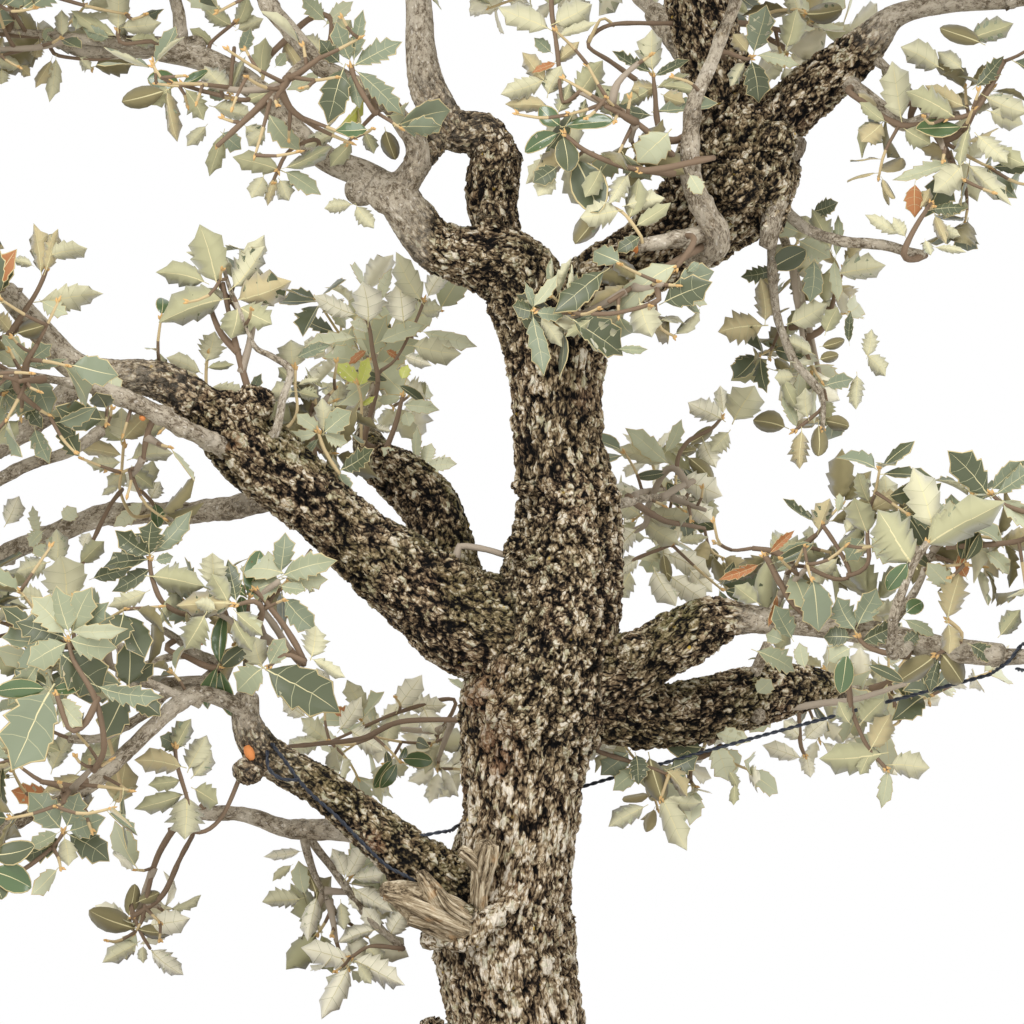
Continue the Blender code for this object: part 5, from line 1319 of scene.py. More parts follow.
@dataclass
class Framework:
    """The trunk, its roots and the boughs: one blended skin with real plates and cracks."""

    solid_sides: int = 24
    voxel_mm: float = 1.4
    blend_passes: int = 5
    cut_mm: float = 103.0
    crack_share: float = 0.085
    crack_least_mm: float = 0.6
    crack_most_mm: float = 2.7
    fissured_mm: float = 335.0
    fissured_run: tuple[float, ...] = (0.0, 235.0, 262.0, 395.0, 520.0)
    fissured_fall: tuple[float, ...] = (0.0, 15.4, 18.0, 34.2, 45.4)
    grain_fall: tuple[float, ...] = (0.0, 90.0, 103.0, 212.0, 274.0)
    callus: tuple[Station, ...] = ((-44, -30, 251, 8), (-36, -36, 249, 8), (-22, -38, 251, 8),
                                   (-14, -37, 258, 8), (-6, -34, 267, 8), (3, -31, 271, 8))
    pale_knobs: tuple[Station, ...] = ((-134, -40, 511, 9), (60, -34, 392, 9), (-6, -34, 356, 12),
                                       (-10, -4, 606, 12))
    rusty: tuple[Station, ...] = ((-137, -40, 494, 8), (-20, -30, 372, 26), (-8, -32, 345, 20),
                                  (-12, -34, 130, 40), (-66, -40, 300, 8))
    split_mm: float = 330.0
    root_count: int = 7
    root_reach_mm: float = 92.0
    root_top_mm: float = 168.0
    root_radius_mm: float = 17.0
    groups: dict[str, tuple[str, ...]] = field(default_factory=lambda: {
        "bark_trunk": ("trunk",),
        "bark_trunk_low": ("trunk",),
        "bark_left": ("bough_left", "bough_left_arm", "bough_rear_left", "bough_low_left"),
        "bark_right": ("bough_right", "bough_right_rear", "bough_right_leader", "bough_right_high"),
        "bark_crown": ("bough_left_leader", "bough_curl_low", "bough_curl_high", "bough_left_high",
                       "bough_apex", "bough_rear_top")})
    mossy: dict[str, float] = field(default_factory=lambda: {
        "bough_left": 0.75, "bough_right": 0.9, "bough_right_rear": 0.8, "bough_low_left": 0.7,
        "bough_rear_left": 0.8, "trunk": 0.28, "bough_left_leader": 0.4, "bough_right_leader": 0.35})
    smoother: dict[str, float] = field(default_factory=lambda: {
        "bough_left_leader": 1.5, "bough_left_high": 1.4, "bough_curl_high": 1.2, "bough_left_arm": 1.1,
        "bough_right_high": 1.15})
    coarser: dict[str, float] = field(default_factory=lambda: {"bough_left": 1.5, "bough_right": 1.2})

    def root_rows(self, index: int, rng: random.Random) -> list[Station]:
        """One surface root, from inside the trunk's foot down to the soil.

        Args:
            index: Which root it is.
            rng: Deals out what varies.

        Returns:
            Its stations.
        """
        turn = 2.0 * math.pi * (index + rng.uniform(-0.22, 0.22)) / self.root_count
        reach = self.root_reach_mm * rng.uniform(0.78, 1.0)
        side = rng.uniform(-0.16, 0.16)
        radius = self.root_radius_mm * rng.uniform(0.8, 1.1)
        rows = []
        for out, height, thick in ((0.18, 1.0, 0.80), (0.42, 0.46, 1.0), (0.68, 0.14, 0.8),
                                   (1.0, -0.16, 0.45)):
            angle = turn + side * out * out * 2.0
            level = self.cut_mm + (self.root_top_mm - self.cut_mm) * height
            rows.append((reach * out * math.cos(angle), reach * out * math.sin(angle), level,
                         radius * thick))
        return rows

    def solid(self, limbs: list[Limb]) -> Batch:
        """Round tubes for the limbs and roots, and the lumps on them, ready to be blended.

        Args:
            limbs: The limbs with rugged bark.

        Returns:
            The tubes and lumps, in millimetres.
        """
        batch = Batch()
        rng = random.Random(11)
        rows = [limb.stations for limb in limbs]
        rows += [self.root_rows(index, rng) for index in range(self.root_count)]
        for number, stations in enumerate(rows):
            places, radii = even_line(stations, 4.0)
            spots = tube_spots(len(places), self.solid_sides, 3.0, 0.16)
            wave = soft_noise(spots * 0.5 + number * 9.1, 40 + number)
            rough = wave.reshape(len(places), self.solid_sides) * radii[:, None] * 0.07
            batch.add(tube_shape(places, radii * 0.985, self.solid_sides, rough=rough))
        for lump in LUMPS:
            batch.add(lump.shape())
        for shape in batch.points:
            shape[:, 2] = np.maximum(shape[:, 2], self.cut_mm)
        return batch

    def blended(self, batch: Batch) -> tuple[np.ndarray, np.ndarray, np.ndarray]:
        """Remeshes the tubes as one skin.

        Args:
            batch: The tubes and lumps, in millimetres.

        Returns:
            Its points, its faces and its outward directions.
        """
        item = batch.piece("bark_source", [], scale=1.0)
        remesh = item.modifiers.new("one_skin", "REMESH")
        remesh.mode = "VOXEL"
        remesh.voxel_size = self.voxel_mm
        smooth = item.modifiers.new("blend", "SMOOTH")
        smooth.factor = 0.5
        smooth.iterations = self.blend_passes
        graph = bpy.context.evaluated_depsgraph_get()
        mesh = bpy.data.meshes.new_from_object(item.evaluated_get(graph))
        points = np.empty(len(mesh.vertices) * 3, np.float32)
        mesh.vertices.foreach_get("co", points)
        outward = np.empty(len(mesh.vertices) * 3, np.float32)
        mesh.vertices.foreach_get("normal", outward)
        corners = np.empty(len(mesh.loops), np.int32)
        mesh.loops.foreach_get("vertex_index", corners)
        bpy.data.objects.remove(item, do_unlink=True)
        bpy.data.meshes.remove(mesh)
        return (points.reshape(-1, 3).astype(float), corners.reshape(-1, 4),
                outward.reshape(-1, 3).astype(float))

    def carve(self, points: np.ndarray, outward: np.ndarray, limbs: list[Limb],
              lines: Lines) -> tuple[np.ndarray, dict[str, np.ndarray]]:
        """Moves the skin in at the cracks and out on the plates.

        Args:
            points: The smooth skin, in millimetres.
            outward: Its outward directions.
            limbs: The limbs that it covers.
            lines: Their middle lines.

        Returns:
            The carved points, and the numbers that the finish reads.
        """
        station = lines.nearest(points)
        owner = lines.owner[station]
        radius = lines.radii[station]
        local = lines.local(points, station)
        mean = np.array([np.mean([row[3] for row in limb.stations]) for limb in limbs])[owner]
        low = eased(-points[:, 2], -self.fissured_mm - 14.0, -self.fissured_mm + 14.0) * (owner == 0)
        coarser = np.array([self.coarser.get(limb.name, 1.0) for limb in limbs])[owner]
        width = np.clip(3.0 + 0.10 * mean, 3.4, 6.2) * coarser
        fall = np.where(owner == 0, np.interp(local[:, 2], self.fissured_run, self.fissured_fall),
                        local[:, 2] / (width * 1.55))
        spots = np.stack((local[:, 0] / width, local[:, 1] / width, fall), axis=-1)
        spots = spots + owner[:, None] * 37.7
        warp = np.stack([soft_noise(points / 9.0, 70 + axis, 3) for axis in range(3)], axis=-1)
        spots = spots + warp * (0.34, 0.34, 0.26)
        edge, tone = cracked(spots, 3)
        wide_edge, wide_tone = cracked(spots * (0.46, 0.46, 0.40) + warp * 0.2, 21)
        small, knob = cracked(spots * 2.3 + warp * 0.5, 9)
        plate = eased(edge, 0.0, 0.15)
        fissure = eased(wide_edge, 0.0, 0.085)
        chip = eased(small, 0.0, 0.20)
        depth = np.clip(self.crack_least_mm + self.crack_share * radius, 0.0, self.crack_most_mm)
        smoother = np.array([self.smoother.get(limb.name, 1.0) for limb in limbs])[owner]
        inner = eased(points[:, 0], -46.0, -30.0)
        smoother = np.where(smoother > 1.3, smoother + (1.0 - smoother) * inner, smoother)
        age = eased(radius / smoother, 6.2, 10.5)
        depth = depth * (0.12 + 0.88 * age)
        fine = soft_noise(points / 2.2, 90)
        rim = self.near_to(points, even_line(self.callus, 2.0))
        depth = depth * (1.0 - 0.6 * rim)
        rise = depth * (-0.75 * (1.0 - fissure) - 0.42 * (1.0 - plate) + 0.62 * (tone - 0.5) * plate
                        + 0.40 * (wide_tone - 0.5) + (0.34 * (knob - 0.5) + 0.16 * (chip - 0.6))
                        + 0.20 * fine)
        above = eased(points[:, 2], self.cut_mm, self.cut_mm + 4.0)
        carved = points + outward * (rise * above)[:, None]
        carved[:, 2] = np.maximum(carved[:, 2], self.cut_mm)
        grain = local * GRAIN_SCALE
        grain[:, 2] = np.where(owner == 0, MM * np.interp(local[:, 2], self.fissured_run, self.grain_fall),
                               grain[:, 2])
        moss = np.array([self.mossy.get(limb.name, 0.15) for limb in limbs])[owner]
        patches = eased(soft_noise(points / 26.0, 55, 3), -0.3, 0.45)
        # relief: how high the skin stands between the cracks; the finish paints the low places dark by it,
        # partly painted shade.
        lifted = 0.30 * rise / np.maximum(depth, 0.1)
        relief = fissure * (0.34 + 0.66 * plate) * (0.7 + 0.3 * chip) + lifted
        knobs = np.array(self.pale_knobs, float)
        pale = rim * 0.6 + self.near_to(points, (knobs[:, :3], knobs[:, 3])) * 0.5
        rusty = np.array(self.rusty, float)
        marks = {"relief": np.clip(relief + 0.35 * rim, 0.0, 1.0),
                 "tone": np.clip(tone * 0.5 + knob * 0.5 + 0.34 * low + pale, 0.0, 1.6), "age": age,
                 "rust": self.near_to(points, (rusty[:, :3], rusty[:, 3])) * np.where(tone > 0.5, 0.5, 0.2),
                 "moss": moss * patches * (0.6 + 0.4 * outward[:, 2]) * (1.0 - low),
                 "grain": grain}
        return carved, marks

    def near_to(self, points: np.ndarray, spots: tuple[np.ndarray, np.ndarray]) -> np.ndarray:
        """How near each point is to any of some spots: 1 at a spot and 0 at its radius."""
        gaps = np.sqrt(((points[:, None] - spots[0][None]) ** 2).sum(axis=-1)) / spots[1]
        return eased(-gaps.min(axis=1), -1.0, -0.45)

    def unrolled(self, points: np.ndarray, faces: np.ndarray, owner: np.ndarray,
                 lines: Lines) -> np.ndarray:
        """Unrolls the skin limb by limb, each in an upright strip of one square map.

        Args:
            points: The skin's points.
            faces: Its four-cornered faces.
            owner: The limb that each face is on.
            lines: The limbs' middle lines.

        Returns:
            Two map coordinates for each face corner.
        """
        used = np.unique(owner)
        girth = np.array([2.0 * math.pi * lines.radii[lines.owner == limb].mean() for limb in used])
        area = girth * np.array([lines.lengths[limb] for limb in used])
        widths = area / area.sum()
        starts = np.concatenate(([0.0], np.cumsum(widths)[:-1]))
        flat = np.zeros((len(faces), 4, 2))
        for limb, start, wide in zip(used, starts, widths):
            mine = np.flatnonzero(owner == limb)
            own = np.flatnonzero(lines.owner == limb)
            corner = faces[mine].ravel()
            spots, back = np.unique(corner, return_inverse=True)
            gap = ((points[spots][:, None] - lines.places[own][None]) ** 2).sum(axis=-1)
            local = lines.local(points[spots], own[gap.argmin(axis=1)])[back].reshape(-1, 4, 3)
            turn = (np.arctan2(local[..., 1], local[..., 0]) / (2.0 * math.pi)) % 1.0
            wraps = turn.max(axis=1) - turn.min(axis=1) > 0.5
            turn = np.where(wraps[:, None] & (turn < 0.5), turn + 1.0, turn)
            flat[mine, :, 0] = start + wide * (0.03 + 0.82 * turn)
            flat[mine, :, 1] = 0.02 + 0.96 * np.clip(local[..., 2] / lines.lengths[limb], -0.02, 1.02)
        return flat

    def piece(self, name: str, skin: Skin3D, owner: np.ndarray, lines: Lines,
              finish: bpy.types.Material) -> bpy.types.Object:
        """Makes one piece of the skin with its marks and its map.

        Args:
            name: The piece's name.
            skin: The skin that it is a part of.
            owner: The limb that each of its faces is on.
            lines: The limbs' middle lines.
            finish: The bark's material.

        Returns:
            The object.
        """
        whole = skin.faces >= 0
        used = np.unique(skin.faces[whole])
        number = np.zeros(len(skin.points), int)
        number[used] = np.arange(len(used))
        faces = np.where(whole, number[skin.faces], -1)
        batch = Batch()
        batch.add(Shape(skin.points[used], faces, np.zeros(len(faces), int)))
        item = batch.piece(name, [finish])
        keep_marks(item, {mark: values[used] for mark, values in skin.marks.items()})
        unrolled = item.data.uv_layers.new(name="OFBake")
        filled = np.where(whole, faces, faces[:, :1])
        flat = self.unrolled(skin.points[used], filled, owner, lines)[whole]
        unrolled.data.foreach_set("uv", flat.astype(np.float32).ravel())
        return item

    def build(self, finish: bpy.types.Material) -> list[bpy.types.Object]:
        """Makes the rugged skin in its pieces, and the young boughs.

        Args:
            finish: The bark's material.

        Returns:
            The pieces.
        """
        rugged = [limb for limb in LIMBS if limb.skin is Skin.RUGGED]
        names = [limb.name for limb in rugged]
        lines = Lines(tuple(rugged))
        points, faces, outward = self.blended(self.solid(rugged))
        carved, marks = self.carve(points, outward, rugged, lines)
        middles = carved[faces].mean(axis=1)
        owner, level = lines.owner[lines.nearest(middles)], middles[:, 2]
        made = []
        for name, members in self.groups.items():
            mine = np.isin(owner, [names.index(member) for member in members])
            if "trunk" in members:
                mine &= (level < self.split_mm) == name.endswith("low")
            skin = Skin3D(carved, faces[mine], marks)
            item = self.piece(name, skin, owner[mine], lines, finish)
            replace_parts(item, *members)
            made.append(item)
        young = [limb for limb in LIMBS if limb.skin is Skin.YOUNG]
        made.append(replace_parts(self.young("bark_young", young, finish), *[limb.name for limb in young]))
        for item in made:
            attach(item, ROOT)
        return made

    def young(self, name: str, limbs: list[Limb], finish: bpy.types.Material, sides: int = 16,
              gap: float = 1.6) -> bpy.types.Object:
        """Makes a piece of young boughs or stems, smooth but for small knots.

        Args:
            name: The piece's name.
            limbs: The boughs or stems in it.
            finish: The bark's material.
            sides: How many sides each has.
            gap: The distance between its rings, in millimetres.

        Returns:
            The object.
        """
        lines = Lines(tuple(limbs), 2.0)
        batch = Batch()
        for number, limb in enumerate(limbs):
            batch.add(young_tube(limb.stations, sides, gap, number + 200))
        points, faces = np.concatenate(batch.points), np.concatenate(batch.faces)
        station = lines.nearest(points)
        tone = 0.5 + 0.5 * soft_noise(points / 9.0, 31)
        marks = {"relief": np.full(len(points), 0.6), "tone": tone,
                 "age": 0.22 * eased(soft_noise(points / 12.0, 32), 0.0, 0.7),
                 "moss": np.zeros(len(points)),
                 "grain": lines.local(points, station) * GRAIN_SCALE}
        owner = lines.owner[station][faces[:, 0]]
        return self.piece(name, Skin3D(points, faces, marks), owner, lines, finish)


def young_tube(stations: Sequence[Station], sides: int, gap: float, salt: int) -> Shape:
    """A young shoot: a tube with slight knots and swellings along it.

    Args:
        stations: Its rows of x, y, z and radius, in millimetres.
        sides: How many sides it has.
        gap: The distance between its rings.
        salt: Picks its own knots.

    Returns:
        The tube.
    """
    places, radii = even_line(stations, gap)
    count = len(places)
    spots = tube_spots(count, sides, 1.3, gap * 0.22)
    wave = soft_noise(spots + salt * 3.7, salt).reshape(count, sides)
    along = np.arange(count)[:, None] * np.array([gap * 0.16, 0, 0])
    ring = eased(soft_noise(along + salt, salt + 1), 0.35, 0.8)
    sway = np.stack([soft_noise(places / 22.0 + salt, salt + axis) for axis in range(3)], axis=-1)
    middle = places + sway * np.minimum(radii, 4.0)[:, None] * 0.35
    return tube_shape(middle, radii * (1.0 + 0.16 * ring), sides, rough=wave * radii[:, None] * 0.09)


@dataclass(frozen=True)
class DeadwoodFinish:
    """Bare weathered wood: grey-brown with pale and dark streaks along its grain."""

    name: str = "deadwood"
    dark: Colour = paint(58, 46, 34)
    grey: Colour = paint(156, 138, 110)
    pale: Colour = paint(222, 208, 180)
    ochre: Colour = paint(186, 142, 92)

    def material(self) -> bpy.types.Material:
        """Builds the finish, streaked along the grain kept on the mesh.

        Returns:
            The material.
        """
        recipe = Recipe(self.name)
        grain = recipe.grain()
        streak = recipe.noise(1500.0, 4.0, 0.7, grain)
        broad = recipe.noise(420.0, 3.0, 0.6, grain)
        relief = recipe.read("relief")
        height = (streak - 0.5) * 1.9 + (broad - 0.5) * 1.3 + relief * 0.6 + 0.10
        colour = recipe.ramp(height, [(0.08, self.dark), (0.45, self.grey), (0.85, self.pale)])
        patch = recipe.noise(90.0, 2.0).between(0.58, 0.72)
        colour = recipe.mix(patch * 0.5, colour, self.ochre)
        recipe.relief(streak * 0.7 + broad * 0.5, 0.9, 0.0009)
        return recipe.finish(base_color=colour, roughness=0.92, specular_ior_level=0.2)


@dataclass
class Deadwood:
    """The bare stubs where boughs were lost, ribbed along their grain."""

    sides: int = 40
    gap_mm: float = 1.3
    rib_share: float = 0.22
    stubs: tuple[tuple[Station, ...], ...] = (
        ((-15, -28, 263, 3.2), (-16, -33, 272, 4), (-15, -36, 282, 4.6), (-13, -39, 292, 5.8),
         (-12, -41, 299, 5.2)),
        ((-15, -38, 286, 3.4), (-20, -40, 292, 3.4), (-25, -42, 296, 2.6)),
        ((-18, -26, 254, 8), (-32, -30, 262, 11.5), (-44, -34, 268, 10.5), (-55, -38, 274, 6.5),
         (-63, -41, 277, 3.4)),
        ((-30, -34, 262, 6.5), (-36, -38, 271, 5.5), (-41, -40, 279, 4.2), (-45, -41, 285, 2.2)),
        ((-22, -36, 256, 4), (-36, -41, 263, 4.2), (-50, -43, 270, 3.2), (-62, -43, 274, 1.8)),
        ((-26, -34, 252, 4), (-38, -38, 258, 3.6), (-50, -40, 262, 2.4)),
        ((-20, -38, 262, 3), (-30, -43, 269, 2.8), (-36, -44, 277, 1.6)))

    def build(self) -> bpy.types.Object:
        """Makes the stubs as one piece.

        Returns:
            The object.
        """
        batch = Batch()
        marks = {"relief": [], "grain": []}
        for number, stations in enumerate(self.stubs):
            places, radii = even_line(stations, self.gap_mm)
            grid = (len(places), self.sides)
            spots = tube_spots(*grid, 3.4, 0.05)
            rib = soft_noise(spots + number * 5.3, 400 + number).reshape(grid)
            torn = soft_noise(spots * 0.6 + number * 8.1, 420).reshape(grid)
            to_end = eased(np.arange(len(places)), len(places) - 7.0, len(places) - 1.0)
            torn = torn * to_end[:, None] * 0.4
            rough = (rib * self.rib_share + torn) * radii[:, None]
            batch.add(tube_shape(places, radii, self.sides, rough=rough))
            marks["relief"].append(np.append(np.clip(0.5 + 0.5 * rib, 0.0, 1.0).ravel(), (0.4, 0.1)))
            grain = tube_spots(*grid, 1.0, self.gap_mm * 0.12)
            grain[:, :2] *= np.repeat(radii, self.sides)[:, None]
            marks["grain"].append(np.concatenate((grain, np.zeros((2, 3)))) * MM)
        item = batch.piece("deadwood", [DeadwoodFinish().material()])
        keep_marks(item, {mark: np.concatenate(values) for mark, values in marks.items()})
        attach(item, ROOT)
        return item


# ---------------------------------------------------------------- the construction's growth rule


def ellipsoid_depth(point: Vector, mass: Mass) -> float:
    """How far out a point lies in a mass: 0 at its middle and 1 at its edge."""
    offset = point - Vector(mass.centre)
    return math.sqrt(sum((offset[axis] / mass.reach[axis]) ** 2 for axis in range(3)))


def in_own_space(points: list[Vector], mass: Mass) -> bool:
    """Whether points lie within a mass and nearer to it than to its neighbours.

    Args:
        points: The points.
        mass: The mass.

    Returns:
        True if all of them are.
    """
    for point in points:
        depth = ellipsoid_depth(point, mass)
        if depth > 1.0:
            return False
        nearest = min(ellipsoid_depth(point, other) for other in MASSES if other is not mass)
        if nearest < depth + 2.0 * MASS_MARGIN:
            return False
    return True


def clear_of(points: list[Vector], limbs: BVHTree, clearance: float = LIMB_CLEARANCE_MM) -> bool:
    """Whether points and the lines between them keep clear of the limbs.

    Args:
        points: The points, in order, in millimetres.
        limbs: The limbs' search tree.
        clearance: The least gap to a limb, in millimetres.

    Returns:
        True if they are clear.
    """
    for point in points:
        if limbs.find_nearest(point * MM)[3] < clearance * MM:
            return False
    for start, end in zip(points, points[1:]):
        step = (end - start) * MM
        if limbs.ray_cast(start * MM, step.normalized(), step.length)[0] is not None:
            return False
    return True


def bent(start: Vector, away: Vector, end: Vector, spans: int) -> list[Vector]:
    """Points from start to end on a curve that sets off along a direction.

    Args:
        start: The first point.
        away: The direction at the start.
        end: The last point.
        spans: How many spans to cut it into.

    Returns:
        The points, both ends included.
    """
    knee = start + away.normalized() * (end - start).length * 0.42
    rows = []
    for index in range(spans + 1):
        part = index / spans
        rows.append(start.lerp(knee, part).lerp(knee.lerp(end, part), part))
    return rows


def host_direction(mass: Mass) -> Vector:
    """The way a mass's stem sets off from the limb that carries it.

    Args:
        mass: The mass.

    Returns:
        The direction.
    """
    limb = next(limb for limb in LIMBS if limb.name == mass.host)
    points = [Vector(row[:3]) for row in smooth_stations(limb.stations, 4)]
    foot = Vector(mass.foot)
    nearest = min(range(1, len(points)), key=lambda index: (points[index] - foot).length)
    along = (points[nearest] - points[nearest - 1]).normalized()
    outward = (Vector(mass.centre) - foot).normalized()
    at_tip = nearest == len(points) - 1
    return along + 0.6 * outward if at_tip else outward + 0.3 * along


def grow_twigs(mass: Mass, length: float, limbs: BVHTree, rng: random.Random) -> list[list[Vector]]:
    """The stem of a mass and its twigs, as lists of points.

    Args:
        mass: The mass.
        length: The length of its large leaves, in millimetres.
        limbs: The limbs' search tree.
        rng: Deals out what varies.

    Returns:
        The stem first, then the twigs.
    """
    centre = Vector(mass.centre)
    stem = bent(Vector(mass.foot), host_direction(mass), centre, 3)
    twigs = [stem]
    for index in range(mass.twigs):
        height = 1.0 - 2.0 * (index + 0.5) / mass.twigs
        turn = index * GOLDEN_TURN + rng.uniform(-0.3, 0.3)
        level = math.sqrt(1.0 - height * height)
        ray = Vector((mass.reach[0] * level * math.cos(turn),
                      mass.reach[1] * level * math.sin(turn), mass.reach[2] * height))
        share = max(0.3, 1.0 - 0.62 * length / ray.length) * rng.uniform(0.92, 1.06)
        start = stem[2].lerp(stem[3], rng.uniform(-0.5, 0.95))
        path = bent(start, ray.normalized() + (stem[3] - stem[2]).normalized(), centre + ray * share, 2)
        if clear_of(path, limbs):
            twigs.append(path)
    return twigs


def leaf_frame(root: Vector, direction: Vector, up: Vector) -> Matrix:
    """Axes of a place for leaves: along its length, across it and out of its face.

    Args:
        root: Where its leaf leaves the twig.
        direction: The way the leaf points.
        up: The way that its face is turned to.

    Returns:
        The axes, with their origin at the root.
    """
    along = direction.normalized()
    across = up.cross(along).normalized()
    frame = Matrix((along, across, along.cross(across))).transposed().to_4x4()
    frame.translation = root - along * LEAF_SINK_MM
    return frame


def leaf_corners(frame: Matrix, size: float) -> list[Vector]:
    """The root, sides, tip and face middles of a place for leaves.

    Args:
        frame: The axes of the place.
        size: The leaf's length.

    Returns:
        The six points.
    """
    wide, thick, widest = size * LEAF_WIDTH / 2.0, size * LEAF_THICKNESS / 2.0, size * LEAF_WIDEST
    local = ((0.0, 0.0, 0.0), (widest, wide, 0.0), (size, 0.0, 0.0), (widest, -wide, 0.0),
             (widest, 0.0, thick), (widest, 0.0, -thick))
    return [frame @ Vector(corner) for corner in local]


def leaf_search(leaves: list[list[Vector]]) -> BVHTree:
    """A search tree over the eight faces at each place for leaves.

    Args:
        leaves: The six points of each place.

    Returns:
        The tree.
    """
    corners = [corner for leaf in leaves for corner in leaf]
    faces = []
    for first in range(0, len(corners), 6):
        for side in range(4):
            near, far = first + side, first + (side + 1) % 4
            faces += [(near, far, first + 4), (far, near, first + 5)]
    return BVHTree.FromPolygons(corners, faces)


def twig_search(twigs: list[list[Vector]]) -> BVHTree:
    """A search tree over flat strips along twigs.

    Args:
        twigs: The points of each twig.

    Returns:
        The tree.
    """
    corners = []
    for path in twigs:
        for start, end in zip(path, path[1:]):
            side = (end - start).orthogonal().normalized() * TWIG_END_MM
            corners += [start + side, end + side, end - side, start - side]
    return BVHTree.FromPolygons(corners, [(n, n + 1, n + 2, n + 3) for n in range(0, len(corners), 4)])


def leaf_fits(corners: list[Vector], mass: Mass, limbs: BVHTree, blocked: BVHTree | None,
              placed: list[list[Vector]]) -> bool:
    """Whether a place is in its mass and touches no limb, other twig or other place.

    Args:
        corners: The six points of the place.
        mass: The mass that it has to be in.
        limbs: The limbs' search tree.
        blocked: The other twigs' search tree, if any.
        placed: The places taken so far.

    Returns:
        True if it fits.
    """
    if not in_own_space(corners[1:4], mass) or not clear_of(corners[:4] + corners[:1], limbs):
        return False
    shape = leaf_search([corners])
    if blocked and blocked.overlap(shape):
        return False
    return not (placed and leaf_search(placed).overlap(shape))


def leaf_places(mass: Mass, twigs: list[list[Vector]], length: float, limbs: BVHTree,
                rng: random.Random) -> list[tuple[Matrix, float]]:
    """Places (frame and size) set round the twigs, where the construction has one large leaf.

    Args:
        mass: The mass.
        twigs: Its stem and twigs.
        length: The length of its large leaves.
        limbs: The limbs' search tree.
        rng: Deals out what varies.

    Returns:
        The axes of each place and its leaf's size.
    """
    places = []
    placed = []
    for index, path in enumerate(twigs):
        others = twigs[:index] + twigs[index + 1:]
        blocked = twig_search(others) if others else None
        turn = rng.uniform(0.0, 2.0 * math.pi)
        heading = (path[-1] - path[-2]).normalized()
        side = heading.orthogonal().normalized()
        for order in range(mass.leaves):
            turn += GOLDEN_TURN + rng.uniform(-0.3, 0.3)
            lean = 0.35 if order == 0 else rng.uniform(0.7, 1.2)
            size = length * rng.uniform(0.86, 1.08)
            up = Vector((rng.uniform(-0.6, 0.6), rng.uniform(-0.9, 0.1), 1.0))
            root = path[-1] - heading * (1.5 + order * LEAF_STEP * length)
            for extra, share in itertools.product(LEAF_TURNS, LEAF_SHARES):
                out = Matrix.Rotation(turn + extra, 3, heading) @ side
                frame = leaf_frame(root, heading * math.cos(lean) + out * math.sin(lean), up)
                corners = leaf_corners(frame, size * share)
                if leaf_fits(corners, mass, limbs, blocked, placed):
                    placed.append(corners)
                    places.append((frame, size * share))
                    break
    return places


# ---------------------------------------------------------------- leaves


class LeafPart(Enum):
    """The parts of a leaf, each with its own colour."""

    TOP = 0
    UNDER = 1
    RIB = 2
    MARGIN = 3
    VEIN = 4


class LeafKind(Enum):
    """The kinds of spray on the tree, by how their leaves look."""

    GREY = "grey"
    SHADE = "shade"
    GLOSSY = "glossy"
    YOUNG = "young"
    # Sprays at the back, with paler tops and undersides: painted light, as if the white surround lit the rear
    # of the crown.
    BACK = "back"


TOPS = (PlainFinish("leaf_top_grey", paint(150, 155, 124), 0.50, 0.2),
        PlainFinish("leaf_top_pale", paint(180, 182, 150), 0.54, 0.25),
        PlainFinish("leaf_top_blue", paint(128, 136, 110), 0.45, 0.15),
        PlainFinish("leaf_top_deep", paint(88, 94, 68), 0.38, 0.05),
        PlainFinish("leaf_top_glossy", paint(86, 106, 68), 0.26, 0.0, 0.35),
        PlainFinish("leaf_top_young", paint(190, 194, 96), 0.45, 0.1),
        PlainFinish("leaf_top_rust", paint(170, 112, 66), 0.6, 0.1),
        # The palest top, painted light, given only to leaves at the back.
        PlainFinish("leaf_top_painted_light", paint(206, 206, 175), 0.6, 0.3))
UNDERS = (PlainFinish("leaf_under_felt", paint(204, 199, 164), 0.85, 0.4),
          PlainFinish("leaf_under_green", paint(176, 173, 134), 0.85, 0.4),
          PlainFinish("leaf_under_warm", paint(190, 175, 132), 0.85, 0.4),
          PlainFinish("leaf_under_shade", paint(134, 124, 86), 0.85, 0.3),
          # The palest underside, painted light, given only to leaves at the back.
          PlainFinish("leaf_under_painted_light", paint(242, 236, 210), 0.85, 0.5))
RIB = PlainFinish("leaf_rib", paint(216, 206, 158), 0.6)
MARGIN = PlainFinish("leaf_margin", paint(206, 188, 138), 0.6)
VEIN = PlainFinish("leaf_vein", paint(176, 174, 136), 0.6)
UNDER_START = len(TOPS)
RIB_SLOT = len(TOPS) + len(UNDERS)
MARGIN_SLOT = RIB_SLOT + 1
VEIN_SLOT = RIB_SLOT + 2
GREY, PALE, BLUE, DEEP, GLOSSY, YOUNG, RUST, TOP_LIT = range(len(TOPS))
FELT, GREEN, WARM, SHADED, FELT_LIT = range(len(UNDERS))
KIND_TOPS = {
    # The grey kind deals out blue and deep tops often, to darken the front of the crown: partly the leaves'
    # own tones, partly painted shade.
    LeafKind.GREY: (GREY, PALE, BLUE, BLUE, DEEP, DEEP), LeafKind.SHADE: (BLUE, DEEP, DEEP),
    LeafKind.BACK: (PALE, PALE, TOP_LIT, TOP_LIT), LeafKind.GLOSSY: (GLOSSY, GLOSSY, DEEP),
    LeafKind.YOUNG: (YOUNG, PALE, PALE)}
KIND_UNDERS = {
    # The grey kind's shaded undersides darken the front of the crown: partly the leaves' own tones, partly
    # painted shade.
    LeafKind.GREY: (FELT, FELT, GREEN, WARM, SHADED, SHADED), LeafKind.SHADE: (GREEN, WARM, SHADED),
    LeafKind.BACK: (FELT_LIT, FELT_LIT, FELT), LeafKind.GLOSSY: (GREEN, WARM, SHADED),
    LeafKind.YOUNG: (GREEN, WARM, FELT)}
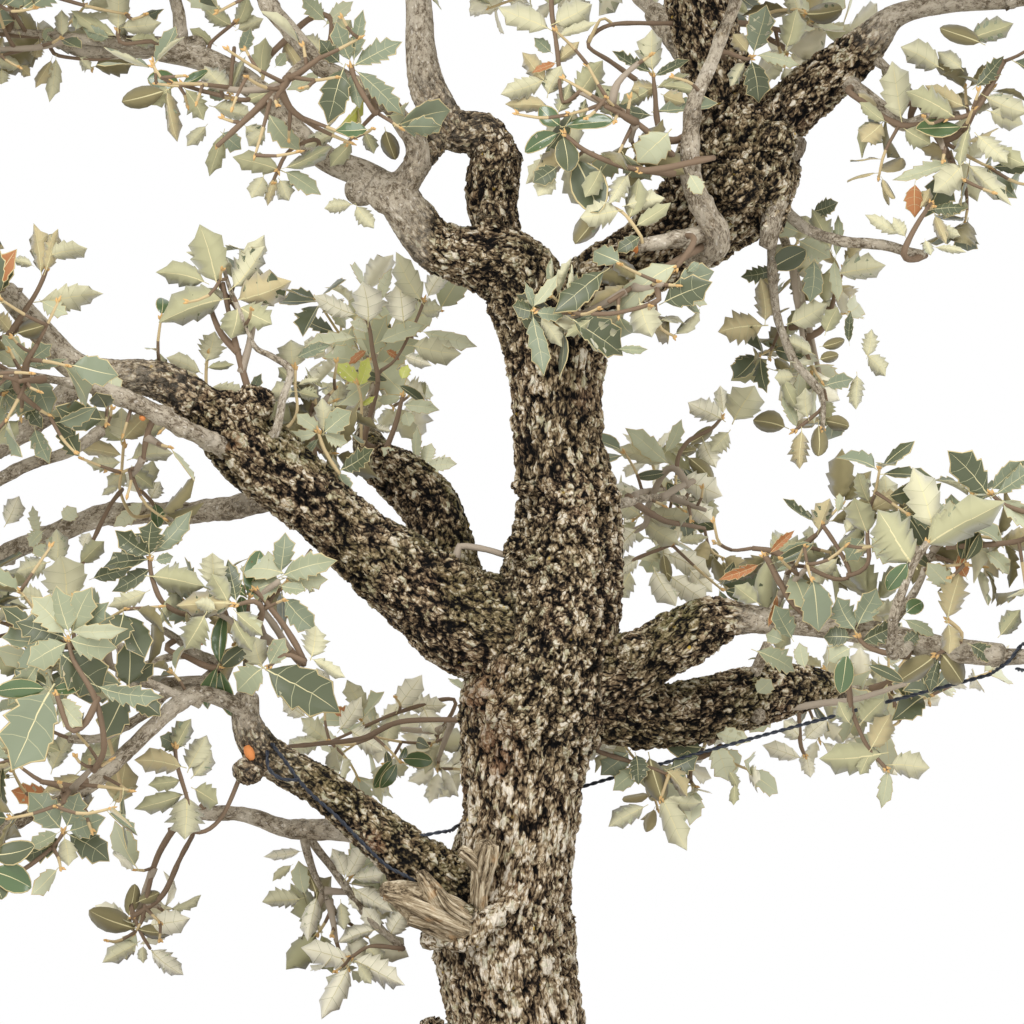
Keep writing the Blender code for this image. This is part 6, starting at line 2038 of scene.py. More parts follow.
SPRAY_SHARES = {LeafKind.GREY: 0.70, LeafKind.SHADE: 0.20, LeafKind.GLOSSY: 0.08, LeafKind.YOUNG: 0.02}
FILL_SHARES = {LeafKind.GREY: 0.72, LeafKind.SHADE: 0.2, LeafKind.GLOSSY: 0.08}
VEIN_LEAN = 0.09                 # how far a side vein runs forward, as a share of the leaf's length
VEIN_WIDTH = 0.008               # how wide it is, as a share of the same


@dataclass(frozen=True)
class LeafCut:
    """One cut of leaf: its teeth, its breadth and how finely it is meshed."""

    teeth: int
    breadth: float
    tooth: float = 0.22
    grade: int = 0
    thick: float = 0.013

    def half_width(self, part: float) -> float:
        """Half the leaf's width without its teeth, as a share of its length."""
        return self.breadth / 2.0 * max(0.0, math.sin(math.pi * min(part, 1.0))) ** 0.56

    def veined(self, place: float, tooth: float) -> bool:
        """Whether side veins run out to a row: to each pair of teeth, but not to the tip."""
        return self.teeth > 0 and tooth > 0.9 and place < 0.95

    def rows(self, rng: random.Random) -> list[tuple[float, float, float, float]]:
        """Cuts across the leaf: place along it, left and right half widths, and tooth (1) or bay (0).

        Args:
            rng: Deals out the teeth.

        Returns:
            The cuts, from the foot to the tip.
        """
        if self.teeth == 0:
            return [(part, self.half_width(part), self.half_width(part), 0.5)
                    for part in (0.0, 0.1, 0.26, 0.45, 0.64, 0.82, 0.94, 1.0)]
        rows = [(0.0, 0.012, 0.012, 0.5), (0.11, self.half_width(0.11), self.half_width(0.11), 0.5)]
        step = 0.72 / self.teeth
        for index in range(self.teeth):
            tip = 0.23 + index * step
            sides = [self.half_width(tip) * (1.0 + self.tooth * rng.uniform(0.3, 1.5)) for _ in range(2)]
            rows.append((tip, *sides, 1.0))
            bay = tip + step * (0.36 if index < self.teeth - 1 else 0.62)
            sides = [self.half_width(bay) * (1.0 - self.tooth * rng.uniform(0.1, 0.8)) for _ in range(2)]
            rows.append((bay, *sides, 0.0))
        rows.append((1.02, 0.0, 0.0, 1.0))
        return rows

    def shape(self, rng: random.Random) -> tuple[Shape, np.ndarray]:
        """The leaf one unit long, flat, with its petiole.

        Args:
            rng: Deals out the teeth.

        Returns:
            The shape, with its x across, y along and z in leaf thicknesses; and for each point
            how near it is to the edge and where its row is along the leaf.
        """
        points, rows, veins = [], [], []
        for place, left, right, tooth in self.rows(rng):
            slim = 0.011 * (1.0 - 0.75 * min(place, 1.0))
            swell = 0.9 - 1.6 * tooth
            inner = [max(0.0, side - 0.022) for side in (left, right)]
            forward = 0.05 * tooth
            margins = [(-left, forward, 0.0), (-inner[0], forward * 0.6, 0.9)]
            far = [(inner[1], forward * 0.6, 0.9), (right, forward, 0.0)]
            if self.grade == 2:
                back = -VEIN_LEAN if self.veined(place, tooth) else 0.0
                row = [*margins, (-0.52 * left, back / 2.0, 1.0 + swell), (-slim, back, 1.1),
                       (slim, back, 1.1), (0.52 * right, back / 2.0, 1.0 + swell), *far,
                       (slim * 1.5, back, -1.7), (-slim * 1.5, back, -1.7)]
                if back:
                    veins.append(len(points) // len(row))
                    row += [(across, shift + VEIN_WIDTH, lift) for across, shift, lift in row]
            elif self.grade == 1:
                row = [*margins, (-slim * 1.2, 0.0, 1.0), (slim * 1.2, 0.0, 1.0), *far, (0.0, 0.0, -1.3)]
            else:
                row = [margins[0], (-slim * 1.2, 0.0, 1.0), (slim * 1.2, 0.0, 1.0), far[1],
                       (0.0, 0.0, -1.2)]
            limit = max(left, right, 0.02)
            for across, shift, lift in row:
                across = math.copysign(min(abs(across), max(left, right)), across)
                points.append((across, place + shift, lift))
                rows.append((abs(across) / limit, place))
        parts = ((0, 2, 0, 1, 1), (3, 0, 2, 0, 3, 1, 1), (3, 0, 0, 2, 0, 0, 3, 1, 2, 1))[self.grade]
        count = len(points) // len(parts)
        faces = ring_faces(count, len(parts))
        slots = np.tile(parts, (count - 1, 1))
        for row in veins:
            slots[row, 1:6] = LeafPart.VEIN.value
            slots[row, 7:] = LeafPart.VEIN.value
        slots = slots.ravel()
        start = len(points)
        for place, thick in ((-0.13, 0.014), (0.03, 0.011)):
            for turn in (math.pi / 2.0, math.pi * 7.0 / 6.0, math.pi * 11.0 / 6.0):
                points.append((thick * math.cos(turn), place, (thick * math.sin(turn)) / self.thick))
                rows.append((0.0, place))
        faces = np.concatenate((faces, ring_faces(2, 3) + start))
        slots = np.concatenate((slots, np.full(3, LeafPart.RIB.value)))
        return Shape(np.array(points), faces, slots), np.array(rows)


CUTS = (LeafCut(4, 0.56, 0.20), LeafCut(3, 0.64, 0.15), LeafCut(4, 0.50, 0.27), LeafCut(3, 0.58, 0.20),
        LeafCut(3, 0.48, 0.15), LeafCut(0, 0.48), LeafCut(0, 0.58))
KIND_CUTS = {LeafKind.GREY: (0, 1, 1, 2, 3, 3, 4), LeafKind.SHADE: (0, 1, 2, 3, 4, 5),
             LeafKind.BACK: (0, 1, 2, 3),
             LeafKind.GLOSSY: (5, 5, 6, 4), LeafKind.YOUNG: (2, 0, 1)}


@dataclass
class Leaf:
    """One leaf on the tree, in millimetres: its place, its cut and colours, and how it is bent."""

    root: Vector
    along: Vector
    face: Vector
    length: float
    cut: int
    top: int
    under: int
    grade: int
    bend: tuple[float, float, float, float]
    wide: float = 1.0


class LeafPress:
    """Makes meshes of many leaves at once from the few cuts."""

    def __init__(self) -> None:
        """Prepares every cut in each grade of detail."""
        rng = random.Random(5)
        self.shapes = {}
        for number, cut in enumerate(CUTS):
            for grade in range(3):
                self.shapes[number, grade] = replace(cut, grade=grade).shape(rng)
        self.thick = CUTS[0].thick

    def press(self, leaves: list[Leaf]) -> Batch:
        """Bends each leaf its own way and joins them all.

        Args:
            leaves: The leaves.

        Returns:
            Their meshes, in millimetres.
        """
        batch = Batch()
        for key, (shape, rows) in self.shapes.items():
            mine = [leaf for leaf in leaves if (leaf.cut, leaf.grade) == key]
            if not mine:
                continue
            along = np.array([leaf.along for leaf in mine])
            face = np.array([leaf.face for leaf in mine])
            across = np.cross(along, face)
            numbers = np.array([(leaf.length, leaf.wide, *leaf.bend) for leaf in mine])[:, :, None]
            length, wide, fold, curl, wave, turn = numbers.transpose(1, 0, 2)
            flat_x, flat_y, lift = shape.points.T
            edge, place = rows.T
            bend = np.where(np.abs(curl) < 1e-3, 1e-3, curl)
            y = np.sin(bend * flat_y) / bend
            z = -(1.0 - np.cos(bend * flat_y)) / bend + lift * self.thick
            z = z + fold * np.abs(flat_x) * (0.6 + 0.9 * edge)
            ripple = np.sin(place * (6.0 + 2.0 * np.sin(turn * 5.0)) + turn + np.sign(flat_x) * 1.3)
            z = z + wave * edge * ripple * np.clip(place * 4.0, 0.0, 1.0)
            z = z + 2.6 * wave * flat_x * np.sin(place * 3.4 + turn)
            x = wide * flat_x + wave * 0.8 * np.sin(place * 3.0 + turn * 1.7)
            root = np.array([leaf.root for leaf in mine])
            points = root[:, None] + length[..., None] * (
                x[..., None] * across[:, None] + y[..., None] * along[:, None]
                + z[..., None] * face[:, None])
            count = len(shape.points)
            starts = np.arange(len(mine))[:, None, None] * count
            faces = np.where(shape.faces >= 0, shape.faces + starts, -1).reshape(-1, 4)
            palette = np.array([(leaf.top, leaf.under + UNDER_START, RIB_SLOT, MARGIN_SLOT, VEIN_SLOT)
                                for leaf in mine])
            batch.add(Shape(points.reshape(-1, 3), faces, palette[:, shape.slots].ravel()))
        return batch


# ---------------------------------------------------------------- sprays and masses


TWIG_GREY, TWIG_BROWN, TWIG_TAN, TWIG_BUD, TWIG_CUT = range(5)
TWIG_FINISHES = (PlainFinish("twig_grey", paint(164, 150, 132), 0.85),
                 PlainFinish("twig_brown", paint(124, 103, 82), 0.8),
                 PlainFinish("twig_tan", paint(200, 178, 134), 0.75),
                 PlainFinish("twig_bud", paint(214, 174, 114), 0.7),
                 PlainFinish("cut_wood", paint(214, 134, 72), 0.7))
# Pale cut ends of boughs and twigs.
SCARS = (Lump((60, -52, 588), (58.6, -52.4, 587.8), (3.2, 3.6, 2.6)),
         Lump((-128, -50, 347), (-125, -52, 341), (1.6, 2.6, 1.4)),
         Lump((-128, -48, 339), (-126, -50, 335), (1.5, 2.4, 1.4)),
         Lump((-177, -62, 506), (-176, -63, 504), (1.2, 1.6, 1.0)),
         Lump((84, 4, 634), (86, 2, 633), (1.4, 1.8, 1.2)))
FRONT = Vector((0.0, -1.0, 0.0))


@dataclass
class Blades:
    """The outlines of the leaves set so far, kept by place for a quick search."""

    cell_mm: float = 36.0
    kept: dict[tuple[int, ...], list[tuple[Vector, float, BVHTree]]] = field(default_factory=dict)

    def key(self, point: Vector) -> tuple[int, ...]:
        """The cell that a point is in."""
        return tuple(int(value // self.cell_mm) for value in point)

    def near(self, point: Vector) -> Iterator[tuple[Vector, float, BVHTree]]:
        """The outlines in the cells about a point."""
        middle = self.key(point)
        for step in itertools.product((-1, 0, 1), repeat=3):
            yield from self.kept.get(tuple(a + b for a, b in zip(middle, step)), ())

    def add(self, middle: Vector, length: float, blade: BVHTree) -> None:
        """Keeps one outline."""
        self.kept.setdefault(self.key(middle), []).append((middle, length, blade))

    def crosses(self, middle: Vector, length: float, blade: BVHTree) -> bool:
        """Whether an outline crosses any that is kept."""
        return any((other - middle).length < 0.55 * (length + size) and kept.overlap(blade)
                   for other, size, kept in self.near(middle))


@dataclass
class Foliage:
    """All the leaves and twigs, grown by the construction's rule and carried on to fine shoots."""

    limbs: BVHTree
    leaf_mm: float = 24.0
    rosette: tuple[int, ...] = (3, 4, 4, 5)
    node_gap_mm: float = 11.0
    sparse_share: float = 0.36
    fill_tries: int = 110
    fill_apart_mm: float = 17.0
    fill_depth: tuple[float, float] = (0.35, 0.97)
    view_half_mm: float = 262.0
    view_middle_mm: float = 460.0
    eye_mm: float = 1400.0
    rise: float = 0.3
    odd_share: float = 0.3
    rust_share: float = 0.004
    # Grey sprays in masses further back than this get the paler leaves of the rear kind, painted light.
    back_mm: float = 25.0
    fill_reach_mm: tuple[float, float] = (9.0, 52.0)
    limb_gap_mm: float = 0.6
    leaves: dict[Region, list[Leaf]] = field(default_factory=lambda: {region: [] for region in Region})
    twigs: dict[Region, Batch] = field(default_factory=lambda: {region: Batch() for region in Region})
    blades: Blades = field(default_factory=Blades)
    wood: list[Vector] = field(default_factory=list)
    shown: list[tuple[float, float, float, float]] = field(default_factory=list)
    stems: list[Limb] = field(default_factory=list)
    stem_mm: float = 2.1
    tip_mm: float = 0.65

    def seen_at(self, point: Vector) -> tuple[float, float]:
        """Where a point shows from the front, on the plane through the trunk."""
        near = 1.0 + point.y / self.eye_mm
        return point.x / near, self.view_middle_mm + (point.z - self.view_middle_mm) / near

    def in_view(self, point: Vector) -> bool:
        """Whether a point shows in the front view."""
        x, z = self.seen_at(point)
        return abs(x) < self.view_half_mm and abs(z - self.view_middle_mm) < self.view_half_mm

    def in_opening(self, point: Vector) -> bool:
        """Whether a point would close one of the openings in the crown."""
        x, z = self.seen_at(point)
        return any(((x - left) / wide) ** 2 + ((z - level) / tall) ** 2 < 1.0
                   for left, level, wide, tall in OPENINGS)

    def hides(self, middle: Vector, length: float) -> bool:
        """Whether a leaf would stand in front of one of the listed leaves."""
        x, z = self.seen_at(middle)
        return any((x - left) ** 2 + (z - level) ** 2 < (reach + 0.3 * length) ** 2
                   for left, level, depth, reach in self.shown if middle.y < depth + 3.0)

    def outline(self, root: Vector, along: Vector, across: Vector,
                length: float) -> tuple[list[Vector], Vector, BVHTree]:
        """A leaf's corners, its middle and its outline for the search.

        Args:
            root: Where the leaf starts.
            along: The way it points.
            across: The way to its side.
            length: Its length.

        Returns:
            The four corners, the middle and a search tree.
        """
        middle = root + along * length * 0.5
        side = across * length * 0.25
        corners = [root + along * length * 0.14, middle + side, root + along * length * 0.96,
                   middle - side]
        return corners, middle, BVHTree.FromPolygons(corners, [(0, 1, 2), (0, 2, 3)])

    def fits(self, root: Vector, along: Vector, across: Vector, length: float) -> bool:
        """Whether a leaf crosses no limb and no other leaf, and if so keeps its outline.

        Args:
            root: Where the leaf starts.
            along: The way it points.
            across: The way to its side.
            length: Its length.

        Returns:
            True if it fits.
        """
        corners, middle, blade = self.outline(root, along, across, length)
        if self.in_opening(middle) or self.in_opening(corners[2]) or self.hides(middle, length):
            return False
        if (not clear_of(corners[1:4] + corners[:1], self.limbs, self.limb_gap_mm)
                or self.blades.crosses(middle, length, blade)):
            return False
        self.blades.add(middle, length, blade)
        return True

    def pick_kind(self, mass: Mass, shares: dict[LeafKind, float], rng: random.Random) -> LeafKind:
        """Deals out a kind of spray, with paler leaves, painted light, for the grey ones at the back."""
        kind = rng.choices(tuple(shares), tuple(shares.values()))[0]
        return LeafKind.BACK if mass.centre[1] > self.back_mm and kind is LeafKind.GREY else kind

    def tones(self, kind: LeafKind, rng: random.Random) -> tuple[int, int]:
        """The colours of a spray: its tops and its undersides."""
        return rng.choice(KIND_TOPS[kind]), rng.choice(KIND_UNDERS[kind])

    def set_leaf(self, node: Vector, heading: Vector, turn: float, lean: float, length: float,
                 kind: LeafKind, tone: tuple[int, int], region: Region, rng: random.Random) -> bool:
        """Sets one leaf at a node of a shoot, if it finds room there.

        Args:
            node: The point on the shoot.
            heading: The way the shoot goes there.
            turn: How far round the shoot the leaf stands.
            lean: How far it leans out from the shoot.
            length: Its length.
            kind: The kind of spray.
            tone: The colours of its top and underside.
            region: The part of the crown that it is in.
            rng: Deals out what varies.

        Returns:
            True if it found room.
        """
        side = heading.orthogonal().normalized()
        for extra in (0.0, 0.7, -0.7, 1.5):
            out = Matrix.Rotation(turn + extra, 3, heading) @ side
            along = (heading * math.cos(lean) + out * math.sin(lean)).normalized()
            face = heading * math.sin(lean) - out * math.cos(lean) + Vector((0.0, -0.05, self.rise))
            face = (face - along * face.dot(along)).normalized()
            root = node + along * 2.6
            if self.fits(root, along, along.cross(face), length):
                break
        else:
            return False
        top, under = tone
        if rng.random() < self.odd_share:
            top, under = self.tones(kind, rng)
        if rng.random() < self.rust_share:
            top = RUST
        self.leaves[region].append(Leaf(
            root, along, face, length, rng.choice(KIND_CUTS[kind]), top, under,
            int(self.in_view(root)), (rng.uniform(-0.1, 0.45), rng.uniform(-0.6, 1.0),
                                      rng.uniform(0.025, 0.06), rng.uniform(0.0, 6.28))))
        return True

    def twig(self, path: list[Vector], foot: float, region: Region) -> list[Vector]:
        """Adds a thin twig along a path and gives back the even points on it.

        Args:
            path: Points along the twig, in millimetres.
            foot: Its radius at the foot.
            region: The part of the crown that it is in.

        Returns:
            Points at even distances along it.
        """
        rows = [(*point, foot + (self.tip_mm - foot) * index / (len(path) - 1))
                for index, point in enumerate(path)]
        places, radii = even_line(rows, 4.6)
        spans = len(places) - 1
        colours = np.where(np.arange(spans) < spans * 0.4, TWIG_BROWN, TWIG_TAN)
        self.twigs[region].add(tube_shape(places, radii, 5, colours))
        return [Vector(place) for place in places]

    def shoot(self, path: list[Vector], radius: float, region: Region, kind: LeafKind,
              rng: random.Random, bare: float = 0.12) -> None:
        """A fine shoot with leaves up it and a rosette at its tip.

        Args:
            path: Points along the shoot, in millimetres.
            radius: Its radius at the foot.
            region: The part of the crown that it is in.
            kind: The kind of leaves it has.
            rng: Deals out the leaves.
            bare: The share of it, from the foot, that has no leaves.
        """
        places = self.twig(path, radius, region)
        run = sum((end - start).length for start, end in zip(path, path[1:]))
        heading = (places[-1] - places[-2]).normalized()
        tone = self.tones(kind, rng)
        size = self.leaf_mm * rng.uniform(0.84, 1.16) * (0.8 if kind is LeafKind.GLOSSY else 1.0)
        turn = rng.uniform(0.0, 6.28)
        count = rng.choice(self.rosette)
        for order in range(count):
            part = order / (count - 1)
            turn += GOLDEN_TURN + rng.uniform(-0.25, 0.25)
            node = places[-1] - heading * (0.4 + 3.2 * part)
            self.set_leaf(node, heading, turn, rng.uniform(0.62, 0.95) + 0.6 * part,
                          size * rng.uniform(0.74, 1.06) * (0.84 + 0.2 * part), kind, tone, region, rng)
        self.buds(places[-1], heading, region, rng, 2)
        nodes = int(run * (1.0 - bare) / self.node_gap_mm)
        for order in range(nodes):
            part = bare + (1.0 - bare) * (order + 0.3) / max(nodes, 1)
            index = min(len(places) - 2, int(part * (len(places) - 1)))
            along = (places[index + 1] - places[index]).normalized()
            turn += GOLDEN_TURN + rng.uniform(-0.3, 0.3)
            self.set_leaf(places[index], along, turn, rng.uniform(0.85, 1.3),
                          size * rng.uniform(0.66, 1.04), kind, tone, region, rng)

    def buds(self, tip: Vector, heading: Vector, region: Region, rng: random.Random, count: int) -> None:
        """A few pointed buds among the leaves at a shoot's tip.

        Args:
            tip: The shoot's tip.
            heading: The way the shoot goes there.
            region: The part of the crown that it is in.
            rng: Deals out what varies.
            count: How many buds.
        """
        for index in range(count):
            out = Matrix.Rotation(index * 2.0 + rng.uniform(0, 0.5), 3, heading) @ heading.orthogonal()
            away = (heading + out.normalized() * (0.0 if index == 0 else 0.8)).normalized()
            foot = tip - heading * (0.5 + index * 0.5)
            places = np.array([foot, foot + away * 1.5, foot + away * rng.uniform(2.6, 3.6)])
            self.twigs[region].add(tube_shape(places, np.array([0.6, 0.95, 0.25]), 4, TWIG_BUD))

    def spray(self, frame: Matrix, size: float, mass: Mass, kind: LeafKind, rng: random.Random) -> None:
        """Grows a shoot where the construction has one large leaf.

        Args:
            frame: The axes of the large leaf's place.
            size: Its length.
            mass: The mass that it is in.
            kind: The kind of spray.
            rng: Deals out what varies.
        """
        root, along = frame.translation, frame.to_3x3().col[0]
        across, face = frame.to_3x3().col[1], frame.to_3x3().col[2]
        length = max(0.34 * size, size - 0.80 * self.leaf_mm)
        arch = face * rng.uniform(-0.10, 0.12) + across * rng.uniform(-0.12, 0.12)
        path = [root, root + (along + arch) * length * 0.5,
                root + (along + arch * 0.4 + Vector((0, 0, rng.uniform(0.0, 0.12)))) * length]
        if self.in_opening(path[-1]) or (self.in_view(path[-1]) and rng.random() < self.sparse_share):
            return
        self.shoot(path, 1.2, mass.region, kind, rng)
        self.wood += path[1:]

    def host_twig(self, foot: Vector) -> Vector:
        """The nearest wood to a point: a limb's surface or a twig."""
        skin = self.limbs.find_nearest(foot * MM)[0] / MM
        return min([skin, *self.wood], key=lambda point: (point - foot).length)

    def fill(self, mass: Mass, rng: random.Random) -> None:
        """Carries a mass on to its edge with side shoots wherever it is still bare.

        Args:
            mass: The mass.
            rng: Deals out what varies.
        """
        middles = []
        for _ in range(self.fill_tries):
            away = Vector([rng.gauss(0.0, 1.0) for _ in range(3)]).normalized()
            depth = rng.uniform(*self.fill_depth)
            tip = Vector(mass.centre) + Vector([away[axis] * mass.reach[axis] * depth for axis in range(3)])
            if self.in_opening(tip) or any((other - tip).length < self.fill_apart_mm * 1.3
                                           for other in middles):
                continue
            crowd = sum((middle - tip).length < self.fill_apart_mm for middle, _, _ in
                        self.blades.near(tip))
            if crowd > 0 or (self.in_view(tip) and rng.random() < self.sparse_share):
                continue
            foot = self.host_twig(tip)
            gap = (tip - foot).length
            if not self.fill_reach_mm[0] < gap < self.fill_reach_mm[1]:
                continue
            side = (tip - foot).orthogonal().normalized() * gap * rng.uniform(-0.14, 0.14)
            path = [foot, foot.lerp(tip, 0.5) + side + Vector((0, 0, -0.06 * gap)), tip]
            if self.limbs.find_nearest(path[1] * MM)[3] < LIMB_CLEARANCE_MM * MM:
                continue
            kind = self.pick_kind(mass, FILL_SHARES, rng)
            self.shoot(path, 1.0, mass.region, kind, rng, 0.2)
            self.wood += path[1:]
            middles.append(tip)

    def skeleton(self, mass: Mass, seed: int) -> list[tuple[Matrix, float]]:
        """Grows a mass's stem and twigs by the construction's rule and finds its places for leaves.

        Args:
            mass: The mass.
            seed: The number that its random draws start from.

        Returns:
            The axes and size of each place.
        """
        rng = random.Random(seed)
        length = min(LEAF_LENGTH_MM, LEAF_REACH * min(mass.reach))
        twigs = grow_twigs(mass, length, self.limbs, rng)
        places = leaf_places(mass, twigs, length, self.limbs, rng)
        rng = random.Random(seed + 1000)
        for index, path in enumerate(twigs):
            foot = mass.stem if index == 0 else TWIG_END_MM + 0.3
            self.wood += path[1:] + [path[1].lerp(path[2], 0.5)]
            if index == 0:
                inside = path[0] - (path[1] - path[0]).normalized() * (mass.stem + 2.0)
                path = [inside] + path
            rows = tuple((*point, foot + (1.1 - foot) * place / (len(path) - 1))
                         for place, point in enumerate(path))
            if foot > 1.4 * self.stem_mm:
                self.stems.append(Limb(f"stem_{len(self.stems)}", rows, Skin.YOUNG))
                continue
            tube = young_tube(rows, 9 if index == 0 else 7, 3.2, seed * 7 + index)
            grey = mass.stem > 3.4 if index == 0 else rng.random() < 0.5
            tube.slots[:] = TWIG_GREY if grey else TWIG_BROWN
            self.twigs[mass.region].add(tube)
        return places

    def hand_set(self, spray: Spray, rng: random.Random) -> None:
        """Sets one of the sprays that have their own places, joined on to the nearest wood.

        Args:
            spray: The spray.
            rng: Deals out what varies.
        """
        rows = list(spray.twig)
        if len(rows) == 1:
            x, y, z, radius = rows[0]
            rows.append((x, y + 2.0, z, radius))
        foot, first = Vector(rows[0][:3]), rows[0][3]
        host = self.host_twig(foot)
        gap = (foot - host).length
        if 1.5 < gap < 110.0:
            bow = (foot - Vector(rows[1][:3])).normalized() * gap * 0.22
            inside = host + (host - foot).normalized() * 2.0
            middle = host.lerp(foot, 0.55) + bow
            rows = [(*inside, first * 1.15), (*middle, first * 1.08), *rows]
        places, radii = even_line(rows, 3.0)
        if first > self.stem_mm:
            self.stems.append(Limb(f"stem_{len(self.stems)}", tuple(rows), Skin.YOUNG))
        else:
            tube = young_tube(rows, 8, 3.0, int(abs(foot.x) + foot.z))
            thick = TWIG_GREY if first > 1.7 else TWIG_BROWN
            tube.slots[:] = TWIG_TAN if radii[0] < 1.15 else thick
            self.twigs[spray.region].add(tube)
        self.wood += [Vector(row[:3]) for row in rows]
        heading = (Vector(places[-1]) - Vector(places[-2])).normalized()
        if spray.leaves:
            self.buds(Vector(places[-1]), heading, spray.region, rng, 4)
        for root_x, root_z, tip_x, tip_z, wide, look in spray.leaves:
            depth = spray.twig[-1][1]
            root = Vector((root_x, depth + rng.uniform(-2.0, 2.0), root_z))
            flat = math.hypot(tip_x - root_x, tip_z - root_z)
            tip = Vector((tip_x, root.y + flat * rng.uniform(-0.34, 0.26), tip_z))
            self.set_by_hand(root, tip, wide, look, spray.region, rng)

    def set_by_hand(self, root: Vector, tip: Vector, wide: float, look: Look, region: Region,
                    rng: random.Random) -> None:
        """Sets one leaf from its root to its tip, with its top or its underside to the front.

        Args:
            root: Where the leaf starts.
            tip: Where it ends.
            wide: Its width, in millimetres.
            look: What it shows to the front.
            region: The part of the crown that it is in.
            rng: Deals out what varies.
        """
        along = (tip - root).normalized()
        length = (tip - root).length
        away = Vector((rng.uniform(-0.4, 0.4), 0.0, rng.uniform(-0.1, 0.6)))
        shows_top = look not in (Look.UNDER, Look.OVAL_UNDER)
        face = (FRONT if shows_top else -FRONT) + away
        face = (face - along * face.dot(along)).normalized()
        cut = rng.choice((5, 6) if look in (Look.OVAL, Look.OVAL_UNDER) else (0, 1, 2, 3, 1, 3))
        # Leaves at the back take the paler tops and undersides of the rear kind, painted light.
        rear = root.y > 20.0
        plain = rng.choice(KIND_TOPS[LeafKind.BACK if rear else LeafKind.GREY])
        top = {Look.OVAL: GLOSSY, Look.RUST: RUST, Look.YOUNG: YOUNG}.get(look, plain)
        if look is Look.OVAL and rng.random() < 0.35:
            top = DEEP
        under = SHADED
        if look is not Look.OVAL_UNDER:
            under = rng.choice((FELT, FELT_LIT, FELT_LIT) if rear
                               else (FELT, FELT, GREEN, GREEN, WARM))
        stretch = min(1.5, max(0.45, wide / (length * CUTS[cut].breadth)))
        bend = (rng.uniform(-0.15, 0.35), rng.uniform(-0.5, 0.7), rng.uniform(0.03, 0.065),
                rng.uniform(0.0, 6.28))
        _, middle, blade = self.outline(root, along, along.cross(face), length)
        self.blades.add(middle, length, blade)
        if self.in_view(middle):
            self.shown.append((*self.seen_at(middle), middle.y, length * 0.46))
        self.leaves[region].append(Leaf(root, along, face, length, cut, top, under, 2, bend, stretch))

    def build(self) -> list[bpy.types.Object]:
        """Grows every mass and joins the leaves and the twigs of each part of the crown.

        Returns:
            The pieces.
        """
        places = [self.skeleton(mass, FIRST_SEED + number) for number, mass in enumerate(MASSES)]
        rng = random.Random(17)
        for spray in SPRAYS:
            self.hand_set(spray, rng)
        for number, (mass, found) in enumerate(zip(MASSES, places)):
            rng = random.Random(FIRST_SEED + 2000 + number)
            for frame, size in found:
                self.spray(frame, size, mass, self.pick_kind(mass, SPRAY_SHARES, rng), rng)
        for number, mass in enumerate(MASSES):
            self.fill(mass, random.Random(FIRST_SEED + 3000 + number))
        for scar in SCARS:
            shape = scar.shape()
            shape.slots[:] = TWIG_CUT
            self.twigs[Region.LOW].add(shape)
        press = LeafPress()
        greens = [finish.material() for finish in (*TOPS, *UNDERS, RIB, MARGIN, VEIN)]
        woods = [finish.material() for finish in TWIG_FINISHES]
        made = []
        for region in Region:
            names = [mass.name for mass in MASSES if mass.region is region]
            for kind, batch, finishes, slot in (
                    ("leaves", press.press(self.leaves[region]), greens, "leaf"),
                    ("twigs", self.twigs[region], woods, "young_bark")):
                item = batch.piece(f"{kind}_{region.value}", finishes)
                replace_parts(item, *names)
                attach(item, ROOT)
                made.append(item)
            LOG.info("%s: %d leaves", region.value, len(self.leaves[region]))
        return made


# ---------------------------------------------------------------- pot, soil and wire


@dataclass(frozen=True)
class ClayFinish:
    """Unglazed brown clay: fine grain, darker speckle and pale bloom in patches."""

    name: str = "pot_clay"
    body: Colour = paint(120, 84, 66)
    dark: Colour = paint(88, 60, 48)
    bloom: Colour = paint(172, 150, 130)

    def material(self) -> bpy.types.Material:
        """Builds the finish.

        Returns:
            The material.
        """
        recipe = Recipe(self.name)
        grain = recipe.noise(900.0, 3.0, 0.7)
        cloud = recipe.noise(14.0, 4.0, 0.6)
        specks = 1.0 - recipe.cells(520.0, recipe.place(), "F1", "Distance").between(0.10, 0.22)
        colour = recipe.mix(cloud.between(0.35, 0.7), self.body, self.dark)
        bloom = (cloud + grain * 0.35).between(0.68, 0.95) * 0.55
        colour = recipe.mix(bloom, colour, self.bloom)
        colour = recipe.mix(specks * 0.35, colour, self.dark)
        recipe.relief(grain * 0.6 + specks * 0.4, 0.35, 0.0006)
        return recipe.finish(base_color=colour, roughness=0.72 + grain * 0.2)


@dataclass(frozen=True)
class SoilFinish:
    """Dark damp soil under the grit, with moss in places."""

    name: str = "soil_bed"
    earth: Colour = paint(74, 58, 44)
    dark: Colour = paint(42, 33, 26)
    moss: Colour = paint(86, 100, 46)

    def material(self) -> bpy.types.Material:
        """Builds the finish.

        Returns:
            The material.
        """
        recipe = Recipe(self.name)
        grain = recipe.noise(420.0, 4.0, 0.7)
        patch = recipe.noise(22.0, 3.0)
        colour = recipe.mix(grain.between(0.35, 0.65), self.dark, self.earth)
        moss = recipe.read("moss") * (patch * 0.4 + grain * 0.6).between(0.36, 0.5)
        colour = recipe.mix(moss, colour, self.moss)
        recipe.relief(grain, 0.8, 0.002)
        return recipe.finish(base_color=colour, roughness=0.97)


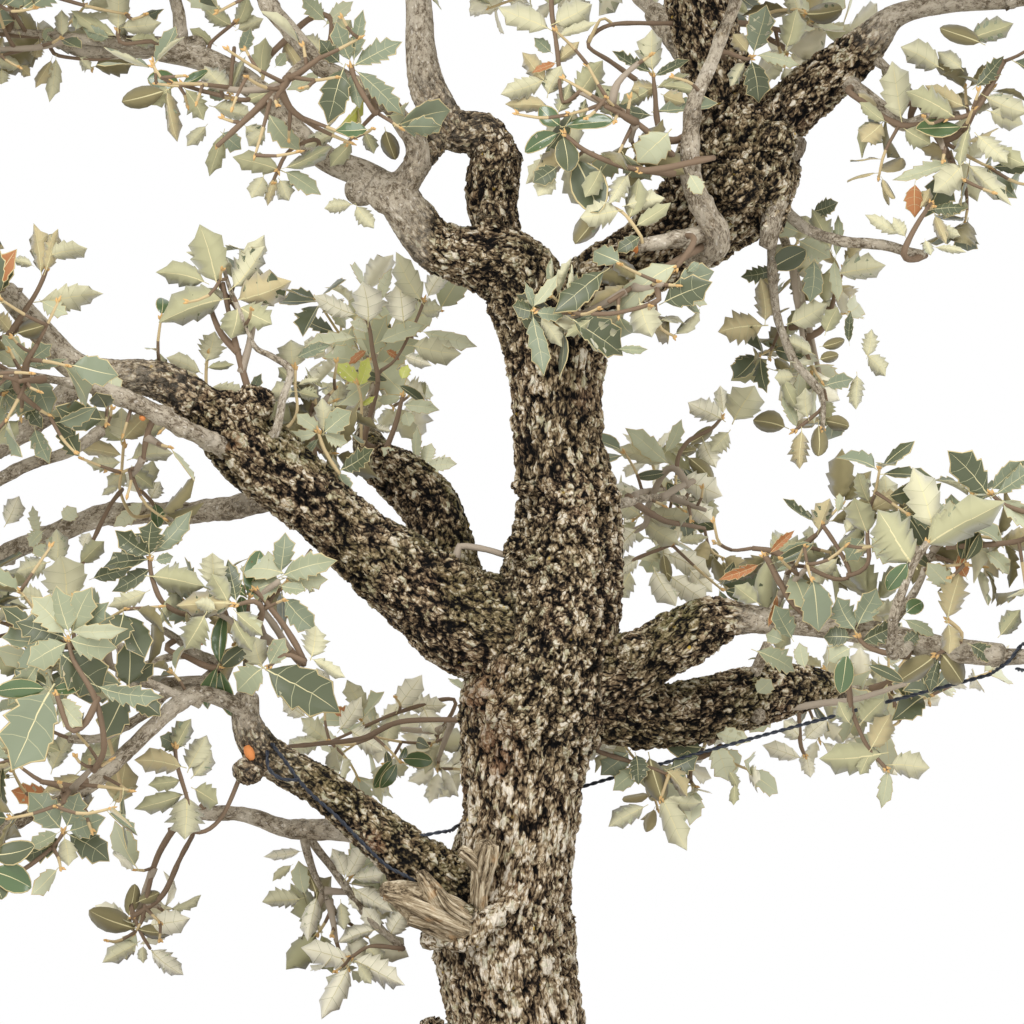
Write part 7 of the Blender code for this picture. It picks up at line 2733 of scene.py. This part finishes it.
@dataclass
class Pot:
    """A plain rounded-oblong clay pot with a lip and a flat inset plinth, in metres."""

    length: float = 0.500
    width: float = 0.370
    height: float = 0.106
    taper: float = 0.90
    wall: float = 0.014
    corner: float = 0.045
    lip_out: float = 0.009
    lip_height: float = 0.016
    foot_inset: float = 0.022
    foot_height: float = 0.009
    inside_low: float = 0.07
    round_over: float = 0.0028
    corner_points: int = 14

    def outline(self, scale: float, inset: float, spans: int = 1) -> np.ndarray:
        """Points round a rounded oblong, shrunk by a share and then by an inset, its sides in spans.

        Args:
            scale: The share that it is shrunk by.
            inset: And the inset, in metres.
            spans: How many spans each straight side is cut into.

        Returns:
            The points, once round.
        """
        corner = max(0.004, self.corner + self.lip_out - inset)
        half = np.array((self.length / 2.0 * scale - inset, self.width / 2.0 * scale - inset)) - corner
        turns = np.linspace(0.0, math.pi / 2.0, self.corner_points)
        rows = []
        for quarter, (sign_x, sign_y) in enumerate(((1, 1), (-1, 1), (-1, -1), (1, -1))):
            angles = turns + quarter * math.pi / 2.0
            rows.append(np.stack((sign_x * half[0] + corner * np.cos(angles),
                                  sign_y * half[1] + corner * np.sin(angles)), axis=-1))
        parts = np.arange(1, spans)[:, None] / spans
        points = []
        for here, after in zip(rows, rows[1:] + rows[:1]):
            points += [here, here[-1] * (1.0 - parts) + after[0] * parts]
        return np.concatenate(points)

    def profile(self) -> list[tuple[float, float, float]]:
        """Cuts from under the pot, up its outside, over the lip and down inside: scale, inset, level.

        Returns:
            The cuts in order.
        """
        low = self.height - self.lip_height
        foot = self.foot_inset + self.lip_out
        rows = [(self.taper, foot + 0.02, 0.0), (self.taper, foot, 0.0),
                (self.taper, foot, self.foot_height)]
        for part in np.linspace(0.0, 1.0, 13):
            rows.append((self.taper + (1.0 - self.taper) * part * low / self.height,
                         self.lip_out - 0.0022 * math.sin(math.pi * part) + 0.001,
                         self.foot_height + (low - self.foot_height) * part))
        rows += [(1.0, 0.0, low), (1.0, 0.0, self.height), (1.0, self.lip_out + self.wall, self.height),
                 (0.985, self.lip_out + self.wall, self.inside_low)]
        return rows

    def eased_profile(self) -> list[tuple[float, float, float]]:
        """The profile with its sharp corners rounded over.

        Returns:
            The cuts in order.
        """
        rows = self.profile()
        result = [rows[0]]
        for index in range(1, len(rows) - 1):
            before, here, after = (np.array(rows[index + shift]) for shift in (-1, 0, 1))
            steps = [neighbour - here for neighbour in (before, after)]
            spans = [math.hypot(step[0] * self.length / 2.0 + step[1], step[2]) for step in steps]
            turned = np.dot(steps[0][1:] + [steps[0][0] * 0.2, 0], steps[1][1:] + [steps[1][0] * 0.2, 0])
            if min(spans) < 1e-6 or turned < -0.93 * spans[0] * spans[1]:
                result.append(tuple(here))
                continue
            reach = [min(self.round_over, 0.45 * span) / span for span in spans]
            for part in (0.0, 0.25, 0.5, 0.75, 1.0):
                curve = (here + steps[0] * reach[0] * (1.0 - part) ** 2
                         + steps[1] * reach[1] * part ** 2)
                result.append(tuple(curve))
        return result + [rows[-1]]

    def build(self) -> bpy.types.Object:
        """Makes the pot in place of the construction's.

        Returns:
            The object.
        """
        rows = self.eased_profile()
        sides = 4 * self.corner_points
        rings = [np.column_stack((self.outline(scale, inset), np.full(sides, level)))
                 for scale, inset, level in rows]
        points = np.concatenate(rings)
        middle = np.array([[0.0, 0.0, rows[0][2]]])
        around = np.arange(sides)
        cap = np.stack(((around + 1) % sides, around, np.full(sides, len(points)),
                        np.full(sides, -1)), axis=-1)
        faces = np.concatenate((ring_faces(len(rows), sides), cap))
        batch = Batch()
        batch.add(Shape(np.concatenate((points, middle)), faces, np.zeros(len(faces), int)))
        item = batch.piece("pot_shell", [ClayFinish().material()], scale=1.0)
        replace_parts(item, "pot")
        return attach(item, ROOT)


GRIT_FINISHES = (PlainFinish("grit_tan", paint(168, 132, 92), 0.95),
                 PlainFinish("grit_brown", paint(112, 82, 60), 0.95),
                 PlainFinish("grit_grey", paint(128, 122, 116), 0.9),
                 PlainFinish("grit_dark", paint(66, 54, 46), 0.9),
                 PlainFinish("grit_pale", paint(196, 184, 164), 0.95))
GRIT_SHARES = (0.36, 0.28, 0.14, 0.14, 0.08)


@dataclass
class Soil:
    """The soil bed with a low mound, patches of moss and grit on it, in metres."""

    pot: Pot
    edge: float = 0.0935
    top: float = 0.1035
    under: float = 0.060
    slope: float = 0.050
    gap: float = 0.0004
    scale: float = 0.988
    grit: int = 2600
    grit_inset: float = 0.029
    grit_sizes: tuple[float, float] = (0.0010, 0.0026)
    rings: int = 46
    spans: int = 20

    def inset(self) -> float:
        """How far the bed's edge is in from the lip's."""
        return self.pot.lip_out + self.pot.wall + self.gap

    def level(self, share: float, spots: np.ndarray) -> np.ndarray:
        """The height of the bed, a share of the way in from the wall."""
        rise = min(1.0, (1.0 - share) * 0.5 * self.pot.width / self.slope)
        mound = self.edge + (self.top - self.edge) * rise * rise * (3.0 - 2.0 * rise)
        return mound + 0.0007 * soft_noise(spots * 110.0, 61, 3)

    def build(self) -> list[bpy.types.Object]:
        """Makes the bed and the grit.

        Returns:
            The bed and the grit.
        """
        base = self.pot.outline(self.scale, self.inset(), self.spans)
        rings = []
        for ring in range(self.rings + 1):
            share = ring / self.rings if ring else 0.004
            spots = np.column_stack((base * share, np.zeros(len(base))))
            rings.append(np.column_stack((base * share, self.level(share, spots))))
        rings.append(np.column_stack((base * 0.975, np.full(len(base), self.under))))
        points = np.concatenate(rings)
        sides = len(base)
        around = np.arange(sides)
        last = len(points) - sides
        cap = np.stack((np.full(sides, len(points)), last + around, last + (around + 1) % sides,
                        np.full(sides, -1)), axis=-1)[:, [0, 2, 1, 3]]
        cap_top = np.stack((around, (around + 1) % sides, np.full(sides, len(points) + 1),
                            np.full(sides, -1)), axis=-1)
        faces = np.concatenate((ring_faces(len(rings), sides)[:, ::-1], cap, cap_top))
        points = np.concatenate((points, [[0.0, 0.0, self.under], [0.0, 0.0, self.top]]))
        batch = Batch()
        batch.add(Shape(points, faces, np.zeros(len(faces), int)))
        bed = batch.piece("soil_bed", [SoilFinish().material()], scale=1.0)
        moss = eased(soft_noise(points * 16.0, 81, 3), 0.0, 0.45) * (points[:, 2] > 0.08)
        keep_marks(bed, {"moss": moss})
        grit = self.grains().piece("soil_grit", [finish.material() for finish in GRIT_FINISHES], 1.0)
        for item in (bed, grit):
            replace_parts(item, "soil")
            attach(item, ROOT)
        return [bed, grit]

    def grains(self) -> Batch:
        """Small broken grains of clay and stone, half sunk in the bed.

        Returns:
            The grains, in metres.
        """
        rng = np.random.default_rng(8)
        batch = Batch()
        golden = (1.0 + math.sqrt(5.0)) / 2.0
        signs = list(itertools.product((-1, 1), repeat=2))
        corners = unit(np.array([(s, t * golden, 0.0) for s, t in signs]
                                + [(0.0, s, t * golden) for s, t in signs]
                                + [(t * golden, 0.0, s) for s, t in signs]))
        faces = hull_faces(corners)
        half_size = np.array((self.pot.length, self.pot.width)) / 2.0
        half, edge = half_size - self.grit_inset, half_size * self.scale - self.inset()
        for _ in range(self.grit):
            spot = rng.uniform(-1.0, 1.0, 2)
            if (np.abs(spot) ** 4).sum() > 1.0:
                continue
            spot = spot * half
            share = float(np.max(np.abs(spot) / edge))
            spots = np.array([[spot[0], spot[1], 0.0]])
            grain = rng.uniform(*self.grit_sizes)
            level = self.level(share, spots)[0] + grain * 0.25
            scale = grain * rng.uniform(0.65, 1.25, 3)
            turned = corners * rng.uniform(0.8, 1.15, (len(corners), 1)) * scale
            tone = int(rng.choice(len(GRIT_FINISHES), p=GRIT_SHARES))
            batch.add(Shape(turned + (spot[0], spot[1], level), faces, np.full(len(faces), tone)))
        return batch


def hull_faces(corners: np.ndarray) -> np.ndarray:
    """The outer triangles of a few points that all lie on a ball.

    Args:
        corners: The points.

    Returns:
        The corner numbers of each triangle, with -1 for the fourth.
    """
    faces = []
    for trio in itertools.combinations(range(len(corners)), 3):
        first, second, third = corners[list(trio)]
        normal = np.cross(second - first, third - first)
        sides = (corners - first) @ normal
        if sides.max() < 1e-6:
            faces.append((*trio, -1))
        elif sides.min() > -1e-6:
            faces.append((trio[0], trio[2], trio[1], -1))
    return np.array(faces)


@dataclass
class GuyWire:
    """A thin dark wire that trains the lower boughs, wound round them and drawn across behind."""

    radius_mm: float = 0.55
    strand_mm: float = 0.5
    twist_mm: float = 9.0
    gap_mm: float = 1.3
    runs: tuple[tuple[Place, ...], ...] = (
        ((-121, -30, 352), (-114, -50, 346), (-108, -50, 338), (-103, -50, 331), (-96, -48, 323),
         (-85, -46, 313), (-73, -42, 300), (-61, -38, 288), (-49, -36, 281), (-44, -26, 272),
         (-46, -6, 262)),
        ((-118, -50, 345), (-117, -54, 337), (-111, -55, 332), (-103, -52, 331)),
        ((-46, -28, 301), (-36, -28, 303), (-30, -20, 303), (-26, 4, 303), (-8, 34, 304),
         (20, 36, 312), (37, 30, 320), (130, -4, 350), (228, -60, 382)),
        ((228, -60, 382), (231, -72, 386), (235, -78, 390), (240, -76, 396), (244, -70, 397),
         (246, -66, 390), (244, -70, 385), (238, -80, 386)))

    def build(self, finish: bpy.types.Material) -> bpy.types.Object:
        """Makes the wire as one joined tube for each run.

        Args:
            finish: The wire's material.

        Returns:
            The object.
        """
        batch = Batch()
        for run in self.runs:
            places, radii = even_line([(*point, self.radius_mm) for point in run], self.gap_mm)
            _, side, other = carried_axes(places)
            turn = (np.arange(len(places)) * self.gap_mm * 2.0 * math.pi / self.twist_mm)[:, None]
            for half in (0.0, math.pi):
                offset = side * np.cos(turn + half) + other * np.sin(turn + half)
                batch.add(tube_shape(places + offset * self.strand_mm, radii, 6))
        item = batch.piece("guy_wire", [finish])
        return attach(item, ROOT)


# ---------------------------------------------------------------- studio


@dataclass
class Studio:
    """A pale floor, an even white surround, two soft lights and the camera, in metres."""

    distance: float = 1.4
    level: float = 0.460
    view_width: float = 0.512
    sensor_mm: float = 36.0
    aim: Place = (0.0, 0.0, 0.45)
    lights: tuple[tuple[str, Place, float, float], ...] = (("key", (-0.7, -1.3, 1.5), 0.7, 16.0),
                                                           ("rim", (0.9, -0.5, 1.1), 0.6, 5.0))
    floor_radius: float = 1.05
    floor_sides: int = 96
    surround: float = 1.0

    def camera(self) -> None:
        """Sets the camera level with the middle of the crown, looking along +Y."""
        data = bpy.data.cameras.new("camera")
        data.sensor_width = self.sensor_mm
        data.lens = self.sensor_mm * self.distance / self.view_width
        item = bpy.data.objects.new("camera", data)
        item.location = (0.0, -self.distance, self.level)
        item.rotation_euler = (math.radians(90.0), 0.0, 0.0)
        bpy.context.scene.collection.objects.link(item)
        bpy.context.scene.camera = item

    def light(self, name: str, place: Place, size: float, power: float) -> None:
        """A soft square light aimed at the middle of the tree.

        Args:
            name: Its name.
            place: Where it stands.
            size: The length of its side.
            power: Its power, in watts.
        """
        data = bpy.data.lights.new(name, "AREA")
        data.size = size
        data.energy = power
        item = bpy.data.objects.new(name, data)
        item.location = place
        way = Vector(self.aim) - Vector(place)
        item.rotation_euler = way.to_track_quat("-Z", "Y").to_euler()
        bpy.context.scene.collection.objects.link(item)

    def floor(self) -> bpy.types.Object:
        """A round pale floor with fine mottling.

        Returns:
            The object.
        """
        turns = round_turns(self.floor_sides)
        level = np.full(self.floor_sides, -0.0002)
        rings = [np.column_stack((np.cos(turns) * reach, np.sin(turns) * reach, level))
                 for reach in (0.01, 0.4, 0.8, self.floor_radius)]
        batch = Batch()
        faces = ring_faces(len(rings), self.floor_sides)
        batch.add(Shape(np.concatenate(rings), faces[:, ::-1], np.zeros(len(faces), int)))
        recipe = Recipe("floor_paper")
        mottle = recipe.noise(30.0, 3.0)
        colour = recipe.mix(mottle.between(0.3, 0.7), paint(238, 237, 234), paint(243, 242, 240))
        item = batch.piece("floor", [recipe.finish(base_color=colour, roughness=0.9)], scale=1.0)
        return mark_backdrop(item)

    def build(self) -> None:
        """Sets up the whole studio."""
        self.camera()
        world = bpy.data.worlds.new("surround")
        bpy.context.scene.world = world
        world.use_nodes = True
        sky = world.node_tree.nodes["Background"]
        sky.inputs["Color"].default_value = (1.0, 1.0, 1.0, 1.0)
        sky.inputs["Strength"].default_value = self.surround
        for light in self.lights:
            self.light(*light)
        self.floor()
        bpy.context.scene.view_settings.view_transform = "Standard"


def limb_search(nodes: dict[str, bpy.types.Object]) -> BVHTree:
    """A search tree over the construction's limbs, in metres.

    Args:
        nodes: The construction's objects, by name.

    Returns:
        The tree.
    """
    points, faces = [], []
    for limb in LIMBS:
        mesh = nodes[limb.name].data
        start = len(points)
        points += [vertex.co.copy() for vertex in mesh.vertices]
        faces += [[start + corner for corner in face.vertices] for face in mesh.polygons]
    return BVHTree.FromPolygons(points, faces)


def main() -> None:
    """Builds every sub-assembly in order."""
    logging.basicConfig(level=logging.INFO, format="%(message)s")
    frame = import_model()
    Studio().build()
    limbs = limb_search(frame["nodes"])
    pot = Pot()
    framework, bark = Framework(), BarkFinish().material()
    made = framework.build(bark)
    made.append(Deadwood().build())
    foliage = Foliage(limbs)
    made += foliage.build()
    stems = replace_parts(framework.young("bark_stems", foliage.stems, bark, 10, 2.4),
                        *[mass.name for mass in MASSES])
    made.append(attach(stems, ROOT))
    made.append(pot.build())
    made += Soil(pot).build()
    made.append(GuyWire().build(PlainFinish("wire_coat", paint(40, 46, 58), 0.4).material()))
    for item in made:
        mesh = item.data
        LOG.info("%s: %d triangles", item.name, len(mesh.loops) - 2 * len(mesh.polygons))


if __name__ == "__main__":
    main()
